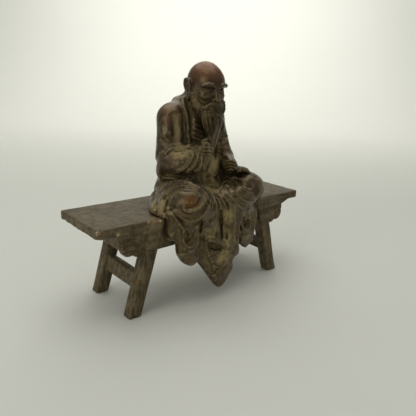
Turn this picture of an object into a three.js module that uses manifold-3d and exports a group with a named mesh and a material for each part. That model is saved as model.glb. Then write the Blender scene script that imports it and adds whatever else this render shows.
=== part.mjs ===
// Small cast bronze: a bald, bearded monk in a wide robe sits cross-legged on a long trestle bench
// and gathers his beard in his right hand. The tail of the robe hangs down in front of the seat.
// Two castings: the bench, and the figure with its drapery, which only rests on the seat.
// Millimetres, +Z up. +X runs along the bench to the figure's left, the figure faces -Y.
// The origin is on the ground, at the centre of the footprint of the whole piece.
import * as THREE from 'three';
import { mergeVertices } from 'three/addons/utils/BufferGeometryUtils.js';
import Module from 'manifold-3d';

// ---------- driving dimensions ----------
const SEAT_LENGTH = 110;        // seat plank along X
const SEAT_WIDTH = 31.5;        // seat plank along Y
const SEAT_TOP = 39.3;          // height of the seat
const SEAT_THICK = 3.6;
const RAIL_DROP = 1.8;          // low rail under both long edges of the seat
const RAIL_LENGTH_TOP = 97;     // the rail's ends are cut on the slant
const RAIL_LENGTH_LOW = 88;
const RAIL_THICK = 2.9;
const LEG_SIZE_X = 5.7;
const LEG_SIZE_Y = 5.5;
const LEG_CORNER = 0.9;         // chamfer of the leg's corners
const LEG_FOOT_X = 39.9;        // centre of a foot along X
const LEG_SPLAY = 0.2875;       // the legs lean inward by this much for each mm of height
const LEG_Y = 13.75;            // centre of a leg along Y
const LEG_TOP = 38.9;
const STRETCHER_Z = [10.6, 16.8];
const STRETCHER_THICK = 3.0;
const APRON_LOW = 26.2;         // lower edge of the apron between the legs
const APRON_THICK = 2.0;
const BRACKET_THICK = 2.6;      // cloud-shaped brackets outside the legs
const END_BOARD_X = 44;
const END_BOARD_LOW = 29.2;
const END_BOARD_THICK = 2.4;
const GAP = 0.3;                // clear space between the figure and the bench
const FIGURE_GRID = 0.95;       // pitch of the grid on which the figure's surface is worked out
const FIGURE_FACETS = 7400;     // facets kept on the figure

// ---------- solids ----------
const wasm = await Module();
wasm.setup();
function toSolid(geometry) {
  const g = geometry.index ? geometry.clone() : geometry.clone();
  g.deleteAttribute('normal'); g.deleteAttribute('uv');
  const m = mergeVertices(g, 1e-4);
  return new wasm.Manifold(new wasm.Mesh({
    numProp: 3,
    vertProperties: new Float32Array(m.attributes.position.array),
    triVerts: new Uint32Array(m.index.array),
  }));
}
function toGeometry(solid) {
  const mesh = solid.getMesh();
  const n = mesh.vertProperties.length / mesh.numProp;
  const pos = new Float32Array(n * 3);
  for (let i = 0; i < n; i++) for (let j = 0; j < 3; j++) pos[3 * i + j] = mesh.vertProperties[i * mesh.numProp + j];
  const g = new THREE.BufferGeometry();
  g.setAttribute('position', new THREE.BufferAttribute(pos, 3));
  g.setIndex(new THREE.BufferAttribute(new Uint32Array(mesh.triVerts), 1));
  return g;
}

// ---------- bench ----------
// a convex outline in X-Y pushed up along Z, its top slid sideways by (dx, dy) and scaled
function leaningPrism(outline, z0, z1, x0, y0, dx, dy, grow) {
  const shape = new THREE.Shape(outline.map(([x, y]) => new THREE.Vector2(x, y)));
  const g = new THREE.ExtrudeGeometry(shape, { depth: 1, bevelEnabled: false, steps: 1 });
  const p = g.attributes.position;
  for (let i = 0; i < p.count; i++) {
    const t = p.getZ(i);
    const s = 1 + (grow - 1) * t;
    p.setXYZ(i, x0 + p.getX(i) * s + dx * t, y0 + p.getY(i) * s + dy * t, z0 + (z1 - z0) * t);
  }
  return g;
}
// a closed outline in X-Z given a thickness along Y
function upright(outline, y0, y1) {
  const shape = new THREE.Shape(outline.map(([x, z]) => new THREE.Vector2(x, z)));
  const g = new THREE.ExtrudeGeometry(shape, { depth: y1 - y0, bevelEnabled: false, steps: 1 });
  g.rotateX(Math.PI / 2);                 // shape's y becomes z, depth runs toward -Y
  g.translate(0, y1, 0);
  return g;
}
// a closed outline in Y-Z given a thickness along X
function across(outline, x0, x1) {
  const g = upright(outline.map(([y, z]) => [y, z]), x0, x1);
  g.rotateZ(Math.PI / 2);                 // x -> y, y -> -x
  g.scale(1, 1, 1);
  return g;
}
function box(x0, x1, y0, y1, z0, z1) {
  const g = new THREE.BoxGeometry(x1 - x0, y1 - y0, z1 - z0);
  g.translate((x0 + x1) / 2, (y0 + y1) / 2, (z0 + z1) / 2);
  return g;
}
function chamferedRect(w, d, c) {
  const a = w / 2, b = d / 2;
  return [[-a + c, -b], [a - c, -b], [a, -b + c], [a, b - c], [a - c, b], [-a + c, b], [-a, b - c], [-a, -b + c]];
}
// the cloud-shaped bracket: two round lobes below a straight top, drawn for the +X side
function bracketOutline() {
  const pts = [[33.5, 34.6], [44.9, 34.6]];
  const lobes = [[41.6, 29.6, 3.4, 40, -70], [37.6, 28.2, 2.9, -20, -150]];   // centre x, z, radius, from, to in degrees
  for (const [cx, cz, r, a0, a1] of lobes)
    for (let i = 0; i <= 7; i++) {
      const a = (a0 + (a1 - a0) * i / 7) * Math.PI / 180;
      pts.push([cx + r * Math.cos(a), cz + r * Math.sin(a)]);
    }
  pts.push([33.5, 27.4]);
  return pts;
}
function buildBench() {
  const L = SEAT_LENGTH / 2, W = SEAT_WIDTH / 2, under = SEAT_TOP - SEAT_THICK;
  const parts = [];
  // seat plank with slightly eased edges
  const c = 0.35;
  parts.push(across([[-W, under + c], [-W + c, under], [W - c, under], [W, under + c], [W, SEAT_TOP - c], [W - c, SEAT_TOP], [-W + c, SEAT_TOP], [-W, SEAT_TOP - c]], -L, L));
  for (const sy of [-1, 1]) {
    const yo = sy * W, yi = sy * (W - RAIL_THICK);
    const a = RAIL_LENGTH_TOP / 2, b = RAIL_LENGTH_LOW / 2, lowRail = under - RAIL_DROP;
    parts.push(upright([[-b, lowRail], [b, lowRail], [a, under + 0.4], [-a, under + 0.4]], Math.min(yo, yi), Math.max(yo, yi)));
    // apron between the legs, set a little behind the rail
    const ya = sy * (W - 0.9), yb = sy * (W - 0.9 - APRON_THICK);
    const xa = LEG_FOOT_X - LEG_SPLAY * APRON_LOW;
    parts.push(upright([[-xa, APRON_LOW], [xa, APRON_LOW], [xa - 2, lowRail + 0.5], [-xa + 2, lowRail + 0.5]], Math.min(ya, yb), Math.max(ya, yb)));
    // cloud-shaped brackets outside the legs
    const y0 = sy * (W - 0.5), y1 = sy * (W - 0.5 - BRACKET_THICK);
    const out = bracketOutline();
    parts.push(upright(out, Math.min(y0, y1), Math.max(y0, y1)));
    parts.push(upright(out.map(([x, z]) => [-x, z]).reverse(), Math.min(y0, y1), Math.max(y0, y1)));
    for (const sx of [-1, 1])
      parts.push(leaningPrism(chamferedRect(LEG_SIZE_X, LEG_SIZE_Y, LEG_CORNER), 0, LEG_TOP,
        sx * LEG_FOOT_X, sy * LEG_Y, -sx * LEG_SPLAY * LEG_TOP, 0, 1.08));
  }
  for (const sx of [-1, 1]) {
    // end board under the seat, between the brackets
    const xe = sx * END_BOARD_X, h = END_BOARD_THICK / 2;
    parts.push(box(xe - h, xe + h, -W + 1.4, W - 1.4, END_BOARD_LOW, under + 0.4));
    // stretcher between the front and the back leg
    const zm = (STRETCHER_Z[0] + STRETCHER_Z[1]) / 2;
    const xs = sx * (LEG_FOOT_X - LEG_SPLAY * zm);
    const t = STRETCHER_THICK / 2, hz = (STRETCHER_Z[1] - STRETCHER_Z[0]) / 2;
    parts.push(leaningPrism([[-t, -LEG_Y], [t, -LEG_Y], [t, LEG_Y], [-t, LEG_Y]], zm - hz, zm + hz,
      xs + sx * LEG_SPLAY * hz, 0, -sx * LEG_SPLAY * 2 * hz, 0, 1));
  }
  let solid = null;
  for (const g of parts) { const s = toSolid(g); solid = solid ? solid.add(s) : s; }
  return toGeometry(solid);
}

// ---------- figure: an implicit surface, negative inside ----------
const shapes = [];
let frameO = [0, 0, 0], frameR = eulerMatrix([0, 0, 0]);
function eulerMatrix([rx, ry, rz]) {
  const e = new THREE.Matrix4().makeRotationFromEuler(new THREE.Euler(rx * Math.PI / 180, ry * Math.PI / 180, rz * Math.PI / 180, 'ZYX')).elements;
  return [[e[0], e[4], e[8]], [e[1], e[5], e[9]], [e[2], e[6], e[10]]];
}
const mul = (A, B) => A.map((r) => [0, 1, 2].map((j) => r[0] * B[0][j] + r[1] * B[1][j] + r[2] * B[2][j]));
const place = (p) => [0, 1, 2].map((i) => frameR[i][0] * p[0] + frameR[i][1] * p[1] + frameR[i][2] * p[2] + frameO[i]);
const clamp = (v, a, b) => Math.min(Math.max(v, a), b);
function softMin(a, b, k) {
  if (k <= 0) return Math.min(a, b);
  const h = clamp(0.5 + 0.5 * (b - a) / k, 0, 1);
  return b + (a - b) * h - k * h * (1 - h);
}
// later shapes are placed in a frame with this origin and rotation
function frame(o, rot) { frameO = o; frameR = eulerMatrix(rot); }
function addShape(lo, hi, k, op, fn) { shapes.push({ lo, hi, k, op, fn }); }
// ellipsoid
function E(name, c, r, rot = [0, 0, 0], k = 2, op = 0) {
  const o = place(c), R = mul(frameR, eulerMatrix(rot));
  const ext = [0, 1, 2].map((i) => Math.hypot(R[i][0] * r[0], R[i][1] * r[1], R[i][2] * r[2]));
  addShape(o.map((v, i) => v - ext[i]), o.map((v, i) => v + ext[i]), k, op ? '-' : '+', (X, Y, Z) => {
    const x = X - o[0], y = Y - o[1], z = Z - o[2];
    const a = (R[0][0] * x + R[1][0] * y + R[2][0] * z) / r[0];
    const b = (R[0][1] * x + R[1][1] * y + R[2][1] * z) / r[1];
    const c2 = (R[0][2] * x + R[1][2] * y + R[2][2] * z) / r[2];
    const k0 = Math.hypot(a, b, c2) + 1e-6;
    return k0 * (k0 - 1) / (Math.hypot(a / r[0], b / r[1], c2 / r[2]) + 1e-6);
  });
}
// distance to a chain of straight steps; gives [distance less radius, place along it]
function chainDistance(X, Y, Z, P, rad) {
  let best = 1e9, at = 0;
  for (let i = 0; i < P.length - 1; i++) {
    const a = P[i], b = P[i + 1];
    const bx = b[0] - a[0], by = b[1] - a[1], bz = b[2] - a[2];
    const x = X - a[0], y = Y - a[1], z = Z - a[2];
    const t = clamp((x * bx + y * by + z * bz) / (bx * bx + by * by + bz * bz + 1e-9), 0, 1);
    let d = Math.hypot(x - bx * t, y - by * t, z - bz * t);
    if (rad) d -= rad[i] + (rad[i + 1] - rad[i]) * t;
    if (d < best) { best = d; at = (i + t) / (P.length - 1); }
  }
  return [best, at];
}
// smooth curve through the points
function curve(P, seg = 12) {
  const n = Math.max(2, Math.ceil(seg / (P.length - 1)));
  if (P.length === 2) return Array.from({ length: n + 1 }, (_, i) => P[0].map((v, j) => v + (P[1][j] - v) * i / n));
  const m = P.length;
  const Q = [P[0].map((v, j) => 2 * v - P[1][j]), ...P, P[m - 1].map((v, j) => 2 * v - P[m - 2][j])];
  const out = [];
  for (let i = 0; i < m - 1; i++)
    for (let s = 0; s < n; s++) {
      const t = s / n;
      out.push([0, 1, 2].map((j) => {
        const a = Q[i][j], b = Q[i + 1][j], c = Q[i + 2][j], d = Q[i + 3][j];
        return 0.5 * (2 * b + (c - a) * t + (2 * a - 5 * b + 4 * c - d) * t * t + (3 * b - a - 3 * c + d) * t * t * t);
      }));
    }
  out.push(P[m - 1].slice());
  return out;
}
function bounds(P, r) {
  return [[0, 1, 2].map((j) => Math.min(...P.map((p) => p[j])) - r), [0, 1, 2].map((j) => Math.max(...P.map((p) => p[j])) + r)];
}
// straight limb with a radius at each end
function C(name, a, b, ra, rb, k = 2, op = 0) {
  const P = [place(a), place(b)], [lo, hi] = bounds(P, Math.max(ra, rb));
  addShape(lo, hi, k, op ? '-' : '+', (X, Y, Z) => chainDistance(X, Y, Z, P, [ra, rb])[0]);
}
// curved roll through the points, with radii spread evenly along it
function T(name, pts, radii, k = 1, op = 0, seg = 12) {
  const P = curve(pts.map(place), seg);
  const rad = P.map((_, i) => {
    const u = i / (P.length - 1) * (radii.length - 1), j = Math.min(Math.floor(u), radii.length - 2);
    return radii[j] + (radii[j + 1] - radii[j]) * (u - j);
  });
  const [lo, hi] = bounds(P, Math.max(...radii));
  addShape(lo, hi, k, op ? '-' : '+', (X, Y, Z) => chainDistance(X, Y, Z, P, rad)[0]);
}
// fold: the surface near the curve is raised by A, or sunk where A is negative; w is its half width
function S(name, pts, A, w, taper = 0.25, seg = 12) {
  const P = curve(pts.map(place), seg), [lo, hi] = bounds(P, 2.3 * w);
  addShape(lo, hi, 0, 'd', (X, Y, Z) => {
    const [d, t] = chainDistance(X, Y, Z, P, null);
    let e = clamp(Math.min(t, 1 - t) / Math.max(taper, 1e-3), 0, 1); e = e * e * (3 - 2 * e);
    return A * Math.exp(-(d / w) * (d / w)) * e;
  });
}
// hanging cloth: an outline in X-Z with rounded edges, about yc in depth, bowed toward the front by bulge
function rounded(P, m = 3) {
  const n = P.length, out = [];
  for (let i = 0; i < n; i++) {
    const [a, b, c, d] = [P[(i + n - 1) % n], P[i], P[(i + 1) % n], P[(i + 2) % n]];
    for (let j = 0; j < m; j++) {
      const t = j / m;
      out.push([0, 1].map((q) => 0.5 * (2 * b[q] + (c[q] - a[q]) * t + (2 * a[q] - 5 * b[q] + 4 * c[q] - d[q]) * t * t
        + (3 * b[q] - a[q] - 3 * c[q] + d[q]) * t ** 3)));
    }
  }
  return out;
}
function PL(name, outline, yc, th, r, slope = 0, bulge = 0, k = 1, cx = 0, hw = 10, z0 = 30) {
  const P = rounded(outline), n = P.length, far = th + Math.abs(bulge) + Math.abs(slope) * 40;
  const lo = [Math.min(...P.map((p) => p[0])), yc - far, Math.min(...P.map((p) => p[1]))];
  const hi = [Math.max(...P.map((p) => p[0])), yc + far, Math.max(...P.map((p) => p[1]))];
  addShape(lo, hi, k, '+', (X, Y, Z) => {
    let d = (X - P[0][0]) ** 2 + (Z - P[0][1]) ** 2, s = 1;
    for (let i = 0, j = n - 1; i < n; j = i++) {
      const ex = P[j][0] - P[i][0], ez = P[j][1] - P[i][1], wx = X - P[i][0], wz = Z - P[i][1];
      const t = clamp((wx * ex + wz * ez) / (ex * ex + ez * ez), 0, 1);
      d = Math.min(d, (wx - ex * t) ** 2 + (wz - ez * t) ** 2);
      const c1 = Z >= P[i][1], c2 = Z < P[j][1], c3 = ex * wz > ez * wx;
      if ((c1 && c2 && c3) || (!c1 && !c2 && !c3)) s = -s;
    }
    const d2 = s * Math.sqrt(d) + r;
    const q = clamp((X - cx) / hw, -1, 1);
    const yy = yc + slope * (Z - z0) - bulge * (1 - q * q);
    const dy = Math.abs(Y - yy) - th + r;
    return Math.hypot(Math.max(d2, 0), Math.max(dy, 0)) + Math.min(Math.max(d2, dy), 0) - r;
  });
}
// n folds side by side along the curve, spread along u and bowed along v, ridges and grooves in turn
function FAN(name, n, P, u, spread, v, bow, A, w, taper = 0.2, alt = 1) {
  for (let i = 0; i < n; i++) {
    const s = 2 * i / (n - 1) - 1;
    S(name + i, P.map((p, j) => p.map((c, a) => c + u[a] * s * spread[j] + v[a] * s * s * bow[j])), (i % 2 === 0 || !alt) ? A : -A, w, taper);
  }
}
// n locks of hair side by side along the curve
function LOCKS(name, n, P, u, spread, v, bow, radii, k, wave = 0) {
  for (let i = 0; i < n; i++) {
    const s = 2 * i / (n - 1) - 1;
    T(name + i, P.map((p, j) => p.map((c, a) => c + u[a] * (s * spread[j] + wave * Math.sin(2.3 * j + 1.7 * i)) + v[a] * s * s * bow[j])), radii, k);
  }
}
// n small curls of hair along the curve; u and v span the plane that each curl lies in
function CURLS(name, n, P, r, A, w, u, v) {
  const m = P.length, per = Math.max(1, n);
  const line = curve(P, per * (m - 1));
  for (let i = 0; i < n; i++) {
    const c = line[Math.round(i * (line.length - 1) / (n - 1))], q = [];
    for (let j = 0; j < 6; j++) {
      const a = 0.9 * i + j * 1.15, rr = r * (1 - 0.13 * j);
      q.push(c.map((val, x) => val + (u[x] * Math.cos(a) + v[x] * Math.sin(a)) * rr));
    }
    S(name + i, q, A, w, 0.15, 15);
  }
}
// an axis box taken away, to stay clear of the bench
function CUT(name, lo, hi, k = 0.3) {
  const c = lo.map((v, i) => (v + hi[i]) / 2), h = lo.map((v, i) => (hi[i] - v) / 2);
  addShape(lo, hi, k, '-', (X, Y, Z) => {
    const q = [Math.abs(X - c[0]) - h[0], Math.abs(Y - c[1]) - h[1], Math.abs(Z - c[2]) - h[2]];
    return Math.hypot(Math.max(q[0], 0), Math.max(q[1], 0), Math.max(q[2], 0)) + Math.min(Math.max(...q), 0);
  });
}

// ---------- the figure's masses and folds ----------
// seat of the figure, torso
E("pelvis",[1.8,3,45.5],[16,12,9],[0,0,0],3);
E("belly",[1.2,-1.5,53],[10.5,8.5,9],[0,0,0],3);
E("ribcage",[1.2,1.0,66],[11.3,8.2,15],[6,0,0],3);
E("upper_back",[1,5.5,71],[13,8,12],[10,0,0],3);
E("low_back",[1,5.6,55],[15.5,8.6,18],[0,0,0],3);
C("shoulder_girdle",[-8.8,3.2,76.4],[10.6,2,76],5.6,5.6,3);
C("neck",[1.5,2,78],[2.2,-1.5,85],6.5,5.8,3);
E("neck_cowl",[1.2,4.5,79.8],[9,7,5.2],[16,0,0],3);
// right arm (toward -X), bent, hand to the beard
C("upper_arm_r",[-9.9,2.8,75],[-12.3,0,60],5.9,6.1,3);
C("forearm_r",[-13,-2,60.5],[-7,-12.6,61.8],5.2,3.8,2.5);
T("sleeve_bag_r",[[-13.8,-1.5,58],[-12.4,-8,57.8],[-7,-13.6,58.6]],[5.0,4.8,3.4],2);
C("sleeve_low_r",[-14.2,0,53.5],[-10,-9,54.8],4.2,2.6,2.5);
// left arm (toward +X), hand on the left knee
C("upper_arm_l",[11,1.5,74.8],[15.2,-1.5,58.5],5.8,5.2,3);
C("forearm_l",[15.8,-2,57.5],[12.5,-11,55.6],4.8,3.4,2.5);
// legs, crossed
C("thigh_r",[-6,2,45.5],[-14,-16,44.2],9.0,8.0,3);
E("knee_r",[-15.2,-18.2,43.8],[8.6,8.2,8.2],[0,0,0],2);
C("thigh_l",[10,2,45.5],[21,-11.5,45],8.4,7,3);
E("knee_l",[22.2,-13,44.9],[8.0,7.6,6.6],[0,0,0],2);
C("shin_r",[-10,-19.5,41],[3,-18.8,41.6],4.4,4.2,3);
C("shin_l",[20,-15.5,43],[5,-18.8,42],5,4.2,3);
E("lap_fill",[3,-11,43.8],[13,9,5],[0,0,0],3);
// skirt spread on the seat
E("skirt",[1.5,-2,40.5],[22,14,5],[0,0,0],3);
C("skirt_l1",[-12,3,45],[-17.5,-6,40],5,3.4,3);
C("skirt_l2",[-15,-6,42],[-20.5,-12.3,40],4.4,2.8,3);
C("skirt_r1",[17,2,44],[24,-7,40],5,3,3);
T("hem_edge",[[-19.3,1.5,42.6],[-20.3,0.7,41.4],[-23.2,-3.0,40.8],[-26.6,-8.5,40.6],[-26.9,-12.8,40.5],[-26.3,-16.7,40.5]],[1.4,1.3,1.1,1.1,1.1,1.0],2.5,0);
T("hem_fill",[[-18.0,-0.6,43.8],[-20.8,-4.1,42.2],[-23.7,-9.4,41.6],[-23.8,-13.1,41.5]],[2.4,2.5,2.3,2.0],3,0);
// drapery hanging in front of the bench
PL("drape_left",[[-25.1,42.7],[-26.0,39.2],[-26.1,34.2],[-25.7,30.6],[-22.8,29.0],[-22.3,25.8],[-20.9,22.4],[-19.1,19.7],[-16.4,17.9],[-13.8,17.9],[-11.7,19.4],[-9.6,21.9],[-7.8,24.2],[-7.5,29.1],[-8.2,35.0],[-9.0,39.9]],-18.4,2.1,1.6,0,0.9,0.7,-15,11,30.0);
PL("drape_mid",[[-10.7,41.3],[-10.5,34.8],[-9.1,30.5],[-8.3,27.3],[-8.7,24.7],[-10.6,22.1],[-12.2,19.8],[-9.8,15.8],[-6.0,10.6],[-3.2,6.4],[-1.2,4.2],[0.8,4.3],[3.3,6.3],[6.1,9.2],[8.1,11.6],[7.3,14.0],[7.9,15.7],[10.3,16.5],[12.0,18.0],[11.5,21.5],[11.5,25.4],[11.5,30.1],[10.3,37.7]],-19.2,2.1,1.5,0,1.3,0.6,-1,12,30.0);
PL("drape_right",[[10.3,38.3],[12.3,31.0],[13.1,26.1],[12.9,21.8],[15.1,19.3],[17.1,18.0],[18.6,18.6],[20.2,19.8],[21.5,19.9],[22.4,23.7],[23.1,28.9],[22.7,36.3]],-17.9,1.8,1.4,0,0.5,0.7,12,8,30.0);
E("drape_root_l",[-14,-18,37.5],[10,5.5,5],[0,0,0],2.5);
E("drape_root_r",[9,-17.2,38],[12,4.6,5.5],[0,0,0],2.5);
// head: bald, calm, with long ears, bushy brows and a full beard
frame([2.3,-4.5,89.3],[12,0,-6]);
E("skull",[0,0.5,1.3],[7.3,8.8,8.5],[0,0,0],1.5);
E("forehead",[0,-2.6,2.4],[6.2,6.0,5.4],[0,0,0],1.5);
E("face_block",[0,-3.0,-3.4],[5.7,5.2,6.0],[0,0,0],2);
C("nape",[0,4,-3],[0,5,-9],5.4,6,2.5);
E("socket_l",[3.0,-9.6,-0.2],[2.3,1.9,1.45],[0,0,16],0.9,1);
E("socket_r",[-3.0,-9.6,-0.2],[2.3,1.9,1.45],[0,0,-16],0.9,1);
E("eye_l",[2.9,-6.6,-0.3],[1.75,1.3,1.15],[0,0,16],0.2);
E("eye_r",[-2.9,-6.6,-0.3],[1.75,1.3,1.15],[0,0,-16],0.2);
T("lid_up_l",[[1.2,-7.6,-0.5],[2.1,-8.1,0.15],[3.4,-7.9,0.3],[4.7,-6.8,-0.4]],[0.3,0.42,0.42,0.3],0.3);
T("lid_up_r",[[-1.2,-7.6,-0.5],[-2.1,-8.1,0.15],[-3.4,-7.9,0.3],[-4.7,-6.8,-0.4]],[0.3,0.42,0.42,0.3],0.3);
T("lid_lo_l",[[1.3,-7.6,-0.7],[2.3,-7.8,-1.25],[3.5,-7.5,-1.25],[4.6,-6.7,-0.6]],[0.25,0.32,0.32,0.25],0.4);
T("lid_lo_r",[[-1.3,-7.6,-0.7],[-2.3,-7.8,-1.25],[-3.5,-7.5,-1.25],[-4.6,-6.7,-0.6]],[0.25,0.32,0.32,0.25],0.4);
T("brow_l",[[1.0,-8.7,1.6],[2.4,-9.0,2.35],[4.2,-8.1,2.4],[6.0,-6.2,1.5]],[0.45,0.75,0.8,0.4],0.9);
T("brow_r",[[-1.0,-8.7,1.6],[-2.4,-9.0,2.35],[-4.2,-8.1,2.4],[-6.0,-6.2,1.5]],[0.45,0.75,0.8,0.4],0.9);
T("brow_tuft_l",[[4.6,-7.7,2.1],[5.7,-6.9,1.9],[6.2,-6.2,1.3]],[0.6,0.5,0.35],0.7);
T("brow_tuft_r",[[-4.6,-7.7,2.1],[-5.7,-6.9,1.9],[-6.2,-6.2,1.3]],[0.6,0.5,0.35],0.7);
FAN("brow_hair_l",4,[[2.0,-9.8,2.1],[3.6,-9.2,2.6],[5.6,-7.3,2.0]],[0,0,1],[0.5,0.6,0.5],[0,1,0],[0.2,0.2,0.2],-0.3,0.28,0.3,0);
FAN("brow_hair_r",4,[[-2.0,-9.8,2.1],[-3.6,-9.2,2.6],[-5.6,-7.3,2.0]],[0,0,1],[0.5,0.6,0.5],[0,1,0],[0.2,0.2,0.2],-0.3,0.28,0.3,0);
C("nose",[0,-8.2,1.0],[0,-9.8,-2.6],0.8,1.15,1.0);
E("nose_tip",[0,-10.1,-3.0],[1.15,1.1,1.0],[0,0,0],0.5);
E("wing_l",[1.25,-9.0,-3.3],[0.85,1.0,0.75],[0,0,0],0.4);
E("wing_r",[-1.25,-9.0,-3.3],[0.85,1.0,0.75],[0,0,0],0.4);
E("cheek_l",[3.9,-5.7,-2.5],[2.1,2.1,1.7],[0,0,0],1.2);
E("cheek_r",[-3.9,-5.7,-2.5],[2.1,2.1,1.7],[0,0,0],1.2);
E("lip_up",[0,-8.2,-5.2],[1.9,0.8,0.5],[0,0,0],0.3);
E("lip_low",[0,-8.1,-6.3],[1.6,0.9,0.6],[0,0,0],0.3);
E("philtrum",[0,-8.7,-4.7],[1.5,0.9,1.0],[0,0,0],0.6);
E("lip_front",[0,-9.0,-5.9],[1.5,0.8,0.7],[0,0,0],0.4);
E("under_lip",[0,-9.2,-7.5],[1.7,1.4,1.3],[0,0,0],0.5);
S("mouth",[[-1.7,-9.0,-5.6],[0,-9.7,-5.7],[1.7,-9.0,-5.6]],-0.35,0.3);
T("moustache_l",[[0.3,-9.3,-4.5],[1.8,-9.4,-4.9],[3.4,-8.3,-6.2],[4.3,-7.6,-8.4]],[0.5,0.85,0.8,0.4],0.4);
T("moustache_r",[[-0.3,-9.3,-4.5],[-1.8,-9.4,-4.9],[-3.4,-8.3,-6.2],[-4.3,-7.6,-8.4]],[0.5,0.85,0.8,0.4],0.4);
FAN("moustache_hair_l",3,[[0.9,-10.1,-4.6],[2.4,-9.9,-5.4],[4.0,-8.6,-7.4]],[0.3,0,-1],[0.3,0.4,0.3],[0,1,0],[0.1,0.1,0.1],-0.28,0.25,0.3,0);
FAN("moustache_hair_r",3,[[-0.9,-10.1,-4.6],[-2.4,-9.9,-5.4],[-4.0,-8.6,-7.4]],[-0.3,0,-1],[0.3,0.4,0.3],[0,1,0],[0.1,0.1,0.1],-0.28,0.25,0.3,0);
// long ears
E("ear_l",[7.3,1.1,-0.2],[1.1,2.2,3.0],[8,0,-14],0.6);
E("ear_r",[-7.3,1.1,-0.2],[1.1,2.2,3.0],[8,0,14],0.6);
T("helix_l",[[7.9,-0.9,-0.6],[8.3,-0.7,1.2],[8.5,0.8,2.4],[8.6,2.6,1.9],[8.4,3.1,-0.2],[8.0,2.2,-2.4]],[0.35,0.45,0.5,0.5,0.5,0.4],0.3);
T("helix_r",[[-7.9,-0.9,-0.6],[-8.3,-0.7,1.2],[-8.5,0.8,2.4],[-8.6,2.6,1.9],[-8.4,3.1,-0.2],[-8.0,2.2,-2.4]],[0.35,0.45,0.5,0.5,0.5,0.4],0.3);
E("lobe_l",[7.4,0.5,-4.1],[0.95,1.25,2.3],[0,0,0],0.6);
E("lobe_r",[-7.4,0.5,-4.1],[0.95,1.25,2.3],[0,0,0],0.6);
E("concha_l",[8.7,0.9,0],[0.8,1.2,1.7],[0,0,0],0.4,1);
E("concha_r",[-8.7,0.9,0],[0.8,1.2,1.7],[0,0,0],0.4,1);
// beard along the jaw, in curls
T("jaw_beard_l",[[6.6,-1.6,-3.2],[6.3,-3.6,-6.2],[4.4,-6.2,-8.4],[0,-8.4,-9.6]],[1.1,1.8,2.2,2.4],0.9);
T("jaw_beard_r",[[-6.6,-1.6,-3.2],[-6.3,-3.6,-6.2],[-4.4,-6.2,-8.4],[0,-8.4,-9.6]],[1.1,1.8,2.2,2.4],0.9);
CURLS("curl_l",8,[[7.5,-2.6,-3.6],[7.4,-5.0,-6.4],[5.6,-7.9,-8.4],[2.6,-10.2,-9.2]],1.05,0.7,0.36,[0.6,-0.5,0.4],[0.1,-0.5,-0.9]);
CURLS("curl_r",8,[[-7.5,-2.6,-3.6],[-7.4,-5.0,-6.4],[-5.6,-7.9,-8.4],[-2.6,-10.2,-9.2]],1.05,0.7,0.36,[-0.6,-0.5,0.4],[-0.1,-0.5,-0.9]);
CURLS("curl_low_l",6,[[7.2,-3.4,-7.0],[5.6,-6.6,-9.8],[2.8,-9.2,-11.0]],0.95,0.7,0.36,[0.6,-0.5,0.4],[0.1,-0.5,-0.9]);
CURLS("curl_low_r",6,[[-7.2,-3.4,-7.0],[-5.6,-6.6,-9.8],[-2.8,-9.2,-11.0]],0.95,0.7,0.36,[-0.6,-0.5,0.4],[-0.1,-0.5,-0.9]);
T("chin_roll",[[-3.6,-8.2,-8.6],[-1.4,-10.2,-9.2],[1.4,-10.2,-9.2],[3.6,-8.2,-8.6]],[1.0,1.4,1.4,1.0],0.5);
frame([0,0,0],[0,0,0]);
// robe, right side of the chest
T("lapel_r",[[-5.0,1.2,83.6],[-6.6,-1.7,80.2],[-6.6,-3.5,76.6],[-6.4,-4.5,72.2],[-6.5,-5.1,68.1],[-10.1,-10.1,65.3]],[0.9,1.0,1.0,1.0,1.0,0.9],1.2,0);
S("chest_edge_shadow",[[-4.4,-3.7,78.2],[-5.1,-5.1,73.4],[-5.4,-5.7,68.1],[-5.1,-5.8,65.2]],-0.6,0.8,0.25);
S("lapel_r_g",[[-6.8,-0.2,81.7],[-7.9,-3.1,77.9],[-8.1,-4.0,73.0],[-8.3,-4.7,68.2],[-10.7,-8.3,65.5]],-0.72,0.92,0.25);
S("robe_ridge_1",[[-9.8,-2.2,79.5],[-9.9,-3.7,74.7],[-10.0,-4.3,69.9],[-11.9,-7.1,65.4]],0.66,1.26,0.25);
S("robe_valley",[[-12.9,-1.2,79.1],[-12.4,-2.7,76.4],[-12.2,-3.5,72.4],[-12.7,-4.3,68.4],[-13.6,-5.9,65.4]],-1.08,1.84,0.25);
S("arm_front",[[-15.3,1.1,77.7],[-14.7,-1.1,75.1],[-14.6,-2.4,71.5],[-14.7,-3.3,68.4]],0.72,2.3,0.25);
S("arm_ridge",[[-16.0,1.7,74.4],[-16.3,-0.1,71.0],[-16.0,-2.2,67.9],[-15.1,-4.5,65.7]],0.6,1.26,0.25);
S("arm_crease",[[-17.0,0.9,68.4],[-16.7,-1.2,67.4],[-16.1,-3.2,66.0],[-15.3,-4.9,65.0]],-1.08,1.03,0.25);
S("arm_crease_2",[[-17.9,0.8,64.3],[-17.7,-2.6,64.0],[-16.5,-4.5,64.0]],-0.6,1.03,0.25);
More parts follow.
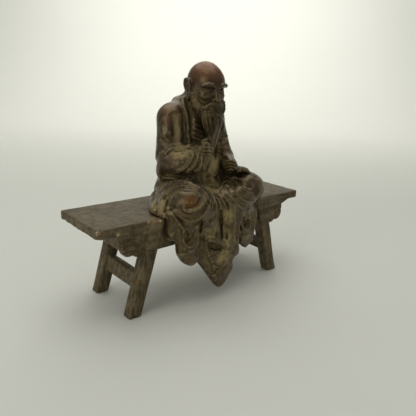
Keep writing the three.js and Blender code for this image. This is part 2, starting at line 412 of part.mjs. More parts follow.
// sleeve
T("sleeve_rim",[[-17.5,-4.5,62.4],[-16.2,-5.1,63.7],[-13.8,-7.0,64.3],[-11.5,-9.7,64.7],[-9.4,-10.2,65.5],[-4.0,-6.1,65.3]],[0.5,0.9,1.0,1.0,0.9,0.7],1.0,0);
S("sleeve_top_groove",[[-16.3,-4.2,64.7],[-13.6,-6.0,65.3],[-10.4,-8.6,65.5]],-0.6,0.8,0.25);
S("sleeve_under_rim",[[-15.7,-6.2,63.3],[-13.6,-8.8,63.6],[-11.4,-11.3,64.1]],-0.35,0.6,0.25);
S("sleeve_arc_1",[[-10.1,-12.8,64.5],[-10.9,-13.9,62.3],[-12.8,-13.6,59.2],[-15.2,-11.8,56.6],[-16.5,-7.4,54.5]],0.8,0.9,0.25);
S("sleeve_arc_1g",[[-11.3,-12.5,63.3],[-12.3,-13.1,61.1],[-14.4,-12.7,58.3],[-16.3,-10.5,56.5]],-0.6,0.9,0.25);
S("sleeve_arc_2",[[-9.4,-14.6,63.9],[-9.7,-15.5,62.0],[-10.7,-15.2,59.2],[-12.5,-13.6,56.2],[-14.5,-10.9,54.3]],0.8,0.8,0.25);
S("sleeve_arc_2g",[[-9.9,-14.1,63.8],[-10.4,-14.9,61.6],[-11.9,-14.4,58.8],[-13.8,-12.6,56.0]],-0.7,0.7,0.25);
S("sleeve_arc_3",[[-8.5,-15.8,63.2],[-8.4,-16.4,61.2],[-8.9,-16.5,58.4],[-9.6,-14.6,55.7],[-11.3,-12.8,54.1]],0.7,0.8,0.25);
S("sleeve_arc_3g",[[-9.0,-15.6,63.2],[-9.1,-16.2,60.8],[-9.8,-15.8,58.4],[-10.8,-14.1,55.7]],-0.7,0.6,0.25);
S("sleeve_arc_4g",[[-7.8,-16.5,62.0],[-7.7,-16.9,60.0],[-8.1,-16.7,57.8],[-7.9,-14.4,55.3]],-0.5,0.6,0.25);
S("cuff_1",[[-10.1,-10.8,65.2],[-10.3,-13.1,64.1],[-10.3,-14.4,62.7]],-0.6,0.45,0.25);
S("cuff_1r",[[-8.9,-10.3,65.6],[-9.6,-13.5,64.5],[-9.8,-15.1,62.8]],0.4,0.4,0.25);
S("cuff_2",[[-8.1,-10.4,65.6],[-9.1,-13.8,64.8],[-9.2,-15.4,63.2]],-0.6,0.45,0.25);
S("cuff_2r",[[-3.9,-6.3,65.0],[-8.3,-14.2,65.0],[-8.4,-15.8,63.4]],0.4,0.4,0.25);
S("cuff_3",[[-3.1,-6.5,64.8],[-7.9,-14.6,64.9],[-7.8,-16.1,63.2]],-0.6,0.45,0.25);
T("sleeve_mouth",[[-3.9,-6.3,65.3],[-7.5,-13.5,65.5],[-7.2,-15.8,63.9],[-6.5,-16.6,61.7],[-6.3,-16.9,59.5],[-7.2,-16.7,57.3]],[0.5,0.7,0.8,0.8,0.7,0.5],0.7,0);
S("sleeve_mouth_g",[[-1.4,-6.9,64.9],[-6.1,-15.3,64.3],[-5.1,-16.1,61.9],[-4.5,-16.0,59.1],[-0.0,-9.7,55.0]],-0.7,0.6,0.25);
S("sleeve_bottom_groove",[[-14.2,6.9,50.4],[-17.0,-3.8,53.0],[-15.4,-8.7,53.6],[-12.8,-12.2,53.7],[-9.1,-14.0,55.1]],-0.8,0.8,0.25);
S("waist_band",[[-14.3,7.6,48.9],[-16.7,-3.5,51.9],[-15.2,-9.2,52.5],[-12.9,-13.0,52.8],[-4.6,-9.1,52.6]],0.8,0.9,0.25);
S("waist_band_g",[[-16.4,3.0,48.8],[-16.5,-3.2,50.6],[-16.0,-10.2,51.7],[-14.7,-15.9,52.5],[-5.4,-10.1,51.6]],-0.7,0.7,0.25);
S("belly_fold_1",[[-0.3,-9.8,54.6],[-4.9,-16.3,59.6],[5.7,-6.5,60.1]],0.35,1,0.25);
S("belly_fold_2",[[1.3,-10.0,52.7],[3.2,-9.2,56.3],[7.1,-6.2,59.0]],-0.4,0.9,0.25);
// bare chest with ribs
S("rib_0",[[-4.1,-4.7,75.8],[-2.5,-5.5,75.4],[0.1,-6.3,74.6]],0.25,0.8,0.25);
S("rib_1",[[-4.8,-5.0,74.0],[-2.9,-6.0,73.6],[-0.2,-6.8,72.8]],0.35,0.7,0.25);
S("rib_2",[[-4.9,-5.6,72.0],[-3.1,-6.4,71.6],[-0.4,-7.1,70.7]],0.4,0.7,0.25);
S("rib_3",[[-5.0,-5.8,70.1],[-3.2,-6.6,69.6],[-0.4,-7.2,68.8]],0.5,0.6,0.25);
S("rib_4",[[-5.0,-5.9,68.1],[-3.2,-6.7,67.7],[-0.8,-7.1,66.7]],0.5,0.6,0.25);
S("rib_g1",[[-5.0,-5.7,71.0],[-3.2,-6.5,70.6],[-0.4,-7.2,69.8]],-0.35,0.6,0.25);
S("rib_g2",[[-5.0,-5.9,69.1],[-3.2,-6.6,68.6],[-0.4,-7.2,67.8]],-0.4,0.6,0.25);
S("rib_g3",[[-5.0,-5.9,67.1],[-3.1,-6.6,66.6],[-0.8,-7.1,65.8]],-0.4,0.6,0.25);
// left lapel and sleeve
T("lapel_l",[[8.4,-5.3,71.5],[8.2,-5.6,67.7],[9.8,-5.1,64.0],[10.5,-5.1,60.3],[9.3,-6.3,57.0],[6.2,-8.9,54.2],[4.5,-9.4,51.8]],[0.5,0.8,0.9,1.0,1.0,0.9,0.6],1.0,0);
S("lapel_l_g",[[6.2,-6.4,66.6],[8.4,-4.9,61.8],[5.9,-7.8,57.6],[3.2,-9.8,53.8]],-0.5,0.8,0.25);
S("lapel_l_gr",[[11.6,-5.6,61.7],[10.1,-7.2,58.0],[9.3,-7.3,54.0]],-0.7,0.8,0.25);
S("robe_l_1",[[4.9,-12.2,79.9],[12.9,-4.6,74.3],[12.9,-5.2,69.1]],0.6,0.7,0.25);
S("robe_l_1g",[[3.2,-13.0,79.6],[11.3,-4.9,74.0],[11.4,-5.3,68.8]],-0.7,0.6,0.25);
S("robe_l_2g",[[6.6,-11.5,80.2],[58.3,44.1,68.2],[14.4,-4.9,69.4]],-0.5,0.6,0.25);
T("robe_l_y",[[15.4,-4.9,67.6],[13.2,-5.5,66.2],[11.6,-5.4,64.9],[10.6,-5.1,63.0]],[0.5,0.7,0.7,0.6],0.8,0);
S("robe_l_yg",[[13.3,-5.3,68.2],[11.5,-5.4,66.8],[10.1,-5.3,65.1]],-0.8,0.7,0.25);
S("robe_l_3",[[16.5,-5.8,62.7],[13.2,-6.5,61.7],[10.8,-6.9,59.2]],0.45,0.9,0.25);
S("robe_l_3g",[[15.3,-5.7,64.5],[12.5,-5.8,63.2],[11.2,-5.7,60.8]],-0.6,0.8,0.25);
T("cuff_l_1",[[9.4,-9.7,56.4],[10.0,-11.6,57.7],[11.3,-12.8,58.1],[12.7,-13.9,57.2],[14.4,-13.8,55.8]],[0.35,0.5,0.5,0.5,0.35],0.4,0);
T("cuff_l_2",[[9.5,-9.4,55.2],[9.6,-12.2,56.6],[10.9,-13.6,57.0],[13.0,-14.3,55.9]],[0.35,0.5,0.5,0.5,0.35],0.4,0);
T("cuff_l_3",[[10.2,-8.7,53.8],[9.5,-12.4,55.4],[10.8,-13.8,55.7],[13.3,-14.1,54.6],[19.5,-10.1,52.3]],[0.35,0.5,0.5,0.5,0.35],0.4,0);
T("cuff_l_4",[[11.3,-7.9,52.4],[9.9,-12.6,54.2],[11.4,-13.9,54.4],[17.6,-10.0,52.2],[18.2,-11.8,51.8]],[0.35,0.5,0.5,0.5,0.35],0.4,0);
S("cuff_l_g2",[[9.3,-9.9,55.8],[9.7,-12.3,57.2],[11.2,-13.5,57.5],[13.0,-14.3,56.4]],-0.5,0.35,0.25);
S("cuff_l_g3",[[9.4,-9.8,54.6],[9.5,-12.6,56.1],[10.9,-13.9,56.3],[13.9,-14.0,55.0]],-0.5,0.35,0.25);
S("cuff_l_g4",[[10.9,-8.3,53.1],[9.7,-12.8,54.9],[11.4,-14.2,55.0],[19.3,-9.2,52.3]],-0.5,0.35,0.25);
S("cuff_l_under",[[10.3,-7.7,51.5],[11.9,-9.9,52.1],[15.1,-11.1,51.3],[17.6,-13.0,51.4]],-0.7,0.7,0.25);
// right leg
T("hood_r",[[-26.1,-12.2,42.5],[-20.8,-6.7,44.7],[-18.0,-5.4,47.5],[-17.1,-9.0,50.5],[-15.9,-13.5,52.0],[-15.6,-19.1,52.1],[-14.1,-22.0,51.0]],[0.8,1.2,1.4,1.3,1.1,1.0,0.7],1.4,0);
T("knee_r_groove",[[-24.0,-15.7,43.9],[-20.9,-11.2,46.0],[-20.4,-12.9,48.9],[-19.7,-16.4,51.1],[-18.2,-19.9,51.7],[-16.5,-22.5,51.0],[-15.6,-24.6,49.3]],[0.5,1.0,1.2,1.2,1.1,0.9,0.5],0.6,1);
S("knee_r_groove_2",[[-23.4,-15.6,45.0],[-22.0,-13.9,47.2],[-21.0,-14.8,49.3],[-19.7,-17.4,51.0],[-18.1,-20.5,51.3],[-16.6,-23.0,50.3]],-0.84,1.49,0.25);
T("knee_r_in",[[-22.1,-23.0,44.1],[-20.8,-24.3,43.3],[-18.9,-25.5,43.7],[-16.5,-26.2,44.8],[-14.1,-25.8,46.6],[-12.6,-24.4,48.5],[-12.3,-22.6,50.2]],[0.35,0.7,0.9,1.0,1.0,0.9,0.4],0.9,0);
S("knee_r_in_g",[[-21.6,-23.6,45.2],[-19.6,-25.1,45.1],[-17.0,-25.8,46.2],[-15.0,-25.0,48.3]],-0.6,0.92,0.25);
T("knee_r_out",[[-23.6,-19.0,43.0],[-22.6,-21.2,40.7],[-20.3,-23.1,39.3],[-17.6,-24.6,39.4],[-15.1,-25.9,41.3],[-12.8,-26.0,43.7],[-10.0,-24.3,46.2],[-4.6,-17.6,46.8]],[0.4,0.9,1.1,1.1,1.0,0.9,0.8,0.4],1.0,0);
S("knee_r_mid_g",[[-23.1,-21.5,42.9],[-21.0,-23.8,41.4],[-18.7,-25.4,41.7],[-16.1,-26.3,43.2],[-13.4,-26.1,45.5],[-11.3,-24.4,47.8]],-1.44,0.98,0.25);
S("knee_r_out_g",[[-25.7,-19.6,42.3],[-23.7,-21.1,39.3],[-20.4,-22.6,37.4],[-17.0,-23.9,37.3],[-13.8,-25.0,39.1]],-1.44,1.15,0.25);
S("knee_r_low",[[-23.4,-20.5,45.0],[-22.4,-22.5,42.5]],-0.48,1.15,0.25);
// lap
T("lap_h1",[[1.1,-10.2,51.0],[1.1,-11.3,49.2],[-0.6,-15.1,48.3]],[1.5,2.0,1.3],0.5,1);
T("lap_h2",[[7.1,-9.0,50.0],[4.5,-12.5,48.8],[1.1,-16.3,48.1]],[1.2,1.7,1.3],0.5,1);
T("lap_rim_l",[[-1.9,-9.5,52.1],[-1.6,-10.2,49.6],[-3.0,-14.0,48.1],[-2.2,-16.8,47.2],[-0.3,-18.1,47.0]],[0.5,0.8,0.8,0.7,0.5],0.7,0);
T("lap_rim_r",[[10.7,-8.2,50.6],[9.1,-10.7,48.5],[3.1,-16.6,47.9],[-0.2,-17.9,47.1]],[0.5,0.7,0.7,0.5],0.6,0);
T("lap_coil_1",[[10.3,-9.5,49.3],[11.8,-9.4,50.2],[12.6,-10.7,49.7]],[0.45,0.6,0.5],0.4,0);
T("lap_coil_2",[[8.1,-12.4,48.4],[11.2,-10.9,48.7],[11.9,-12.2,48.3]],[0.45,0.6,0.5],0.4,0);
T("lap_coil_3",[[3.4,-16.7,47.9],[6.4,-15.1,48.1],[6.9,-16.3,47.8]],[0.45,0.6,0.5],0.4,0);
S("lap_coil_g1",[[9.7,-10.5,48.7],[11.6,-10.4,49.4],[12.4,-11.5,49.0]],-0.5,0.45,0.25);
S("lap_coil_g2",[[5.3,-15.0,48.2],[9.4,-12.5,48.2],[9.8,-14.0,47.9]],-0.5,0.45,0.25);
T("lap_pit",[[-3.2,-19.2,46.2],[-2.7,-20.2,45.8],[-1.9,-21.0,45.4]],[0.7,1.0,0.7],0.4,1);
S("lap_strap",[[-13.8,-22.0,51.1],[-13.1,-23.6,49.7],[-11.8,-24.7,47.8],[-11.3,-25.3,45.4]],0.6,0.7,0.25);
S("lap_tie",[[-3.2,-17.7,46.8],[-1.4,-18.8,46.6],[1.1,-19.0,46.9]],0.4,0.5,0.25);
// left leg: folds radiating from the crossing to the knee
S("knee_l_0",[[13.2,-10.6,50.5],[15.2,-13.1,49.9],[16.5,-16.2,49.4],[18.8,-18.4,49.1]],0.6,1.15,0.25);
S("knee_l_0g",[[13.0,-11.5,49.4],[14.2,-14.9,48.3],[15.4,-18.9,47.2],[18.3,-20.3,46.4]],-1.08,0.92,0.25);
T("knee_l_1",[[12.1,-11.3,48.7],[12.7,-14.6,47.7],[12.4,-18.8,46.7],[14.5,-20.6,45.2],[18.0,-20.9,44.3]],[0.3,0.6,0.7,0.7,0.4],0.7,0);
S("knee_l_1g",[[10.4,-13.8,47.9],[9.2,-19.6,46.6],[11.5,-21.5,44.4],[16.5,-21.2,42.7]],-1.2,0.8,0.25);
T("knee_l_2",[[7.5,-15.3,47.9],[6.5,-20.7,46.1],[9.2,-22.1,43.4],[13.8,-21.6,41.2],[19.5,-20.3,40.2]],[0.3,0.6,0.7,0.7,0.4],0.7,0);
S("knee_l_2g",[[4.3,-18.9,47.3],[4.4,-22.4,45.1],[8.2,-22.6,41.9],[13.9,-21.6,39.3]],-1.2,0.8,0.25);
T("knee_l_3",[[3.3,-18.8,47.2],[3.4,-22.3,44.9],[5.5,-23.4,41.9],[10.4,-21.9,38.6]],[0.3,0.6,0.7,0.5],0.7,0);
S("knee_l_3g",[[1.4,-20.6,46.2],[2.2,-23.1,43.6],[4.6,-23.4,40.4]],-1.08,0.69,0.25);
S("knee_l_out",[[22.6,-17.0,50.7],[22.9,-19.8,48.0],[21.9,-21.1,44.2],[20.5,-20.6,41.1]],0.42,1.84,0.25);
S("knee_l_out_g",[[20.3,-17.4,50.3],[20.5,-19.9,47.8],[20.0,-21.0,44.9],[18.2,-21.1,42.9]],-0.42,1.26,0.25);
// fan of folds under the crossing
T("fan_1",[[-8.2,-22.2,47.1],[-8.7,-24.0,44.7],[-9.6,-24.7,41.2]],[0.4,0.6,0.5],0.6,0);
T("fan_2",[[-4.1,-19.6,45.9],[-5.5,-22.7,43.9],[-5.8,-23.5,40.3]],[0.4,0.6,0.5],0.6,0);
T("fan_3",[[-3.3,-20.9,45.2],[-3.4,-22.9,43.1],[-2.8,-23.2,40.1]],[0.4,0.6,0.5],0.6,0);
T("fan_4",[[-1.5,-21.1,45.2],[-0.7,-22.8,43.1],[1.0,-22.7,39.3],[1.6,-22.5,36.1]],[0.4,0.6,0.6,0.5],0.6,0);
T("fan_5",[[0.2,-21.3,45.2],[1.5,-23.1,42.6],[3.4,-22.7,38.9]],[0.4,0.6,0.5],0.6,0);
S("fan_1g",[[-5.9,-20.6,46.0],[-7.2,-23.5,43.9],[-7.7,-24.0,40.7]],-0.8,0.5,0.25);
S("fan_2g",[[-4.1,-20.9,45.3],[-4.5,-23.0,43.3],[-4.4,-23.5,40.4]],-0.9,0.5,0.25);
S("fan_3g",[[-2.7,-21.4,45.0],[-2.2,-23.1,43.0],[-0.8,-22.8,39.2]],-0.9,0.5,0.25);
S("fan_4g",[[-0.8,-21.5,45.0],[0.3,-23.1,42.6],[2.4,-22.7,38.6]],-0.8,0.5,0.25);
S("fan_0g",[[-11.7,-25.0,47.0],[-11.4,-25.6,44.3],[-12.2,-25.7,42.0]],-0.8,0.6,0.25);
// skirt hem spread on the seat
S("hem_1",[[-17.3,-2.2,47.8],[-21.2,-4.8,45.0],[-25.5,-9.2,43.3],[-27.4,-11.3,41.9]],0.88,1.12,0.25);
S("hem_1g",[[-17.3,-0.3,47.8],[-21.2,-3.2,45.1],[-25.1,-7.4,43.3],[-27.4,-10.1,42.0]],-0.75,0.88,0.25);
S("hem_2",[[-18.5,-5.4,46.9],[-22.3,-8.4,44.3],[-25.9,-12.2,42.9],[-27.7,-14.1,41.2]],0.88,1,0.25);
S("hem_2g",[[-17.8,-3.7,47.3],[-21.8,-6.6,44.7],[-25.9,-10.9,43.0],[-27.7,-12.8,41.5]],-1,0.75,0.25);
S("hem_3",[[-19.9,-8.3,45.6],[-23.9,-12.9,44.0],[-25.9,-14.7,42.3],[-27.3,-16.3,41.1]],0.88,1,0.25);
S("hem_3g",[[-19.2,-6.7,46.2],[-22.9,-10.4,44.0],[-25.9,-13.3,42.8],[-27.5,-15.0,41.2]],-1,0.75,0.25);
S("hem_4g",[[-20.9,-10.3,45.0],[-24.2,-14.6,43.6],[-25.4,-15.5,42.0],[-26.8,-17.4,41.1]],-1,0.75,0.25);
S("side_valley",[[-16.2,4.4,48.4],[-13.9,8.2,51.9],[-19.0,0.1,59.9],[-17.5,1.7,65.4]],-0.44,1.38,0.25);
// hanging folds, left lobe
T("l_ridge",[[-25.2,-20.2,41.7],[-23.6,-20.9,39.0],[-22.0,-21.6,36.2],[-20.5,-21.1,32.6],[-20.5,-21.0,29.6],[-21.3,-20.8,27.0],[-21.0,-20.6,24.0]],[0.5,0.9,1.0,0.9,0.8,0.6,0.3],1.1,0);
S("l_ridge_g",[[-24.1,-21.0,37.3],[-22.7,-21.1,34.3],[-22.3,-21.0,30.9],[-22.3,-20.1,27.6]],-0.88,1.43,0.25);
S("l_step",[[-25.9,-18.6,31.1],[-25.3,-20.2,31.1],[-23.8,-20.6,30.4],[-22.5,-19.6,27.5]],-0.88,0.91,0.25);
T("l_u",[[-20.5,-21.0,30.5],[-19.5,-21.1,28.2],[-17.7,-21.2,27.1],[-15.6,-21.3,27.7],[-13.8,-21.3,29.3],[-13.3,-21.5,32.1]],[0.5,0.8,0.9,0.8,0.7,0.4],0.8,0);
T("l_u_hollow",[[-19.6,-21.6,33.4],[-17.9,-21.3,30.3],[-15.9,-21.4,31.1]],[0.9,1.6,1.0],0.7,1);
S("l_lobe_low",[[-19.3,-21.3,25.1],[-18.0,-21.3,22.7],[-16.1,-21.4,23.5]],-0.38,2.08,0.25);
T("gap",[[-15.7,-25.2,40.1],[-13.9,-23.5,36.6],[-11.7,-21.2,32.3]],[0.8,1.3,0.7],0.35,1);
S("gap_low",[[-11.6,-21.3,31.3],[-10.2,-21.2,28.3],[-10.7,-21.3,25.8],[-12.6,-21.4,23.6],[-14.2,-21.4,21.5]],-1.88,1.04,0.25);
S("l_side",[[-16.3,-24.0,37.2],[-14.2,-21.8,32.8]],0.62,1.04,0.25);
// hanging folds, middle
T("m_top",[[-11.3,-21.3,31.6],[-10.1,-21.3,32.3],[-8.8,-21.4,31.2],[-8.3,-21.1,28.3]],[0.4,0.8,0.9,0.7],0.8,0);
T("m_lip",[[-8.8,-21.3,28.8],[-7.4,-22.3,28.4],[-4.4,-22.7,27.2],[-1.6,-22.8,25.5],[0.9,-22.4,23.1]],[0.7,1.4,1.7,1.5,0.6],0.9,0);
T("m_mouth",[[-7.4,-21.6,25.3],[-4.7,-22.1,24.1],[-1.2,-22.3,22.7]],[0.9,1.7,1.0],0.5,1);
S("m_mouth_rim",[[-8.3,-22.0,23.5],[-5.0,-22.5,21.8],[-0.5,-21.9,21.1]],0.44,1.17,0.25);
T("m_edge",[[-8.8,-21.0,26.6],[-8.5,-21.6,23.6],[-7.4,-22.1,20.3],[-6.0,-22.2,16.8],[-4.9,-22.3,12.9],[-4.1,-22.2,9.3]],[0.6,0.8,0.9,0.9,0.8,0.5],0.9,0);
S("m_edge_g",[[-9.8,-21.2,23.8],[-10.0,-21.9,20.4],[-8.4,-22.1,16.5],[-6.0,-22.1,11.7]],-1.12,1.56,0.25);
S("m_v1",[[-6.9,-22.3,22.1],[-4.4,-22.5,19.0],[-1.2,-22.4,19.2],[0.9,-22.6,21.0]],-0.75,1.69,0.25);
S("m_v2",[[-6.0,-22.4,17.8],[-3.4,-22.6,14.7],[-0.3,-22.6,15.7],[1.3,-22.6,18.4]],0.88,1.17,0.25);
S("m_v2g",[[-4.6,-21.9,14.7],[-2.7,-22.6,12.1],[0.1,-22.6,13.5]],-0.88,1.43,0.25);
S("m_right_edge",[[2.1,-22.5,20.5],[0.9,-22.6,18.0],[-0.0,-22.6,15.9],[0.7,-22.6,13.3]],0.75,1.04,0.25);
S("m_low_r",[[4.1,-22.4,14.8],[1.4,-22.6,12.7],[-1.4,-22.6,9.6],[-3.0,-22.3,7.1]],0.62,1.04,0.25);
S("m_low_rg",[[1.8,-22.5,15.9],[0.2,-22.6,12.5],[-2.0,-22.6,9.6]],-0.62,1.17,0.25);
T("m_slit",[[-3.1,-22.7,39.6],[-2.1,-22.1,35.3],[-1.6,-22.1,31.2],[-0.9,-22.1,26.8]],[1.4,1.6,1.1,0.5],0.3,1);
T("m_col_r",[[-4.8,-23.1,39.5],[-4.1,-22.3,35.3],[-3.2,-22.3,31.2],[-2.2,-22.4,27.6]],[0.5,0.7,0.7,0.5],0.8,0);
S("m_diag_1",[[-7.1,-22.7,36.4],[-5.0,-22.5,32.0],[-3.0,-22.6,28.5]],-0.62,1.17,0.25);
S("m_diag_2",[[-10.5,-24.2,38.3],[-7.3,-22.3,32.8],[-5.1,-22.5,28.9]],0.62,1.43,0.25);
S("m_col_l",[[-13.3,-25.8,41.3],[-12.4,-24.3,37.8],[-10.1,-22.3,34.3]],0.62,1.3,0.25);
S("m_col_lg",[[-13.3,-24.9,39.0],[-12.3,-23.1,35.4]],-0.62,1.17,0.25);
T("m_narrow",[[-0.2,-22.4,32.8],[0.5,-22.4,28.6],[1.7,-21.7,24.5],[1.0,-22.4,22.1]],[0.4,0.7,0.8,0.5],0.6,0);
S("m_valley_b",[[0.9,-22.6,36.2],[1.6,-22.6,30.7],[2.3,-22.4,25.0]],-1.5,0.78,0.25);
T("m_broad",[[2.9,-22.6,42.1],[4.3,-21.9,36.7],[4.7,-21.6,31.2],[4.4,-21.7,25.7],[3.5,-21.7,21.3],[2.2,-21.8,17.4],[0.1,-21.9,15.1]],[1.2,2.1,2.4,2.3,1.9,1.3,0.6],1.8,0);
S("m_r_valley",[[6.0,-23.1,40.3],[7.7,-22.1,33.9],[8.4,-21.8,28.2],[8.0,-21.9,24.1]],-2.38,1.3,0.25);
S("m_rag_1",[[5.2,-22.3,22.3],[7.3,-22.0,21.7],[9.6,-21.6,20.3]],-0.75,0.78,0.25);
S("m_rag_2",[[3.4,-22.4,19.4],[5.4,-22.2,19.6],[7.9,-21.9,18.9]],-0.75,0.78,0.25);
S("m_rag_3",[[2.4,-22.5,16.9],[4.0,-22.4,16.3],[5.4,-22.3,15.1]],-0.62,0.65,0.25);
// hanging folds, right lobe
T("r_u",[[10.6,-21.4,33.2],[13.4,-19.8,29.4],[15.2,-20.0,27.6],[17.7,-19.8,28.3],[18.9,-19.7,31.2]],[0.4,0.8,0.9,0.8,0.4],0.7,0);
T("r_u_h",[[13.1,-20.6,33.5],[15.1,-20.1,30.0],[16.8,-20.0,31.4]],[0.7,1.3,0.8],0.5,1);
S("r_edge",[[10.7,-21.3,29.0],[13.1,-19.4,24.1],[14.5,-20.0,20.9]],0.62,1.04,0.25);
S("r_g",[[18.5,-20.4,35.7],[19.8,-19.7,30.6],[19.3,-19.8,25.8]],-1,0.91,0.25);
S("r_top_1",[[9.9,-22.0,38.5],[10.9,-21.9,35.6],[11.2,-21.2,32.6]],0.62,0.91,0.25);
S("r_top_2",[[14.3,-21.5,38.1],[16.2,-20.7,34.8],[18.4,-19.9,31.3]],0.62,0.91,0.25);
S("r_low_v",[[13.4,-19.7,26.1],[15.1,-20.1,23.2],[17.7,-20.0,24.8]],0.5,1.17,0.25);
// broad volumes of the hanging cloth
S("vol_left",[[-23.9,-20.9,34.5],[-22.5,-20.4,29.0],[-20.5,-21.2,24.5]],-0.85,2.53,0.25);
S("vol_left_pouch",[[-18.6,-21.3,25.9],[-18.0,-21.3,22.2]],1.02,2.99,0.25);
S("vol_mid_col",[[-9.2,-23.9,38.4],[-7.1,-22.3,33.3],[-6.4,-22.3,29.6]],1.36,2.3,0.25);
S("vol_mid_low",[[-5.0,-22.5,21.2],[-4.3,-22.5,17.4]],0.85,2.53,0.25);
S("vol_mid_left",[[-10.4,-21.8,20.5],[-7.7,-22.1,14.4]],-0.85,2.07,0.25);
S("vol_tip",[[-4.6,-22.5,12.8],[-3.8,-22.2,8.3]],0.68,2.07,0.25);
S("vol_right",[[14.9,-20.1,25.4],[14.8,-20.1,22.5]],0.85,2.07,0.25);
S("vol_right_edge",[[5.6,-22.2,33.4],[6.2,-22.1,26.9]],-1.19,1.38,0.25);
// right hand gathering the beard
E("hand_r_palm",[-5.7,-14.4,64.4],[2.0,2.2,2.9],[0,12,0],0.8,0);
T("finger_r1",[[-7.3,-16.0,67.0],[-6.5,-16.9,67.4],[-4.1,-16.2,66.6]],[0.8,0.8,0.6],0.3,0);
T("finger_r2",[[-7.6,-16.4,65.8],[-6.5,-17.2,66.1],[-4.0,-16.4,65.3]],[0.8,0.8,0.6],0.3,0);
T("finger_r3",[[-7.5,-16.4,64.6],[-6.3,-17.1,64.7],[-3.9,-16.3,63.9]],[0.8,0.8,0.6],0.3,0);
T("finger_r4",[[-7.0,-16.0,63.2],[-5.9,-16.5,63.2],[-4.0,-15.9,62.6]],[0.72,0.7,0.55],0.3,0);
T("thumb_r",[[-6.8,-14.8,66.3],[-6.2,-14.8,67.9],[-4.7,-15.0,68.7]],[0.95,0.85,0.6],0.4,0);
// left hand on the knee
E("hand_l_palm",[15.6,-12.0,53.7],[3.4,2.7,1.7],[0,8,-10],0.8);
T("finger_l1",[[17.2,-13.8,53.7],[19.6,-14.8,53.0],[21.0,-15.0,51.8]],[0.8,0.75,0.6],0.35);
T("finger_l2",[[17.6,-12.9,54.1],[20.4,-13.5,53.3],[22.0,-13.5,51.9]],[0.8,0.75,0.6],0.35);
T("finger_l3",[[17.6,-11.7,54.2],[20.4,-12.0,53.4],[22.1,-11.9,52.0]],[0.8,0.75,0.6],0.35);
T("finger_l4",[[17.3,-10.5,54.1],[19.8,-10.5,53.3],[21.2,-10.4,52.1]],[0.7,0.7,0.55],0.35);
// beard falling in strands, the last lock drawn down to the right hand
T("beard_main",[[0.2,-9.8,79.8],[0.4,-10.6,76.6],[0.2,-11.4,73.5],[-0.6,-12.2,70.7],[-1.0,-12.8,68.3]],[3.2,3.1,2.7,1.9,1.2],1.0,0);
T("beard_back",[[3.3,-7.5,78.7],[3.5,-8.5,74.7],[1.7,-10.5,70.8]],[3.0,2.8,1.6],1.2,0);
T("beard_fill",[[5.9,-6.5,78.2],[5.6,-8.0,74.9],[3.7,-9.8,71.4],[1.3,-11.8,67.6],[-0.1,-13.0,64.1]],[3.2,2.9,2.3,1.8,1.2],1.8,0);
T("beard_tip",[[-1.4,-13.2,70.9],[-2.1,-14.3,67.8],[-2.4,-14.8,65.0],[-2.6,-14.8,62.7]],[1.4,1.25,1.15,0.75],0.5,0);
T("beard_lock_1",[[-3.0,-10.2,79.2],[-3.8,-11.4,76.5],[-3.6,-12.2,73.3],[-2.5,-12.8,70.5]],[0.8,0.9,0.7,0.3],0.35,0);
T("beard_lock_2",[[-3.2,-12.0,78.9],[-3.9,-13.2,75.9],[-3.2,-13.4,72.6],[-2.2,-13.6,69.3]],[0.9,0.9,0.75,0.35],0.35,0);
T("beard_lock_3",[[-2.1,-12.8,79.0],[-2.6,-13.9,75.9],[-2.0,-14.0,72.6],[-1.8,-13.9,68.9]],[0.9,0.9,0.75,0.4],0.35,0);
T("beard_lock_4",[[0.1,-12.4,78.9],[-0.5,-13.6,75.8],[-0.3,-13.7,72.5],[-0.8,-13.6,69.2]],[0.9,0.9,0.75,0.35],0.35,0);
T("beard_lock_5",[[3.2,-11.0,78.8],[2.7,-12.0,76.1],[2.3,-12.6,73.1],[0.7,-13.0,69.9]],[0.8,0.85,0.7,0.3],0.35,0);
// fine strands
S("strand_1",[[-4.0,-11.3,78.5],[-4.5,-12.3,75.8],[-4.2,-13.4,73.1],[-3.0,-13.8,70.2]],-0.45,0.3,0.25);
S("strand_2",[[-4.1,-12.4,79.0],[-4.7,-13.5,75.9],[-4.0,-13.7,72.7],[-3.1,-14.2,69.5]],-0.55,0.35,0.25);
S("strand_3",[[-3.7,-13.0,78.6],[-4.2,-14.1,75.6],[-3.4,-14.1,72.3],[-3.0,-14.7,69.1]],-0.45,0.3,0.25);
S("strand_4",[[-3.0,-13.1,79.0],[-3.5,-14.2,75.9],[-2.8,-14.2,72.7],[-2.9,-14.8,69.1]],-0.55,0.35,0.25);
S("strand_5",[[-2.7,-13.8,78.7],[-3.0,-14.7,75.6],[-2.4,-14.6,72.3],[-2.8,-15.1,68.7]],-0.45,0.3,0.25);
S("strand_6",[[-1.7,-13.6,79.0],[-2.2,-14.7,75.9],[-1.9,-14.8,72.7],[-2.4,-15.1,69.1]],-0.55,0.35,0.25);
S("strand_7",[[-0.7,-13.6,78.6],[-0.9,-14.4,75.5],[-0.8,-14.3,72.2],[-2.1,-15.2,69.3]],-0.45,0.3,0.25);
S("strand_8",[[0.2,-13.7,79.0],[-0.0,-14.4,75.8],[-0.2,-14.5,72.6],[-1.6,-15.1,69.7]],-0.55,0.35,0.25);
S("strand_9",[[-3.0,-14.9,68.7],[-4.6,-16.9,66.3],[-5.0,-17.3,63.9]],-0.3,0.3,0.25);
S("knuckle_1",[[-7.3,-17.0,66.6],[-6.3,-17.6,66.5]],-0.35,0.3,0.25);
S("knuckle_2",[[-7.5,-17.3,65.3],[-6.3,-17.7,65.2]],-0.35,0.3,0.25);
S("knuckle_3",[[-7.3,-17.1,64.0],[-5.7,-17.1,63.7]],-0.35,0.3,0.25);
S("beard_side_1",[[8.1,-10.0,78.0],[6.7,-10.8,73.5],[4.1,-12.0,69.0]],-0.5,0.4,0.25);
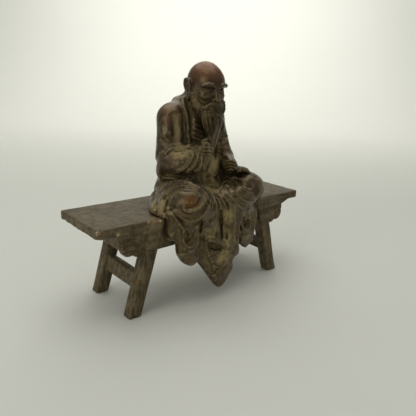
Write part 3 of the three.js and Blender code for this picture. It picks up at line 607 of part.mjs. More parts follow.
S("beard_side_2",[[8.9,-7.6,77.5],[7.7,-9.0,73.0],[4.3,-11.0,68.5]],-0.5,0.4,0.25);
// chin roll and moustache, combed
S("roll_1",[[-4.6,-9.2,81.3],[-3.2,-10.7,80.2],[-1.6,-12.6,79.9],[0.6,-13.1,80.7]],-0.4,0.35,0.25);
S("roll_2",[[-4.5,-9.7,80.2],[-4.0,-12.3,79.2],[-2.0,-13.8,79.0],[0.9,-13.4,79.7]],-0.4,0.35,0.25);
// back and left side: plain long folds
S("back_1",[[-11.0,9.5,76.0],[-12.5,7.8,66.0],[-13.5,8.6,56.0],[-14.5,8.3,46.0]],-0.7,1.6,0.25);
S("back_2",[[-6.0,10.2,78.0],[-6.8,12.1,66.0],[-8.0,12.6,56.0],[-9.5,11.9,44.0]],-0.7,1.5,0.25);
S("back_3",[[1.0,11.8,79.0],[1.2,13.7,68.0],[1.6,14.1,57.0],[2.0,14.9,44.0]],-0.6,1.5,0.25);
S("back_4",[[8.0,10.5,77.0],[9.0,12.0,66.0],[10.5,12.4,56.0],[12.0,12.2,44.0]],-0.7,1.5,0.25);
S("back_5",[[-9.0,10.6,72.0],[-10.4,10.7,61.0],[-11.8,10.2,50.0]],0.6,1.4,0.25);
S("back_6",[[-2.6,12.0,76.0],[-3.0,13.3,64.0],[-3.6,14.0,50.0]],0.6,1.5,0.25);
S("back_7",[[5.0,11.9,76.0],[5.5,13.2,64.0],[6.6,13.9,50.0]],0.6,1.5,0.25);
S("back_8",[[11.4,10.4,70.0],[12.6,10.8,60.0],[14.0,10.4,50.0]],0.6,1.3,0.25);
S("collar_back",[[-7.5,6.4,82.3],[-2.0,9.0,84.0],[4.0,9.1,84.2],[9.5,7.0,82.0]],0.7,1.0,0.25);
S("collar_back_g",[[-9.0,8.3,80.0],[-2.0,11.0,81.5],[5.0,10.7,81.6],[11.0,7.6,79.6]],-0.6,1.0,0.25);
S("sash_back",[[-12.0,10.0,51.0],[-4.0,14.0,49.5],[6.0,14.1,49.8],[14.0,10.2,51.5]],-0.5,1.0,0.25);
S("side_l_1",[[16.9,-1.0,74.0],[18.2,-3.0,66.0],[20.4,-4.5,58.0]],-0.6,1.2,0.25);
S("side_l_2",[[17.0,3.5,74.0],[17.9,3.0,65.0],[18.5,2.6,56.0],[21.2,3.0,47.0]],-0.7,1.3,0.25);
S("side_l_3",[[13.7,8.0,72.0],[14.7,7.8,62.0],[16.0,7.6,52.0],[17.8,8.0,44.0]],-0.6,1.3,0.25);
S("side_l_elbow",[[16.9,-6.0,62.0],[21.0,-1.0,58.5],[18.4,3.0,57.0]],-0.6,0.9,0.25);
S("side_l_skirt_1",[[27.4,-12.0,50.0],[26.3,-6.0,46.0],[23.9,0.0,43.5]],-0.6,1.1,0.25);
S("side_l_skirt_2",[[30.1,-13.0,46.0],[27.4,-7.0,43.0],[25.1,-2.0,41.5]],-0.6,0.9,0.25);
S("side_l_skirt_3",[[25.4,-9.0,50.5],[23.5,-3.0,47.0],[21.7,4.0,45.0]],0.6,1.1,0.25);
S("side_r_1",[[-15.4,5.5,72.0],[-14.9,6.0,62.0],[-14.1,6.4,52.0],[-15.8,7.0,44.0]],-0.5,1.3,0.25);
S("side_r_2",[[-11.3,9.0,70.0],[-11.8,9.8,60.0],[-11.5,10.4,50.0],[-10.8,10.8,43.0]],-0.5,1.2,0.25);
CUT("bench_clear",[-70,-16.1,-5],[70,30,39.6],0.3);

// ---------- surface of the figure ----------
function sampleField(lo, hi, h) {
  const n = [0, 1, 2].map((i) => Math.ceil((hi[i] - lo[i]) / h) + 1);
  const D = new Float32Array(n[0] * n[1] * n[2]).fill(50);
  for (const s of shapes) {
    const m = s.k + (s.op === '+' ? 2.5 : 0.5);
    const a = [0, 1, 2].map((i) => Math.max(0, Math.ceil((s.lo[i] - m - lo[i]) / h)));
    const b = [0, 1, 2].map((i) => Math.min(n[i] - 1, Math.floor((s.hi[i] + m - lo[i]) / h)));
    for (let i = a[0]; i <= b[0]; i++) for (let j = a[1]; j <= b[1]; j++) for (let k = a[2]; k <= b[2]; k++) {
      const q = (i * n[1] + j) * n[2] + k;
      const v = s.fn(lo[0] + i * h, lo[1] + j * h, lo[2] + k * h);
      if (s.op === '+') D[q] = softMin(D[q], v, s.k);
      else if (s.op === '-') D[q] = -softMin(-D[q], v, s.k);
      else D[q] -= v;
    }
  }
  for (let q = 0; q < D.length; q++) if (Math.abs(D[q]) < 0.02) D[q] = D[q] < 0 ? -0.02 : 0.02;
  return { D, n };
}
// the zero surface, cell by cell, each cell parted into six tetrahedra, so that it is always closed
function zeroSurface({ D, n }, lo, h) {
  const at = (i, j, k) => (i * n[1] + j) * n[2] + k;
  const corner = [[0, 0, 0], [1, 0, 0], [0, 1, 0], [1, 1, 0], [0, 0, 1], [1, 0, 1], [0, 1, 1], [1, 1, 1]];
  const tets = [[0, 1, 3, 7], [0, 3, 2, 7], [0, 2, 6, 7], [0, 6, 4, 7], [0, 4, 5, 7], [0, 5, 1, 7]];
  const verts = [], tris = [], known = new Map();
  const id = new Int32Array(8), val = new Float32Array(8);
  const point = (p, q) => {
    const a = id[p], b = id[q], key = a < b ? a * 67108864 + b : b * 67108864 + a;
    let v = known.get(key);
    if (v === undefined) {
      const t = val[p] / (val[p] - val[q]), A = corner[p], B = corner[q];
      v = verts.length / 3;
      verts.push(...[0, 1, 2].map((x) => lo[x] + h * (base[x] + A[x] + (B[x] - A[x]) * t)));
      known.set(key, v);
    }
    return v;
  };
  let base = [0, 0, 0];
  for (let i = 0; i < n[0] - 1; i++) for (let j = 0; j < n[1] - 1; j++) for (let k = 0; k < n[2] - 1; k++) {
    let inside = 0;
    for (let c = 0; c < 8; c++) { id[c] = at(i + corner[c][0], j + corner[c][1], k + corner[c][2]); val[c] = D[id[c]]; if (val[c] < 0) inside++; }
    if (inside === 0 || inside === 8) continue;
    base = [i, j, k];
    for (const t of tets) {
      const neg = t.filter((c) => val[c] < 0), pos = t.filter((c) => val[c] >= 0);
      if (!neg.length || !pos.length) continue;
      let polys;
      if (neg.length === 1) polys = [[[neg[0], pos[0]], [neg[0], pos[1]], [neg[0], pos[2]]]];
      else if (neg.length === 3) polys = [[[neg[0], pos[0]], [neg[1], pos[0]], [neg[2], pos[0]]]];
      else {
        const a = [neg[0], pos[0]], b = [neg[0], pos[1]], c = [neg[1], pos[1]], d = [neg[1], pos[0]];
        polys = [[a, b, c], [a, c, d]];
      }
      // direction from inside to outside, to turn each facet the right way
      const dir = [0, 1, 2].map((x) => pos.reduce((s, c) => s + corner[c][x], 0) / pos.length - neg.reduce((s, c) => s + corner[c][x], 0) / neg.length);
      for (const poly of polys) {
        const v = poly.map(([p, q]) => point(p, q));
        const P = v.map((w) => [verts[3 * w], verts[3 * w + 1], verts[3 * w + 2]]);
        const e1 = P[1].map((c, x) => c - P[0][x]), e2 = P[2].map((c, x) => c - P[0][x]);
        const nn = [e1[1] * e2[2] - e1[2] * e2[1], e1[2] * e2[0] - e1[0] * e2[2], e1[0] * e2[1] - e1[1] * e2[0]];
        if (nn[0] * dir[0] + nn[1] * dir[1] + nn[2] * dir[2] < 0) tris.push(v[0], v[2], v[1]); else tris.push(...v);
      }
    }
  }
  return { verts, tris };
}
// keeps the largest connected shell
function mainShell({ verts, tris }) {
  const n = verts.length / 3, up = new Int32Array(n).map((_, i) => i);
  const find = (a) => { while (up[a] !== a) { up[a] = up[up[a]]; a = up[a]; } return a; };
  for (let t = 0; t < tris.length; t += 3) { up[find(tris[t])] = find(tris[t + 1]); up[find(tris[t + 1])] = find(tris[t + 2]); }
  const count = new Map();
  for (let t = 0; t < tris.length; t += 3) { const r = find(tris[t]); count.set(r, (count.get(r) || 0) + 1); }
  const best = [...count.entries()].sort((a, b) => b[1] - a[1])[0][0];
  const keep = []; for (let t = 0; t < tris.length; t += 3) if (find(tris[t]) === best) keep.push(tris[t], tris[t + 1], tris[t + 2]);
  const map = new Map(), v2 = [], t2 = keep.map((v) => { if (!map.has(v)) { map.set(v, v2.length / 3); v2.push(verts[3 * v], verts[3 * v + 1], verts[3 * v + 2]); } return map.get(v); });
  return { verts: v2, tris: t2 };
}
// evens out the facets: each vertex goes to the middle of its neighbours, then back to the zero surface
function evenOut({ verts, tris }, { D, n }, lo, h, rounds) {
  const nV = verts.length / 3, near = Array.from({ length: nV }, () => new Set());
  for (let t = 0; t < tris.length; t += 3) for (let e = 0; e < 3; e++) { near[tris[t + e]].add(tris[t + (e + 1) % 3]); near[tris[t + (e + 1) % 3]].add(tris[t + e]); }
  const value = (x, y, z) => {
    const u = [(x - lo[0]) / h, (y - lo[1]) / h, (z - lo[2]) / h], c = u.map((v, i) => clamp(Math.floor(v), 0, n[i] - 2)), f = u.map((v, i) => v - c[i]);
    let s = 0;
    for (let k = 0; k < 8; k++) {
      const a = k & 1, b = (k >> 1) & 1, d = k >> 2;
      s += D[((c[0] + a) * n[1] + c[1] + b) * n[2] + c[2] + d] * (a ? f[0] : 1 - f[0]) * (b ? f[1] : 1 - f[1]) * (d ? f[2] : 1 - f[2]);
    }
    return s;
  };
  for (let r = 0; r < rounds; r++) {
    const next = new Float64Array(verts.length);
    for (let v = 0; v < nV; v++) {
      const m = [0, 0, 0]; for (const w of near[v]) for (let i = 0; i < 3; i++) m[i] += verts[3 * w + i];
      const p = [0, 1, 2].map((i) => 0.3 * verts[3 * v + i] + 0.7 * m[i] / near[v].size);
      const e = 0.3, g = [0, 1, 2].map((i) => { const a = p.slice(), b = p.slice(); a[i] += e; b[i] -= e; return (value(...a) - value(...b)) / (2 * e); });
      const gg = g[0] * g[0] + g[1] * g[1] + g[2] * g[2], step = gg > 0.04 ? clamp(value(...p) / gg, -0.3, 0.3) : 0;
      for (let i = 0; i < 3; i++) next[3 * v + i] = p[i] - g[i] * step;
    }
    verts = Array.from(next);
  }
  return { verts, tris };
}
// merges neighbouring vertices where the surface changes least, until 'target' facets are left
function thinOut({ verts, tris }, target) {
  const V = Float64Array.from(verts), nV = V.length / 3, F = Int32Array.from(tris), nF = F.length / 3;
  const Q = new Float64Array(nV * 10), alive = new Uint8Array(nF).fill(1), faces = Array.from({ length: nV }, () => new Set()), stamp = new Int32Array(nV), dead = new Uint8Array(nV);
  const normal = (a, b, c) => {
    const ux = V[3 * b] - V[3 * a], uy = V[3 * b + 1] - V[3 * a + 1], uz = V[3 * b + 2] - V[3 * a + 2];
    const wx = V[3 * c] - V[3 * a], wy = V[3 * c + 1] - V[3 * a + 1], wz = V[3 * c + 2] - V[3 * a + 2];
    return [uy * wz - uz * wy, uz * wx - ux * wz, ux * wy - uy * wx];
  };
  for (let f = 0; f < nF; f++) {
    const [a, b, c] = [F[3 * f], F[3 * f + 1], F[3 * f + 2]];
    faces[a].add(f); faces[b].add(f); faces[c].add(f);
    let [x, y, z] = normal(a, b, c); const l = Math.hypot(x, y, z) || 1e-12, area = l / 2; x /= l; y /= l; z /= l;
    const d = -(x * V[3 * a] + y * V[3 * a + 1] + z * V[3 * a + 2]);
    const q = [x * x, x * y, x * z, x * d, y * y, y * z, y * d, z * z, z * d, d * d];
    for (const v of [a, b, c]) for (let i = 0; i < 10; i++) Q[10 * v + i] += q[i] * area;
  }
  const cost = (q, x, y, z) => q[0] * x * x + 2 * q[1] * x * y + 2 * q[2] * x * z + 2 * q[3] * x + q[4] * y * y + 2 * q[5] * y * z + 2 * q[6] * y + q[7] * z * z + 2 * q[8] * z + q[9];
  const best = (a, b) => {
    const q = new Array(10); for (let i = 0; i < 10; i++) q[i] = Q[10 * a + i] + Q[10 * b + i];
    const A = [V[3 * a], V[3 * a + 1], V[3 * a + 2]], B = [V[3 * b], V[3 * b + 1], V[3 * b + 2]];
    const len = Math.hypot(A[0] - B[0], A[1] - B[1], A[2] - B[2]);
    const mid = A.map((v, i) => (v + B[i]) / 2), cands = [A, B, mid];
    const mu = 0.02 * (q[0] + q[4] + q[7]) + 1e-6, keep9 = q.slice();
    q[0] += mu; q[4] += mu; q[7] += mu; q[3] -= mu * mid[0]; q[6] -= mu * mid[1]; q[8] -= mu * mid[2];
    const det = q[0] * (q[4] * q[7] - q[5] * q[5]) - q[1] * (q[1] * q[7] - q[5] * q[2]) + q[2] * (q[1] * q[5] - q[4] * q[2]);
    if (Math.abs(det) > 1e-9) {
      const r = [-q[3], -q[6], -q[8]];
      const x = (r[0] * (q[4] * q[7] - q[5] * q[5]) - q[1] * (r[1] * q[7] - q[5] * r[2]) + q[2] * (r[1] * q[5] - q[4] * r[2])) / det;
      const y = (q[0] * (r[1] * q[7] - q[5] * r[2]) - r[0] * (q[1] * q[7] - q[5] * q[2]) + q[2] * (q[1] * r[2] - r[1] * q[2])) / det;
      const z = (q[0] * (q[4] * r[2] - r[1] * q[5]) - q[1] * (q[1] * r[2] - r[1] * q[2]) + r[0] * (q[1] * q[5] - q[4] * q[2])) / det;
      if (Math.hypot(x - mid[0], y - mid[1], z - mid[2]) < 0.9 * len) cands.push([x, y, z]);
    }
    let w = null, wc = Infinity;
    for (const p of cands) { const c = cost(keep9, ...p); if (c < wc - 1e-9) { wc = c; w = p; } }
    return [Math.max(wc, 0) + 0.0008 * len * len * len * len, w];
  };
  // binary heap of possible merges
  const heap = [];
  const push = (it) => { let i = heap.length; heap.push(it); while (i > 0) { const p = (i - 1) >> 1; if (heap[p][0] <= it[0]) break; heap[i] = heap[p]; i = p; } heap[i] = it; };
  const pop = () => {
    const top = heap[0], last = heap.pop(), n = heap.length;
    if (n) { let i = 0; for (;;) { let c = 2 * i + 1; if (c >= n) break; if (c + 1 < n && heap[c + 1][0] < heap[c][0]) c++; if (heap[c][0] >= last[0]) break; heap[i] = heap[c]; i = c; } heap[i] = last; }
    return top;
  };
  const queue = (a, b) => { const [c, p] = best(a, b); push([c, a, b, stamp[a], stamp[b], p]); };
  for (let f = 0; f < nF; f++) for (let e = 0; e < 3; e++) { const a = F[3 * f + e], b = F[3 * f + (e + 1) % 3]; if (a < b) queue(a, b); }
  const around = (v) => { const s = new Set(); for (const f of faces[v]) for (let e = 0; e < 3; e++) s.add(F[3 * f + e]); s.delete(v); return s; };
  let left = nF;
  while (left > target && heap.length) {
    const [, a, b, sa, sb, p] = pop();
    if (dead[a] || dead[b] || stamp[a] !== sa || stamp[b] !== sb) continue;
    const shared = [...faces[a]].filter((f) => faces[b].has(f));
    if (shared.length !== 2) continue;
    const na = around(a), nb = around(b); let common = 0; for (const v of na) if (nb.has(v)) common++;
    if (common !== 2 || na.size < 4 || nb.size < 4) continue;
    let ok = true;
    const keepA = [V[3 * a], V[3 * a + 1], V[3 * a + 2]], keepB = [V[3 * b], V[3 * b + 1], V[3 * b + 2]];
    for (const [v] of [[a], [b]]) {
      for (const f of faces[v]) {
        if (shared.includes(f)) continue;
        const before = normal(F[3 * f], F[3 * f + 1], F[3 * f + 2]);
        const old = [V[3 * v], V[3 * v + 1], V[3 * v + 2]];
        V[3 * v] = p[0]; V[3 * v + 1] = p[1]; V[3 * v + 2] = p[2];
        const after = normal(F[3 * f], F[3 * f + 1], F[3 * f + 2]);
        let longest = 0; for (let e = 0; e < 3; e++) { const s = F[3 * f + e], t = F[3 * f + (e + 1) % 3]; longest = Math.max(longest, Math.hypot(V[3 * s] - V[3 * t], V[3 * s + 1] - V[3 * t + 1], V[3 * s + 2] - V[3 * t + 2])); }
        V[3 * v] = old[0]; V[3 * v + 1] = old[1]; V[3 * v + 2] = old[2];
        const lb = Math.hypot(...before), la = Math.hypot(...after);
        const dot = before[0] * after[0] + before[1] * after[1] + before[2] * after[2];
        if (la < 1e-6 || dot < 0.15 * lb * la || la < 0.02 * longest * longest) { ok = false; break; }
      }
      if (!ok) break;
    }
    V.set(keepA, 3 * a); V.set(keepB, 3 * b);
    if (!ok) continue;
    V[3 * a] = p[0]; V[3 * a + 1] = p[1]; V[3 * a + 2] = p[2];
    for (let i = 0; i < 10; i++) Q[10 * a + i] += Q[10 * b + i];
    for (const f of shared) { alive[f] = 0; left--; for (let e = 0; e < 3; e++) faces[F[3 * f + e]].delete(f); }
    for (const f of faces[b]) { for (let e = 0; e < 3; e++) if (F[3 * f + e] === b) F[3 * f + e] = a; faces[a].add(f); }
    dead[b] = 1; faces[b].clear(); stamp[a]++;
    for (const v of around(a)) { stamp[v]++; }
    for (const v of around(a)) queue(Math.min(a, v), Math.max(a, v));
    for (const v of around(a)) for (const w of around(v)) if (w !== a && v < w) queue(v, w);
  }
  const map = new Map(), pos = [], idx = [];
  for (let f = 0; f < nF; f++) if (alive[f]) for (let e = 0; e < 3; e++) {
    const v = F[3 * f + e];
    if (!map.has(v)) { map.set(v, pos.length / 3); pos.push(V[3 * v], V[3 * v + 1], V[3 * v + 2]); }
    idx.push(map.get(v));
  }
  const g = new THREE.BufferGeometry();
  g.setAttribute('position', new THREE.BufferAttribute(new Float32Array(pos), 3));
  g.setIndex(idx);
  return g;
}
function buildFigure() {
  const lo = [-30, -31, 1], hi = [36, 20, 104];
  const field = sampleField(lo, hi, FIGURE_GRID);
  const shell = mainShell(zeroSurface(field, lo, FIGURE_GRID));
  return thinOut(evenOut(shell, field, lo, FIGURE_GRID, 3), FIGURE_FACETS);
}

// ---------- the object ----------
const bench = new THREE.Mesh(buildBench(), new THREE.MeshStandardMaterial({ color: 0x6b5b43, roughness: 0.72, metalness: 0.55 }));
bench.name = 'bench';
const figure = new THREE.Mesh(buildFigure(), new THREE.MeshStandardMaterial({ color: 0x4a3626, roughness: 0.42, metalness: 0.65 }));
figure.name = 'figure';

const group = new THREE.Group();
group.add(bench, figure);
// the middle of the whole footprint comes over the origin
const all = new THREE.Box3().setFromObject(group), mid = all.getCenter(new THREE.Vector3());
group.position.set(-mid.x, -mid.y, 0);
group.updateMatrixWorld(true);

export default group;
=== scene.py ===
# Small cast bronze: a bald, bearded monk in a wide robe on a trestle bench. Two castings with an aged brown patina.
import bpy
import math
import numpy as np
from mathutils import Matrix, Vector


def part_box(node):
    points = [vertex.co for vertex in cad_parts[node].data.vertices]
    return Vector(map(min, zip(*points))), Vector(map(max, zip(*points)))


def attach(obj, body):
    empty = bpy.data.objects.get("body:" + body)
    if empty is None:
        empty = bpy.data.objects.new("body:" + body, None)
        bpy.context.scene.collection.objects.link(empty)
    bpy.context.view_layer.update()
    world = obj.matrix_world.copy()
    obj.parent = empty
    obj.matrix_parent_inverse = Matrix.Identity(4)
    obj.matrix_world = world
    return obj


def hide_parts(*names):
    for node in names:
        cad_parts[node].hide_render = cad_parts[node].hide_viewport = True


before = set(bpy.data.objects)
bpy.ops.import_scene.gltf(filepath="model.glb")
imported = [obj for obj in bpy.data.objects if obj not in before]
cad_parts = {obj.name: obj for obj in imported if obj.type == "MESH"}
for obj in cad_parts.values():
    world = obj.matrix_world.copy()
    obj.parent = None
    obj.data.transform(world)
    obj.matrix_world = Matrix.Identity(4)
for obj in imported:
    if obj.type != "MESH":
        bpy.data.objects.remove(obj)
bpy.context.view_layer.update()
H_FIGURE = 0.25      # grid pitch of the figure's surface, mm
H_BENCH = 0.30      # grid pitch of the bench's surface, mm
MOST_TRIANGLES = 194000                # on each piece

# the shapes below are laid out with the bench's own centre at x = y = 0; SHIFT takes them to the frame's origin
_lo, _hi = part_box("bench")
SHIFT = np.array([(_lo.x + _hi.x) / 2, (_lo.y + _hi.y) / 2, 0.0]) * 1000.0
F32 = np.float32


# ---------------------------------------------------------------- implicit shapes, millimetres, negative inside
class Model:
    def __init__(self):
        self.f = []

    def add(self, lo, hi, k, op, fn):
        self.f.append((np.array(lo, float), np.array(hi, float), k, op, fn))


def rotm(r):
    rx, ry, rz = [math.radians(v) for v in r]
    cx, sx, cy, sy, cz, sz = math.cos(rx), math.sin(rx), math.cos(ry), math.sin(ry), math.cos(rz), math.sin(rz)
    return (np.array([[cz, -sz, 0], [sz, cz, 0], [0, 0, 1]]) @ np.array([[cy, 0, sy], [0, 1, 0], [-sy, 0, cy]])
            @ np.array([[1, 0, 0], [0, cx, -sx], [0, sx, cx]]))


def catmull(P, n):
    P = np.asarray(P, float)
    m = len(P)
    if m == 2:
        t = np.linspace(0, 1, n + 1)[:, None]
        return P[0] * (1 - t) + P[1] * t
    Q = np.vstack([2 * P[0] - P[1], P, 2 * P[-1] - P[-2]])
    out = []
    for i in range(m - 1):
        a, b, c, d = Q[i], Q[i + 1], Q[i + 2], Q[i + 3]
        for j in range(n):
            t = j / n
            out.append(0.5 * (2 * b + (c - a) * t + (2 * a - 5 * b + 4 * c - d) * t * t + (3 * b - a - 3 * c + d) * t ** 3))
    out.append(P[-1])
    return np.array(out)


def curve(P, seg):
    return catmull(P, max(2, int(math.ceil(seg / (len(P) - 1)))))


def chain_distance(X, Y, Z, P, rad=None):
    best = where = None
    n = len(P) - 1
    for i in range(n):
        a, b = P[i], P[i + 1]
        bx, by, bz = [F32(v) for v in b - a]
        inv = F32(1.0 / (bx * bx + by * by + bz * bz + 1e-9))
        x, y, z = X - F32(a[0]), Y - F32(a[1]), Z - F32(a[2])
        t = np.clip((x * bx + y * by + z * bz) * inv, 0, 1)
        d = np.sqrt((x - bx * t) ** 2 + (y - by * t) ** 2 + (z - bz * t) ** 2)
        if rad is not None:
            d = d - (F32(rad[i]) + F32(rad[i + 1] - rad[i]) * t)
        tt = (i + t) / n
        if best is None:
            best, where = d, tt
        else:
            m = d < best
            best, where = np.where(m, d, best), np.where(m, tt, where)
    return best, where


def soft_min(a, b, k):
    if k <= 0:
        return np.minimum(a, b)
    h = np.clip(0.5 + 0.5 * (b - a) / k, 0, 1)
    return b + (a - b) * h - k * h * (1 - h)


def apply_shape(f, d, x, y, z):
    v = f[4](x, y, z)
    if f[3] == '+':
        return soft_min(d, v, f[2]).astype(F32)
    if f[3] == '-':
        return (-soft_min(-d, v, f[2])).astype(F32)
    return (d - v).astype(F32)


M = Model()
FR = [np.zeros(3), np.eye(3)]


def frame_at(o, rot):
    FR[0] = np.array(o, float)
    FR[1] = rotm(rot)


def place(p):
    return FR[1] @ np.array(p, float) + FR[0]


def E(name, c, r, rot=(0, 0, 0), k=2.0, op=0):
    """ellipsoid; op 1 takes it away"""
    c = place(c)
    R = (FR[1] @ rotm(rot)).astype(F32)
    ext = np.sqrt(((R * np.array(r)) ** 2).sum(1))
    c32, r32 = c.astype(F32), np.array(r, F32)

    def fn(X, Y, Z):
        x, y, z = X - c32[0], Y - c32[1], Z - c32[2]
        x, y, z = ((R[0, 0] * x + R[1, 0] * y + R[2, 0] * z) / r32[0], (R[0, 1] * x + R[1, 1] * y + R[2, 1] * z) / r32[1],
                   (R[0, 2] * x + R[1, 2] * y + R[2, 2] * z) / r32[2])
        k0 = np.sqrt(x * x + y * y + z * z) + 1e-6
        x, y, z = x / r32[0], y / r32[1], z / r32[2]
        return k0 * (k0 - 1) / (np.sqrt(x * x + y * y + z * z) + 1e-6)
    M.add(c - ext, c + ext, k, '-' if op else '+', fn)


def C(name, a, b, ra, rb, k=2.0, op=0):
    """straight limb with a radius at each end"""
    P = np.array([place(a), place(b)])
    R = max(ra, rb)
    M.add(P.min(0) - R, P.max(0) + R, k, '-' if op else '+', lambda X, Y, Z: chain_distance(X, Y, Z, P, [ra, rb])[0])


def T(name, pts, rads, k=1.0, op=0, seg=12):
    """curved roll through the points"""
    P = curve([place(p) for p in pts], seg)
    rr = np.interp(np.linspace(0, 1, len(P)), np.linspace(0, 1, len(rads)), rads)
    R = max(rads)
    M.add(P.min(0) - R, P.max(0) + R, k, '-' if op else '+', lambda X, Y, Z: chain_distance(X, Y, Z, P, rr)[0])


RELIEF = 1.12        # the fine folds stand this much prouder here than in the plain solids


def S(name, pts, A, w, taper=0.25, seg=12):
    """fold: the surface near the curve is raised by A, or sunk where A is negative; w is its half width"""
    P = curve([place(p) for p in pts], seg)
    A = A * RELIEF

    def fn(X, Y, Z):
        d, t = chain_distance(X, Y, Z, P)
        e = np.clip(np.minimum(t, 1 - t) / max(taper, 1e-3), 0, 1)
        return A * np.exp(-(d / w) ** 2) * (e * e * (3 - 2 * e))
    M.add(P.min(0) - 2.3 * w, P.max(0) + 2.3 * w, 0, 'd', fn)


def rounded(P, m=3):
    P = np.array(P, float)
    n, out = len(P), []
    for i in range(n):
        a, b, c, d = P[i - 1], P[i], P[(i + 1) % n], P[(i + 2) % n]
        for j in range(m):
            t = j / m
            out.append(0.5 * (2 * b + (c - a) * t + (2 * a - 5 * b + 4 * c - d) * t * t + (3 * b - a - 3 * c + d) * t ** 3))
    return np.array(out)


def PL(name, P, yc, th, r, slope=0.0, bulge=0.0, k=1.0, cx=0.0, hw=10.0, z0=30.0):
    """hanging cloth: a smooth outline in X-Z with rounded edges, bowed toward the front"""
    P = rounded(P)
    n = len(P)
    far = th + abs(bulge) + abs(slope) * 40

    def fn(X, Y, Z):
        d = (X - P[0, 0]) ** 2 + (Z - P[0, 1]) ** 2
        s = np.ones_like(X)
        for i in range(n):
            j = (i - 1) % n
            ex, ez = P[j, 0] - P[i, 0], P[j, 1] - P[i, 1]
            wx, wz = X - P[i, 0], Z - P[i, 1]
            t = np.clip((wx * ex + wz * ez) / (ex * ex + ez * ez), 0, 1)
            d = np.minimum(d, (wx - ex * t) ** 2 + (wz - ez * t) ** 2)
            c1, c2, c3 = Z >= P[i, 1], Z < P[j, 1], ex * wz > ez * wx
            s = np.where((c1 & c2 & c3) | (~c1 & ~c2 & ~c3), -s, s)
        d2 = s * np.sqrt(d) + r
        yy = yc + slope * (Z - z0) - bulge * (1 - np.clip((X - cx) / hw, -1, 1) ** 2)
        dy = np.abs(Y - yy) - th + r
        return np.sqrt(np.maximum(d2, 0) ** 2 + np.maximum(dy, 0) ** 2) + np.minimum(np.maximum(d2, dy), 0) - r
    M.add([P[:, 0].min(), yc - far, P[:, 1].min()], [P[:, 0].max(), yc + far, P[:, 1].max()], k, '+', fn)


def FAN(name, n, P, u, spread, v, bow, A, w, taper=0.2, alt=1):
    """folds side by side along the curve, ridges and grooves in turn"""
    P, u, v = np.array(P, float), np.array(u, float), np.array(v, float)
    for i in range(n):
        s = 2 * i / (n - 1) - 1
        S(name, [P[j] + u * s * spread[j] + v * s * s * bow[j] for j in range(len(P))], A if (i % 2 == 0 or not alt) else -A, w, taper)


def LOCKS(name, n, P, u, spread, v, bow, rads, k, wave=0.0):
    """locks of hair side by side along the curve"""
    P, u, v = np.array(P, float), np.array(u, float), np.array(v, float)
    for i in range(n):
        s = 2 * i / (n - 1) - 1
        T(name, [P[j] + u * (s * spread[j] + wave * math.sin(2.3 * j + 1.7 * i)) + v * s * s * bow[j] for j in range(len(P))], rads, k)


def CURLS(name, n, P, r, A, w, u, v):
    """small curls of hair along the curve"""
    P, u, v = np.array(P, float), np.array(u, float), np.array(v, float)
    line = catmull(P, n)
    for i in range(n):
        c = line[int(round(i * (len(line) - 1) / (n - 1)))]
        S(name, [c + (u * math.cos(0.9 * i + j * 1.15) + v * math.sin(0.9 * i + j * 1.15)) * r * (1 - 0.13 * j) for j in range(6)], A, w, 0.15, 15)


def box_distance(X, Y, Z, c, h, r=0.0):
    qx, qy, qz = np.abs(X - c[0]) - h[0] + r, np.abs(Y - c[1]) - h[1] + r, np.abs(Z - c[2]) - h[2] + r
    return (np.sqrt(np.maximum(qx, 0) ** 2 + np.maximum(qy, 0) ** 2 + np.maximum(qz, 0) ** 2)
            + np.minimum(np.maximum(qx, np.maximum(qy, qz)), 0) - r)


def CUT(name, lo, hi, k=0.3):
    lo, hi = np.array(lo, float), np.array(hi, float)
    M.add(lo, hi, k, '-', lambda X, Y, Z: box_distance(X, Y, Z, (lo + hi) / 2, (hi - lo) / 2))


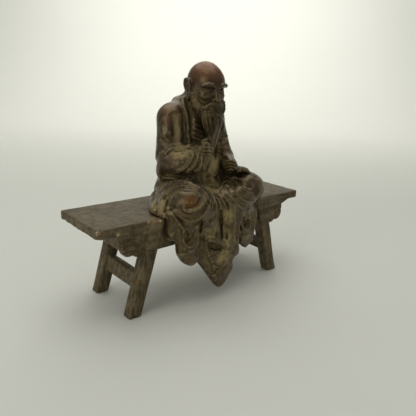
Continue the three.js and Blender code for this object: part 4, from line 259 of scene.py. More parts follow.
# ---------------------------------------------------------------- the figure: masses and folds
def figure_shapes():
    # seat of the figure, torso
    E("pelvis",[1.8,3,45.5],[16,12,9],[0,0,0],3)
    E("belly",[1.2,-1.5,53],[10.5,8.5,9],[0,0,0],3)
    E("ribcage",[1.2,1.0,66],[11.3,8.2,15],[6,0,0],3)
    E("upper_back",[1,5.5,71],[13,8,12],[10,0,0],3)
    E("low_back",[1,5.6,55],[15.5,8.6,18],[0,0,0],3)
    C("shoulder_girdle",[-8.8,3.2,76.4],[10.6,2,76],5.6,5.6,3)
    C("neck",[1.5,2,78],[2.2,-1.5,85],6.5,5.8,3)
    E("neck_cowl",[1.2,4.5,79.8],[9,7,5.2],[16,0,0],3)
    # right arm (toward -X), bent, hand to the beard
    C("upper_arm_r",[-9.9,2.8,75],[-12.3,0,60],5.9,6.1,3)
    C("forearm_r",[-13,-2,60.5],[-7,-12.6,61.8],5.2,3.8,2.5)
    T("sleeve_bag_r",[[-13.8,-1.5,58],[-12.4,-8,57.8],[-7,-13.6,58.6]],[5.0,4.8,3.4],2)
    C("sleeve_low_r",[-14.2,0,53.5],[-10,-9,54.8],4.2,2.6,2.5)
    # left arm (toward +X), hand on the left knee
    C("upper_arm_l",[11,1.5,74.8],[15.2,-1.5,58.5],5.8,5.2,3)
    C("forearm_l",[15.8,-2,57.5],[12.5,-11,55.6],4.8,3.4,2.5)
    # legs, crossed
    C("thigh_r",[-6,2,45.5],[-14,-16,44.2],9.0,8.0,3)
    E("knee_r",[-15.2,-18.2,43.8],[8.6,8.2,8.2],[0,0,0],2)
    C("thigh_l",[10,2,45.5],[21,-11.5,45],8.4,7,3)
    E("knee_l",[22.2,-13,44.9],[8.0,7.6,6.6],[0,0,0],2)
    C("shin_r",[-10,-19.5,41],[3,-18.8,41.6],4.4,4.2,3)
    C("shin_l",[20,-15.5,43],[5,-18.8,42],5,4.2,3)
    E("lap_fill",[3,-11,43.8],[13,9,5],[0,0,0],3)
    # skirt spread on the seat
    E("skirt",[1.5,-2,40.5],[22,14,5],[0,0,0],3)
    C("skirt_l1",[-12,3,45],[-17.5,-6,40],5,3.4,3)
    C("skirt_l2",[-15,-6,42],[-20.5,-12.3,40],4.4,2.8,3)
    C("skirt_r1",[17,2,44],[24,-7,40],5,3,3)
    T("hem_edge",[[-19.3,1.5,42.6],[-20.3,0.7,41.4],[-23.2,-3.0,40.8],[-26.6,-8.5,40.6],[-26.9,-12.8,40.5],[-26.3,-16.7,40.5]],[1.4,1.3,1.1,1.1,1.1,1.0],2.5,0)
    T("hem_fill",[[-18.0,-0.6,43.8],[-20.8,-4.1,42.2],[-23.7,-9.4,41.6],[-23.8,-13.1,41.5]],[2.4,2.5,2.3,2.0],3,0)
    # drapery hanging in front of the bench
    PL("drape_left",[[-25.1,42.7],[-26.0,39.2],[-26.1,34.2],[-25.7,30.6],[-22.8,29.0],[-22.3,25.8],[-20.9,22.4],[-19.1,19.7],[-16.4,17.9],[-13.8,17.9],[-11.7,19.4],[-9.6,21.9],[-7.8,24.2],[-7.5,29.1],[-8.2,35.0],[-9.0,39.9]],-18.4,2.1,1.6,0,0.9,0.7,-15,11,30.0)
    PL("drape_mid",[[-10.7,41.3],[-10.5,34.8],[-9.1,30.5],[-8.3,27.3],[-8.7,24.7],[-10.6,22.1],[-12.2,19.8],[-9.8,15.8],[-6.0,10.6],[-3.2,6.4],[-1.2,4.2],[0.8,4.3],[3.3,6.3],[6.1,9.2],[8.1,11.6],[7.3,14.0],[7.9,15.7],[10.3,16.5],[12.0,18.0],[11.5,21.5],[11.5,25.4],[11.5,30.1],[10.3,37.7]],-19.2,2.1,1.5,0,1.3,0.6,-1,12,30.0)
    PL("drape_right",[[10.3,38.3],[12.3,31.0],[13.1,26.1],[12.9,21.8],[15.1,19.3],[17.1,18.0],[18.6,18.6],[20.2,19.8],[21.5,19.9],[22.4,23.7],[23.1,28.9],[22.7,36.3]],-17.9,1.8,1.4,0,0.5,0.7,12,8,30.0)
    E("drape_root_l",[-14,-18,37.5],[10,5.5,5],[0,0,0],2.5)
    E("drape_root_r",[9,-17.2,38],[12,4.6,5.5],[0,0,0],2.5)
    # head: bald, calm, with long ears, bushy brows and a full beard
    frame_at([2.3,-4.5,89.3],[12,0,-6])
    E("skull",[0,0.5,1.3],[7.3,8.8,8.5],[0,0,0],1.5)
    E("forehead",[0,-2.6,2.4],[6.2,6.0,5.4],[0,0,0],1.5)
    E("face_block",[0,-3.0,-3.4],[5.7,5.2,6.0],[0,0,0],2)
    C("nape",[0,4,-3],[0,5,-9],5.4,6,2.5)
    E("socket_l",[3.0,-9.6,-0.2],[2.3,1.9,1.45],[0,0,16],0.9,1)
    E("socket_r",[-3.0,-9.6,-0.2],[2.3,1.9,1.45],[0,0,-16],0.9,1)
    E("eye_l",[2.9,-6.6,-0.3],[1.75,1.3,1.15],[0,0,16],0.2)
    E("eye_r",[-2.9,-6.6,-0.3],[1.75,1.3,1.15],[0,0,-16],0.2)
    T("lid_up_l",[[1.2,-7.6,-0.5],[2.1,-8.1,0.15],[3.4,-7.9,0.3],[4.7,-6.8,-0.4]],[0.3,0.42,0.42,0.3],0.3)
    T("lid_up_r",[[-1.2,-7.6,-0.5],[-2.1,-8.1,0.15],[-3.4,-7.9,0.3],[-4.7,-6.8,-0.4]],[0.3,0.42,0.42,0.3],0.3)
    T("lid_lo_l",[[1.3,-7.6,-0.7],[2.3,-7.8,-1.25],[3.5,-7.5,-1.25],[4.6,-6.7,-0.6]],[0.25,0.32,0.32,0.25],0.4)
    T("lid_lo_r",[[-1.3,-7.6,-0.7],[-2.3,-7.8,-1.25],[-3.5,-7.5,-1.25],[-4.6,-6.7,-0.6]],[0.25,0.32,0.32,0.25],0.4)
    T("brow_l",[[1.0,-8.7,1.6],[2.4,-9.0,2.35],[4.2,-8.1,2.4],[6.0,-6.2,1.5]],[0.45,0.75,0.8,0.4],0.9)
    T("brow_r",[[-1.0,-8.7,1.6],[-2.4,-9.0,2.35],[-4.2,-8.1,2.4],[-6.0,-6.2,1.5]],[0.45,0.75,0.8,0.4],0.9)
    T("brow_tuft_l",[[4.6,-7.7,2.1],[5.7,-6.9,1.9],[6.2,-6.2,1.3]],[0.6,0.5,0.35],0.7)
    T("brow_tuft_r",[[-4.6,-7.7,2.1],[-5.7,-6.9,1.9],[-6.2,-6.2,1.3]],[0.6,0.5,0.35],0.7)
    FAN("brow_hair_l",4,[[2.0,-9.8,2.1],[3.6,-9.2,2.6],[5.6,-7.3,2.0]],[0,0,1],[0.5,0.6,0.5],[0,1,0],[0.2,0.2,0.2],-0.3,0.28,0.3,0)
    FAN("brow_hair_r",4,[[-2.0,-9.8,2.1],[-3.6,-9.2,2.6],[-5.6,-7.3,2.0]],[0,0,1],[0.5,0.6,0.5],[0,1,0],[0.2,0.2,0.2],-0.3,0.28,0.3,0)
    C("nose",[0,-8.2,1.0],[0,-9.8,-2.6],0.8,1.15,1.0)
    E("nose_tip",[0,-10.1,-3.0],[1.15,1.1,1.0],[0,0,0],0.5)
    E("wing_l",[1.25,-9.0,-3.3],[0.85,1.0,0.75],[0,0,0],0.4)
    E("wing_r",[-1.25,-9.0,-3.3],[0.85,1.0,0.75],[0,0,0],0.4)
    E("cheek_l",[3.9,-5.7,-2.5],[2.1,2.1,1.7],[0,0,0],1.2)
    E("cheek_r",[-3.9,-5.7,-2.5],[2.1,2.1,1.7],[0,0,0],1.2)
    E("lip_up",[0,-8.2,-5.2],[1.9,0.8,0.5],[0,0,0],0.3)
    E("lip_low",[0,-8.1,-6.3],[1.6,0.9,0.6],[0,0,0],0.3)
    E("philtrum",[0,-8.7,-4.7],[1.5,0.9,1.0],[0,0,0],0.6)
    E("lip_front",[0,-9.0,-5.9],[1.5,0.8,0.7],[0,0,0],0.4)
    E("under_lip",[0,-9.2,-7.5],[1.7,1.4,1.3],[0,0,0],0.5)
    E("lip_side_l", [1.75, -8.8, -6.2], [1.35, 1.1, 1.15], [0, 0, 0], 0.4)
    E("lip_side_r", [-1.75, -8.8, -6.2], [1.35, 1.1, 1.15], [0, 0, 0], 0.4)
    S("mouth",[[-1.7,-9.0,-5.6],[0,-9.7,-5.7],[1.7,-9.0,-5.6]],-0.35,0.3)
    T("moustache_l",[[0.3,-9.3,-4.5],[1.8,-9.4,-4.9],[3.4,-8.3,-6.2],[4.3,-7.6,-8.4]],[0.5,0.85,0.8,0.4],0.4)
    T("moustache_r",[[-0.3,-9.3,-4.5],[-1.8,-9.4,-4.9],[-3.4,-8.3,-6.2],[-4.3,-7.6,-8.4]],[0.5,0.85,0.8,0.4],0.4)
    FAN("moustache_hair_l",3,[[0.9,-10.1,-4.6],[2.4,-9.9,-5.4],[4.0,-8.6,-7.4]],[0.3,0,-1],[0.3,0.4,0.3],[0,1,0],[0.1,0.1,0.1],-0.28,0.25,0.3,0)
    FAN("moustache_hair_r",3,[[-0.9,-10.1,-4.6],[-2.4,-9.9,-5.4],[-4.0,-8.6,-7.4]],[-0.3,0,-1],[0.3,0.4,0.3],[0,1,0],[0.1,0.1,0.1],-0.28,0.25,0.3,0)
    # long ears
    E("ear_l",[7.3,1.1,-0.2],[1.1,2.2,3.0],[8,0,-14],0.6)
    E("ear_r",[-7.3,1.1,-0.2],[1.1,2.2,3.0],[8,0,14],0.6)
    T("helix_l",[[7.9,-0.9,-0.6],[8.3,-0.7,1.2],[8.5,0.8,2.4],[8.6,2.6,1.9],[8.4,3.1,-0.2],[8.0,2.2,-2.4]],[0.35,0.45,0.5,0.5,0.5,0.4],0.3)
    T("helix_r",[[-7.9,-0.9,-0.6],[-8.3,-0.7,1.2],[-8.5,0.8,2.4],[-8.6,2.6,1.9],[-8.4,3.1,-0.2],[-8.0,2.2,-2.4]],[0.35,0.45,0.5,0.5,0.5,0.4],0.3)
    E("lobe_l",[7.4,0.5,-4.1],[0.95,1.25,2.3],[0,0,0],0.6)
    E("lobe_r",[-7.4,0.5,-4.1],[0.95,1.25,2.3],[0,0,0],0.6)
    E("concha_l",[8.7,0.9,0],[0.8,1.2,1.7],[0,0,0],0.4,1)
    E("concha_r",[-8.7,0.9,0],[0.8,1.2,1.7],[0,0,0],0.4,1)
    # beard along the jaw, in curls
    T("jaw_beard_l",[[6.6,-1.6,-3.2],[6.3,-3.6,-6.2],[4.4,-6.2,-8.4],[0,-8.4,-9.6]],[1.1,1.8,2.2,2.4],0.9)
    T("jaw_beard_r",[[-6.6,-1.6,-3.2],[-6.3,-3.6,-6.2],[-4.4,-6.2,-8.4],[0,-8.4,-9.6]],[1.1,1.8,2.2,2.4],0.9)
    CURLS("curl_l",8,[[7.5,-2.6,-3.6],[7.4,-5.0,-6.4],[5.6,-7.9,-8.4],[2.6,-10.2,-9.2]],1.05,0.7,0.36,[0.6,-0.5,0.4],[0.1,-0.5,-0.9])
    CURLS("curl_r",8,[[-7.5,-2.6,-3.6],[-7.4,-5.0,-6.4],[-5.6,-7.9,-8.4],[-2.6,-10.2,-9.2]],1.05,0.7,0.36,[-0.6,-0.5,0.4],[-0.1,-0.5,-0.9])
    CURLS("curl_low_l",6,[[7.2,-3.4,-7.0],[5.6,-6.6,-9.8],[2.8,-9.2,-11.0]],0.95,0.7,0.36,[0.6,-0.5,0.4],[0.1,-0.5,-0.9])
    CURLS("curl_low_r",6,[[-7.2,-3.4,-7.0],[-5.6,-6.6,-9.8],[-2.8,-9.2,-11.0]],0.95,0.7,0.36,[-0.6,-0.5,0.4],[-0.1,-0.5,-0.9])
    T("chin_roll",[[-3.6,-8.2,-8.6],[-1.4,-10.2,-9.2],[1.4,-10.2,-9.2],[3.6,-8.2,-8.6]],[1.0,1.4,1.4,1.0],0.5)
    E("lip_close", [0.1, -8.95, -5.4], [1.5, 1.0, 1.15], [0, 0, 0], 0.5)
    frame_at([0,0,0],[0,0,0])
    # robe, right side of the chest
    T("lapel_r",[[-5.0,1.2,83.6],[-6.6,-1.7,80.2],[-6.6,-3.5,76.6],[-6.4,-4.5,72.2],[-6.5,-5.1,68.1],[-10.1,-10.1,65.3]],[0.9,1.0,1.0,1.0,1.0,0.9],1.2,0)
    S("chest_edge_shadow",[[-4.4,-3.7,78.2],[-5.1,-5.1,73.4],[-5.4,-5.7,68.1],[-5.1,-5.8,65.2]],-0.6,0.8,0.25)
    S("lapel_r_g",[[-6.8,-0.2,81.7],[-7.9,-3.1,77.9],[-8.1,-4.0,73.0],[-8.3,-4.7,68.2],[-10.7,-8.3,65.5]],-0.72,0.92,0.25)
    S("robe_ridge_1",[[-9.8,-2.2,79.5],[-9.9,-3.7,74.7],[-10.0,-4.3,69.9],[-11.9,-7.1,65.4]],0.66,1.26,0.25)
    S("robe_valley",[[-12.9,-1.2,79.1],[-12.4,-2.7,76.4],[-12.2,-3.5,72.4],[-12.7,-4.3,68.4],[-13.6,-5.9,65.4]],-1.08,1.84,0.25)
    S("arm_front",[[-15.3,1.1,77.7],[-14.7,-1.1,75.1],[-14.6,-2.4,71.5],[-14.7,-3.3,68.4]],0.72,2.3,0.25)
    S("arm_ridge",[[-16.0,1.7,74.4],[-16.3,-0.1,71.0],[-16.0,-2.2,67.9],[-15.1,-4.5,65.7]],0.6,1.26,0.25)
    S("arm_crease",[[-17.0,0.9,68.4],[-16.7,-1.2,67.4],[-16.1,-3.2,66.0],[-15.3,-4.9,65.0]],-1.08,1.03,0.25)
    S("arm_crease_2",[[-17.9,0.8,64.3],[-17.7,-2.6,64.0],[-16.5,-4.5,64.0]],-0.6,1.03,0.25)
    # sleeve
    T("sleeve_rim",[[-17.5,-4.5,62.4],[-16.2,-5.1,63.7],[-13.8,-7.0,64.3],[-11.5,-9.7,64.7],[-9.4,-10.2,65.5],[-4.0,-6.1,65.3]],[0.5,0.9,1.0,1.0,0.9,0.7],1.0,0)
    S("sleeve_top_groove",[[-16.3,-4.2,64.7],[-13.6,-6.0,65.3],[-10.4,-8.6,65.5]],-0.6,0.8,0.25)
    S("sleeve_under_rim",[[-15.7,-6.2,63.3],[-13.6,-8.8,63.6],[-11.4,-11.3,64.1]],-0.35,0.6,0.25)
    S("sleeve_arc_1",[[-10.1,-12.8,64.5],[-10.9,-13.9,62.3],[-12.8,-13.6,59.2],[-15.2,-11.8,56.6],[-16.5,-7.4,54.5]],0.8,0.9,0.25)
    S("sleeve_arc_1g",[[-11.3,-12.5,63.3],[-12.3,-13.1,61.1],[-14.4,-12.7,58.3],[-16.3,-10.5,56.5]],-0.6,0.9,0.25)
    S("sleeve_arc_2",[[-9.4,-14.6,63.9],[-9.7,-15.5,62.0],[-10.7,-15.2,59.2],[-12.5,-13.6,56.2],[-14.5,-10.9,54.3]],0.8,0.8,0.25)
    S("sleeve_arc_2g",[[-9.9,-14.1,63.8],[-10.4,-14.9,61.6],[-11.9,-14.4,58.8],[-13.8,-12.6,56.0]],-0.7,0.7,0.25)
    S("sleeve_arc_3",[[-8.5,-15.8,63.2],[-8.4,-16.4,61.2],[-8.9,-16.5,58.4],[-9.6,-14.6,55.7],[-11.3,-12.8,54.1]],0.7,0.8,0.25)
    S("sleeve_arc_3g",[[-9.0,-15.6,63.2],[-9.1,-16.2,60.8],[-9.8,-15.8,58.4],[-10.8,-14.1,55.7]],-0.7,0.6,0.25)
    S("sleeve_arc_4g",[[-7.8,-16.5,62.0],[-7.7,-16.9,60.0],[-8.1,-16.7,57.8],[-7.9,-14.4,55.3]],-0.5,0.6,0.25)
    S("cuff_1",[[-10.1,-10.8,65.2],[-10.3,-13.1,64.1],[-10.3,-14.4,62.7]],-0.6,0.45,0.25)
    S("cuff_1r",[[-8.9,-10.3,65.6],[-9.6,-13.5,64.5],[-9.8,-15.1,62.8]],0.4,0.4,0.25)
    S("cuff_2",[[-8.1,-10.4,65.6],[-9.1,-13.8,64.8],[-9.2,-15.4,63.2]],-0.6,0.45,0.25)
    S("cuff_2r",[[-3.9,-6.3,65.0],[-8.3,-14.2,65.0],[-8.4,-15.8,63.4]],0.4,0.4,0.25)
    S("cuff_3",[[-3.1,-6.5,64.8],[-7.9,-14.6,64.9],[-7.8,-16.1,63.2]],-0.6,0.45,0.25)
    T("sleeve_mouth",[[-3.9,-6.3,65.3],[-7.5,-13.5,65.5],[-7.2,-15.8,63.9],[-6.5,-16.6,61.7],[-6.3,-16.9,59.5],[-7.2,-16.7,57.3]],[0.5,0.7,0.8,0.8,0.7,0.5],0.7,0)
    S("sleeve_mouth_g",[[-1.4,-6.9,64.9],[-6.1,-15.3,64.3],[-5.1,-16.1,61.9],[-4.5,-16.0,59.1],[-0.0,-9.7,55.0]],-0.7,0.6,0.25)
    S("sleeve_bottom_groove",[[-14.2,6.9,50.4],[-17.0,-3.8,53.0],[-15.4,-8.7,53.6],[-12.8,-12.2,53.7],[-9.1,-14.0,55.1]],-0.8,0.8,0.25)
    S("waist_band",[[-14.3,7.6,48.9],[-16.7,-3.5,51.9],[-15.2,-9.2,52.5],[-12.9,-13.0,52.8],[-4.6,-9.1,52.6]],0.8,0.9,0.25)
    S("waist_band_g",[[-16.4,3.0,48.8],[-16.5,-3.2,50.6],[-16.0,-10.2,51.7],[-14.7,-15.9,52.5],[-5.4,-10.1,51.6]],-0.7,0.7,0.25)
    S("belly_fold_1",[[-0.3,-9.8,54.6],[-4.9,-16.3,59.6],[5.7,-6.5,60.1]],0.35,1,0.25)
    S("belly_fold_2",[[1.3,-10.0,52.7],[3.2,-9.2,56.3],[7.1,-6.2,59.0]],-0.4,0.9,0.25)
    # bare chest with ribs
    S("rib_0",[[-4.1,-4.7,75.8],[-2.5,-5.5,75.4],[0.1,-6.3,74.6]],0.25,0.8,0.25)
    S("rib_1",[[-4.8,-5.0,74.0],[-2.9,-6.0,73.6],[-0.2,-6.8,72.8]],0.35,0.7,0.25)
    S("rib_2",[[-4.9,-5.6,72.0],[-3.1,-6.4,71.6],[-0.4,-7.1,70.7]],0.4,0.7,0.25)
    S("rib_3",[[-5.0,-5.8,70.1],[-3.2,-6.6,69.6],[-0.4,-7.2,68.8]],0.5,0.6,0.25)
    S("rib_4",[[-5.0,-5.9,68.1],[-3.2,-6.7,67.7],[-0.8,-7.1,66.7]],0.5,0.6,0.25)
    S("rib_g1",[[-5.0,-5.7,71.0],[-3.2,-6.5,70.6],[-0.4,-7.2,69.8]],-0.35,0.6,0.25)
    S("rib_g2",[[-5.0,-5.9,69.1],[-3.2,-6.6,68.6],[-0.4,-7.2,67.8]],-0.4,0.6,0.25)
    S("rib_g3",[[-5.0,-5.9,67.1],[-3.1,-6.6,66.6],[-0.8,-7.1,65.8]],-0.4,0.6,0.25)
    # left lapel and sleeve
    T("lapel_l",[[8.4,-5.3,71.5],[8.2,-5.6,67.7],[9.8,-5.1,64.0],[10.5,-5.1,60.3],[9.3,-6.3,57.0],[6.2,-8.9,54.2],[4.5,-9.4,51.8]],[0.5,0.8,0.9,1.0,1.0,0.9,0.6],1.0,0)
    S("lapel_l_g",[[6.2,-6.4,66.6],[8.4,-4.9,61.8],[5.9,-7.8,57.6],[3.2,-9.8,53.8]],-0.5,0.8,0.25)
    S("lapel_l_gr",[[11.6,-5.6,61.7],[10.1,-7.2,58.0],[9.3,-7.3,54.0]],-0.7,0.8,0.25)
    S("robe_l_1",[[4.9,-12.2,79.9],[12.9,-4.6,74.3],[12.9,-5.2,69.1]],0.6,0.7,0.25)
    S("robe_l_1g",[[3.2,-13.0,79.6],[11.3,-4.9,74.0],[11.4,-5.3,68.8]],-0.7,0.6,0.25)
    S("robe_l_2g",[[6.6,-11.5,80.2],[58.3,44.1,68.2],[14.4,-4.9,69.4]],-0.5,0.6,0.25)
    T("robe_l_y",[[15.4,-4.9,67.6],[13.2,-5.5,66.2],[11.6,-5.4,64.9],[10.6,-5.1,63.0]],[0.5,0.7,0.7,0.6],0.8,0)
    S("robe_l_yg",[[13.3,-5.3,68.2],[11.5,-5.4,66.8],[10.1,-5.3,65.1]],-0.8,0.7,0.25)
    S("robe_l_3",[[16.5,-5.8,62.7],[13.2,-6.5,61.7],[10.8,-6.9,59.2]],0.45,0.9,0.25)
    S("robe_l_3g",[[15.3,-5.7,64.5],[12.5,-5.8,63.2],[11.2,-5.7,60.8]],-0.6,0.8,0.25)
    T("cuff_l_1",[[9.4,-9.7,56.4],[10.0,-11.6,57.7],[11.3,-12.8,58.1],[12.7,-13.9,57.2],[14.4,-13.8,55.8]],[0.35,0.5,0.5,0.5,0.35],0.4,0)
    T("cuff_l_2",[[9.5,-9.4,55.2],[9.6,-12.2,56.6],[10.9,-13.6,57.0],[13.0,-14.3,55.9]],[0.35,0.5,0.5,0.5,0.35],0.4,0)
    T("cuff_l_3",[[10.2,-8.7,53.8],[9.5,-12.4,55.4],[10.8,-13.8,55.7],[13.3,-14.1,54.6],[19.5,-10.1,52.3]],[0.35,0.5,0.5,0.5,0.35],0.4,0)
    T("cuff_l_4",[[11.3,-7.9,52.4],[9.9,-12.6,54.2],[11.4,-13.9,54.4],[17.6,-10.0,52.2],[18.2,-11.8,51.8]],[0.35,0.5,0.5,0.5,0.35],0.4,0)
    S("cuff_l_g2",[[9.3,-9.9,55.8],[9.7,-12.3,57.2],[11.2,-13.5,57.5],[13.0,-14.3,56.4]],-0.5,0.35,0.25)
    S("cuff_l_g3",[[9.4,-9.8,54.6],[9.5,-12.6,56.1],[10.9,-13.9,56.3],[13.9,-14.0,55.0]],-0.5,0.35,0.25)
    S("cuff_l_g4",[[10.9,-8.3,53.1],[9.7,-12.8,54.9],[11.4,-14.2,55.0],[19.3,-9.2,52.3]],-0.5,0.35,0.25)
    S("cuff_l_under",[[10.3,-7.7,51.5],[11.9,-9.9,52.1],[15.1,-11.1,51.3],[17.6,-13.0,51.4]],-0.7,0.7,0.25)
    # right leg
    T("hood_r",[[-26.1,-12.2,42.5],[-20.8,-6.7,44.7],[-18.0,-5.4,47.5],[-17.1,-9.0,50.5],[-15.9,-13.5,52.0],[-15.6,-19.1,52.1],[-14.1,-22.0,51.0]],[0.8,1.2,1.4,1.3,1.1,1.0,0.7],1.4,0)
    T("knee_r_groove",[[-24.0,-15.7,43.9],[-20.9,-11.2,46.0],[-20.4,-12.9,48.9],[-19.7,-16.4,51.1],[-18.2,-19.9,51.7],[-16.5,-22.5,51.0],[-15.6,-24.6,49.3]],[0.5,1.0,1.2,1.2,1.1,0.9,0.5],0.6,1)
    S("knee_r_groove_2",[[-23.4,-15.6,45.0],[-22.0,-13.9,47.2],[-21.0,-14.8,49.3],[-19.7,-17.4,51.0],[-18.1,-20.5,51.3],[-16.6,-23.0,50.3]],-0.84,1.49,0.25)
    T("knee_r_in",[[-22.1,-23.0,44.1],[-20.8,-24.3,43.3],[-18.9,-25.5,43.7],[-16.5,-26.2,44.8],[-14.1,-25.8,46.6],[-12.6,-24.4,48.5],[-12.3,-22.6,50.2]],[0.35,0.7,0.9,1.0,1.0,0.9,0.4],0.9,0)
    S("knee_r_in_g",[[-21.6,-23.6,45.2],[-19.6,-25.1,45.1],[-17.0,-25.8,46.2],[-15.0,-25.0,48.3]],-0.6,0.92,0.25)
    T("knee_r_out",[[-23.6,-19.0,43.0],[-22.6,-21.2,40.7],[-20.3,-23.1,39.3],[-17.6,-24.6,39.4],[-15.1,-25.9,41.3],[-12.8,-26.0,43.7],[-10.0,-24.3,46.2],[-4.6,-17.6,46.8]],[0.4,0.9,1.1,1.1,1.0,0.9,0.8,0.4],1.0,0)
    S("knee_r_mid_g",[[-23.1,-21.5,42.9],[-21.0,-23.8,41.4],[-18.7,-25.4,41.7],[-16.1,-26.3,43.2],[-13.4,-26.1,45.5],[-11.3,-24.4,47.8]],-1.44,0.98,0.25)
    S("knee_r_out_g",[[-25.7,-19.6,42.3],[-23.7,-21.1,39.3],[-20.4,-22.6,37.4],[-17.0,-23.9,37.3],[-13.8,-25.0,39.1]],-1.44,1.15,0.25)
    S("knee_r_low",[[-23.4,-20.5,45.0],[-22.4,-22.5,42.5]],-0.48,1.15,0.25)
    # lap
    T("lap_h1",[[1.1,-10.2,51.0],[1.1,-11.3,49.2],[-0.6,-15.1,48.3]],[1.5,2.0,1.3],0.5,1)
    T("lap_h2",[[7.1,-9.0,50.0],[4.5,-12.5,48.8],[1.1,-16.3,48.1]],[1.2,1.7,1.3],0.5,1)
    T("lap_rim_l",[[-1.9,-9.5,52.1],[-1.6,-10.2,49.6],[-3.0,-14.0,48.1],[-2.2,-16.8,47.2],[-0.3,-18.1,47.0]],[0.5,0.8,0.8,0.7,0.5],0.7,0)
    T("lap_rim_r",[[10.7,-8.2,50.6],[9.1,-10.7,48.5],[3.1,-16.6,47.9],[-0.2,-17.9,47.1]],[0.5,0.7,0.7,0.5],0.6,0)
    T("lap_coil_1",[[10.3,-9.5,49.3],[11.8,-9.4,50.2],[12.6,-10.7,49.7]],[0.45,0.6,0.5],0.4,0)
    T("lap_coil_2",[[8.1,-12.4,48.4],[11.2,-10.9,48.7],[11.9,-12.2,48.3]],[0.45,0.6,0.5],0.4,0)
    T("lap_coil_3",[[3.4,-16.7,47.9],[6.4,-15.1,48.1],[6.9,-16.3,47.8]],[0.45,0.6,0.5],0.4,0)
    S("lap_coil_g1",[[9.7,-10.5,48.7],[11.6,-10.4,49.4],[12.4,-11.5,49.0]],-0.5,0.45,0.25)
    S("lap_coil_g2",[[5.3,-15.0,48.2],[9.4,-12.5,48.2],[9.8,-14.0,47.9]],-0.5,0.45,0.25)
    T("lap_pit",[[-3.2,-19.2,46.2],[-2.7,-20.2,45.8],[-1.9,-21.0,45.4]],[0.7,1.0,0.7],0.4,1)
    S("lap_strap",[[-13.8,-22.0,51.1],[-13.1,-23.6,49.7],[-11.8,-24.7,47.8],[-11.3,-25.3,45.4]],0.6,0.7,0.25)
    S("lap_tie",[[-3.2,-17.7,46.8],[-1.4,-18.8,46.6],[1.1,-19.0,46.9]],0.4,0.5,0.25)
    # left leg: folds radiating from the crossing to the knee
    S("knee_l_0",[[13.2,-10.6,50.5],[15.2,-13.1,49.9],[16.5,-16.2,49.4],[18.8,-18.4,49.1]],0.6,1.15,0.25)
    S("knee_l_0g",[[13.0,-11.5,49.4],[14.2,-14.9,48.3],[15.4,-18.9,47.2],[18.3,-20.3,46.4]],-1.08,0.92,0.25)
    T("knee_l_1",[[12.1,-11.3,48.7],[12.7,-14.6,47.7],[12.4,-18.8,46.7],[14.5,-20.6,45.2],[18.0,-20.9,44.3]],[0.3,0.6,0.7,0.7,0.4],0.7,0)
    S("knee_l_1g",[[10.4,-13.8,47.9],[9.2,-19.6,46.6],[11.5,-21.5,44.4],[16.5,-21.2,42.7]],-1.2,0.8,0.25)
    T("knee_l_2",[[7.5,-15.3,47.9],[6.5,-20.7,46.1],[9.2,-22.1,43.4],[13.8,-21.6,41.2],[19.5,-20.3,40.2]],[0.3,0.6,0.7,0.7,0.4],0.7,0)
    S("knee_l_2g",[[4.3,-18.9,47.3],[4.4,-22.4,45.1],[8.2,-22.6,41.9],[13.9,-21.6,39.3]],-1.2,0.8,0.25)
    T("knee_l_3",[[3.3,-18.8,47.2],[3.4,-22.3,44.9],[5.5,-23.4,41.9],[10.4,-21.9,38.6]],[0.3,0.6,0.7,0.5],0.7,0)
    S("knee_l_3g",[[1.4,-20.6,46.2],[2.2,-23.1,43.6],[4.6,-23.4,40.4]],-1.08,0.69,0.25)
    S("knee_l_out",[[22.6,-17.0,50.7],[22.9,-19.8,48.0],[21.9,-21.1,44.2],[20.5,-20.6,41.1]],0.42,1.84,0.25)
    S("knee_l_out_g",[[20.3,-17.4,50.3],[20.5,-19.9,47.8],[20.0,-21.0,44.9],[18.2,-21.1,42.9]],-0.42,1.26,0.25)
    # fan of folds under the crossing
    T("fan_1",[[-8.2,-22.2,47.1],[-8.7,-24.0,44.7],[-9.6,-24.7,41.2]],[0.4,0.6,0.5],0.6,0)
    T("fan_2",[[-4.1,-19.6,45.9],[-5.5,-22.7,43.9],[-5.8,-23.5,40.3]],[0.4,0.6,0.5],0.6,0)
    T("fan_3",[[-3.3,-20.9,45.2],[-3.4,-22.9,43.1],[-2.8,-23.2,40.1]],[0.4,0.6,0.5],0.6,0)
    T("fan_4",[[-1.5,-21.1,45.2],[-0.7,-22.8,43.1],[1.0,-22.7,39.3],[1.6,-22.5,36.1]],[0.4,0.6,0.6,0.5],0.6,0)
    T("fan_5",[[0.2,-21.3,45.2],[1.5,-23.1,42.6],[3.4,-22.7,38.9]],[0.4,0.6,0.5],0.6,0)
    S("fan_1g",[[-5.9,-20.6,46.0],[-7.2,-23.5,43.9],[-7.7,-24.0,40.7]],-0.8,0.5,0.25)
    S("fan_2g",[[-4.1,-20.9,45.3],[-4.5,-23.0,43.3],[-4.4,-23.5,40.4]],-0.9,0.5,0.25)
    S("fan_3g",[[-2.7,-21.4,45.0],[-2.2,-23.1,43.0],[-0.8,-22.8,39.2]],-0.9,0.5,0.25)
    S("fan_4g",[[-0.8,-21.5,45.0],[0.3,-23.1,42.6],[2.4,-22.7,38.6]],-0.8,0.5,0.25)
    S("fan_0g",[[-11.7,-25.0,47.0],[-11.4,-25.6,44.3],[-12.2,-25.7,42.0]],-0.8,0.6,0.25)
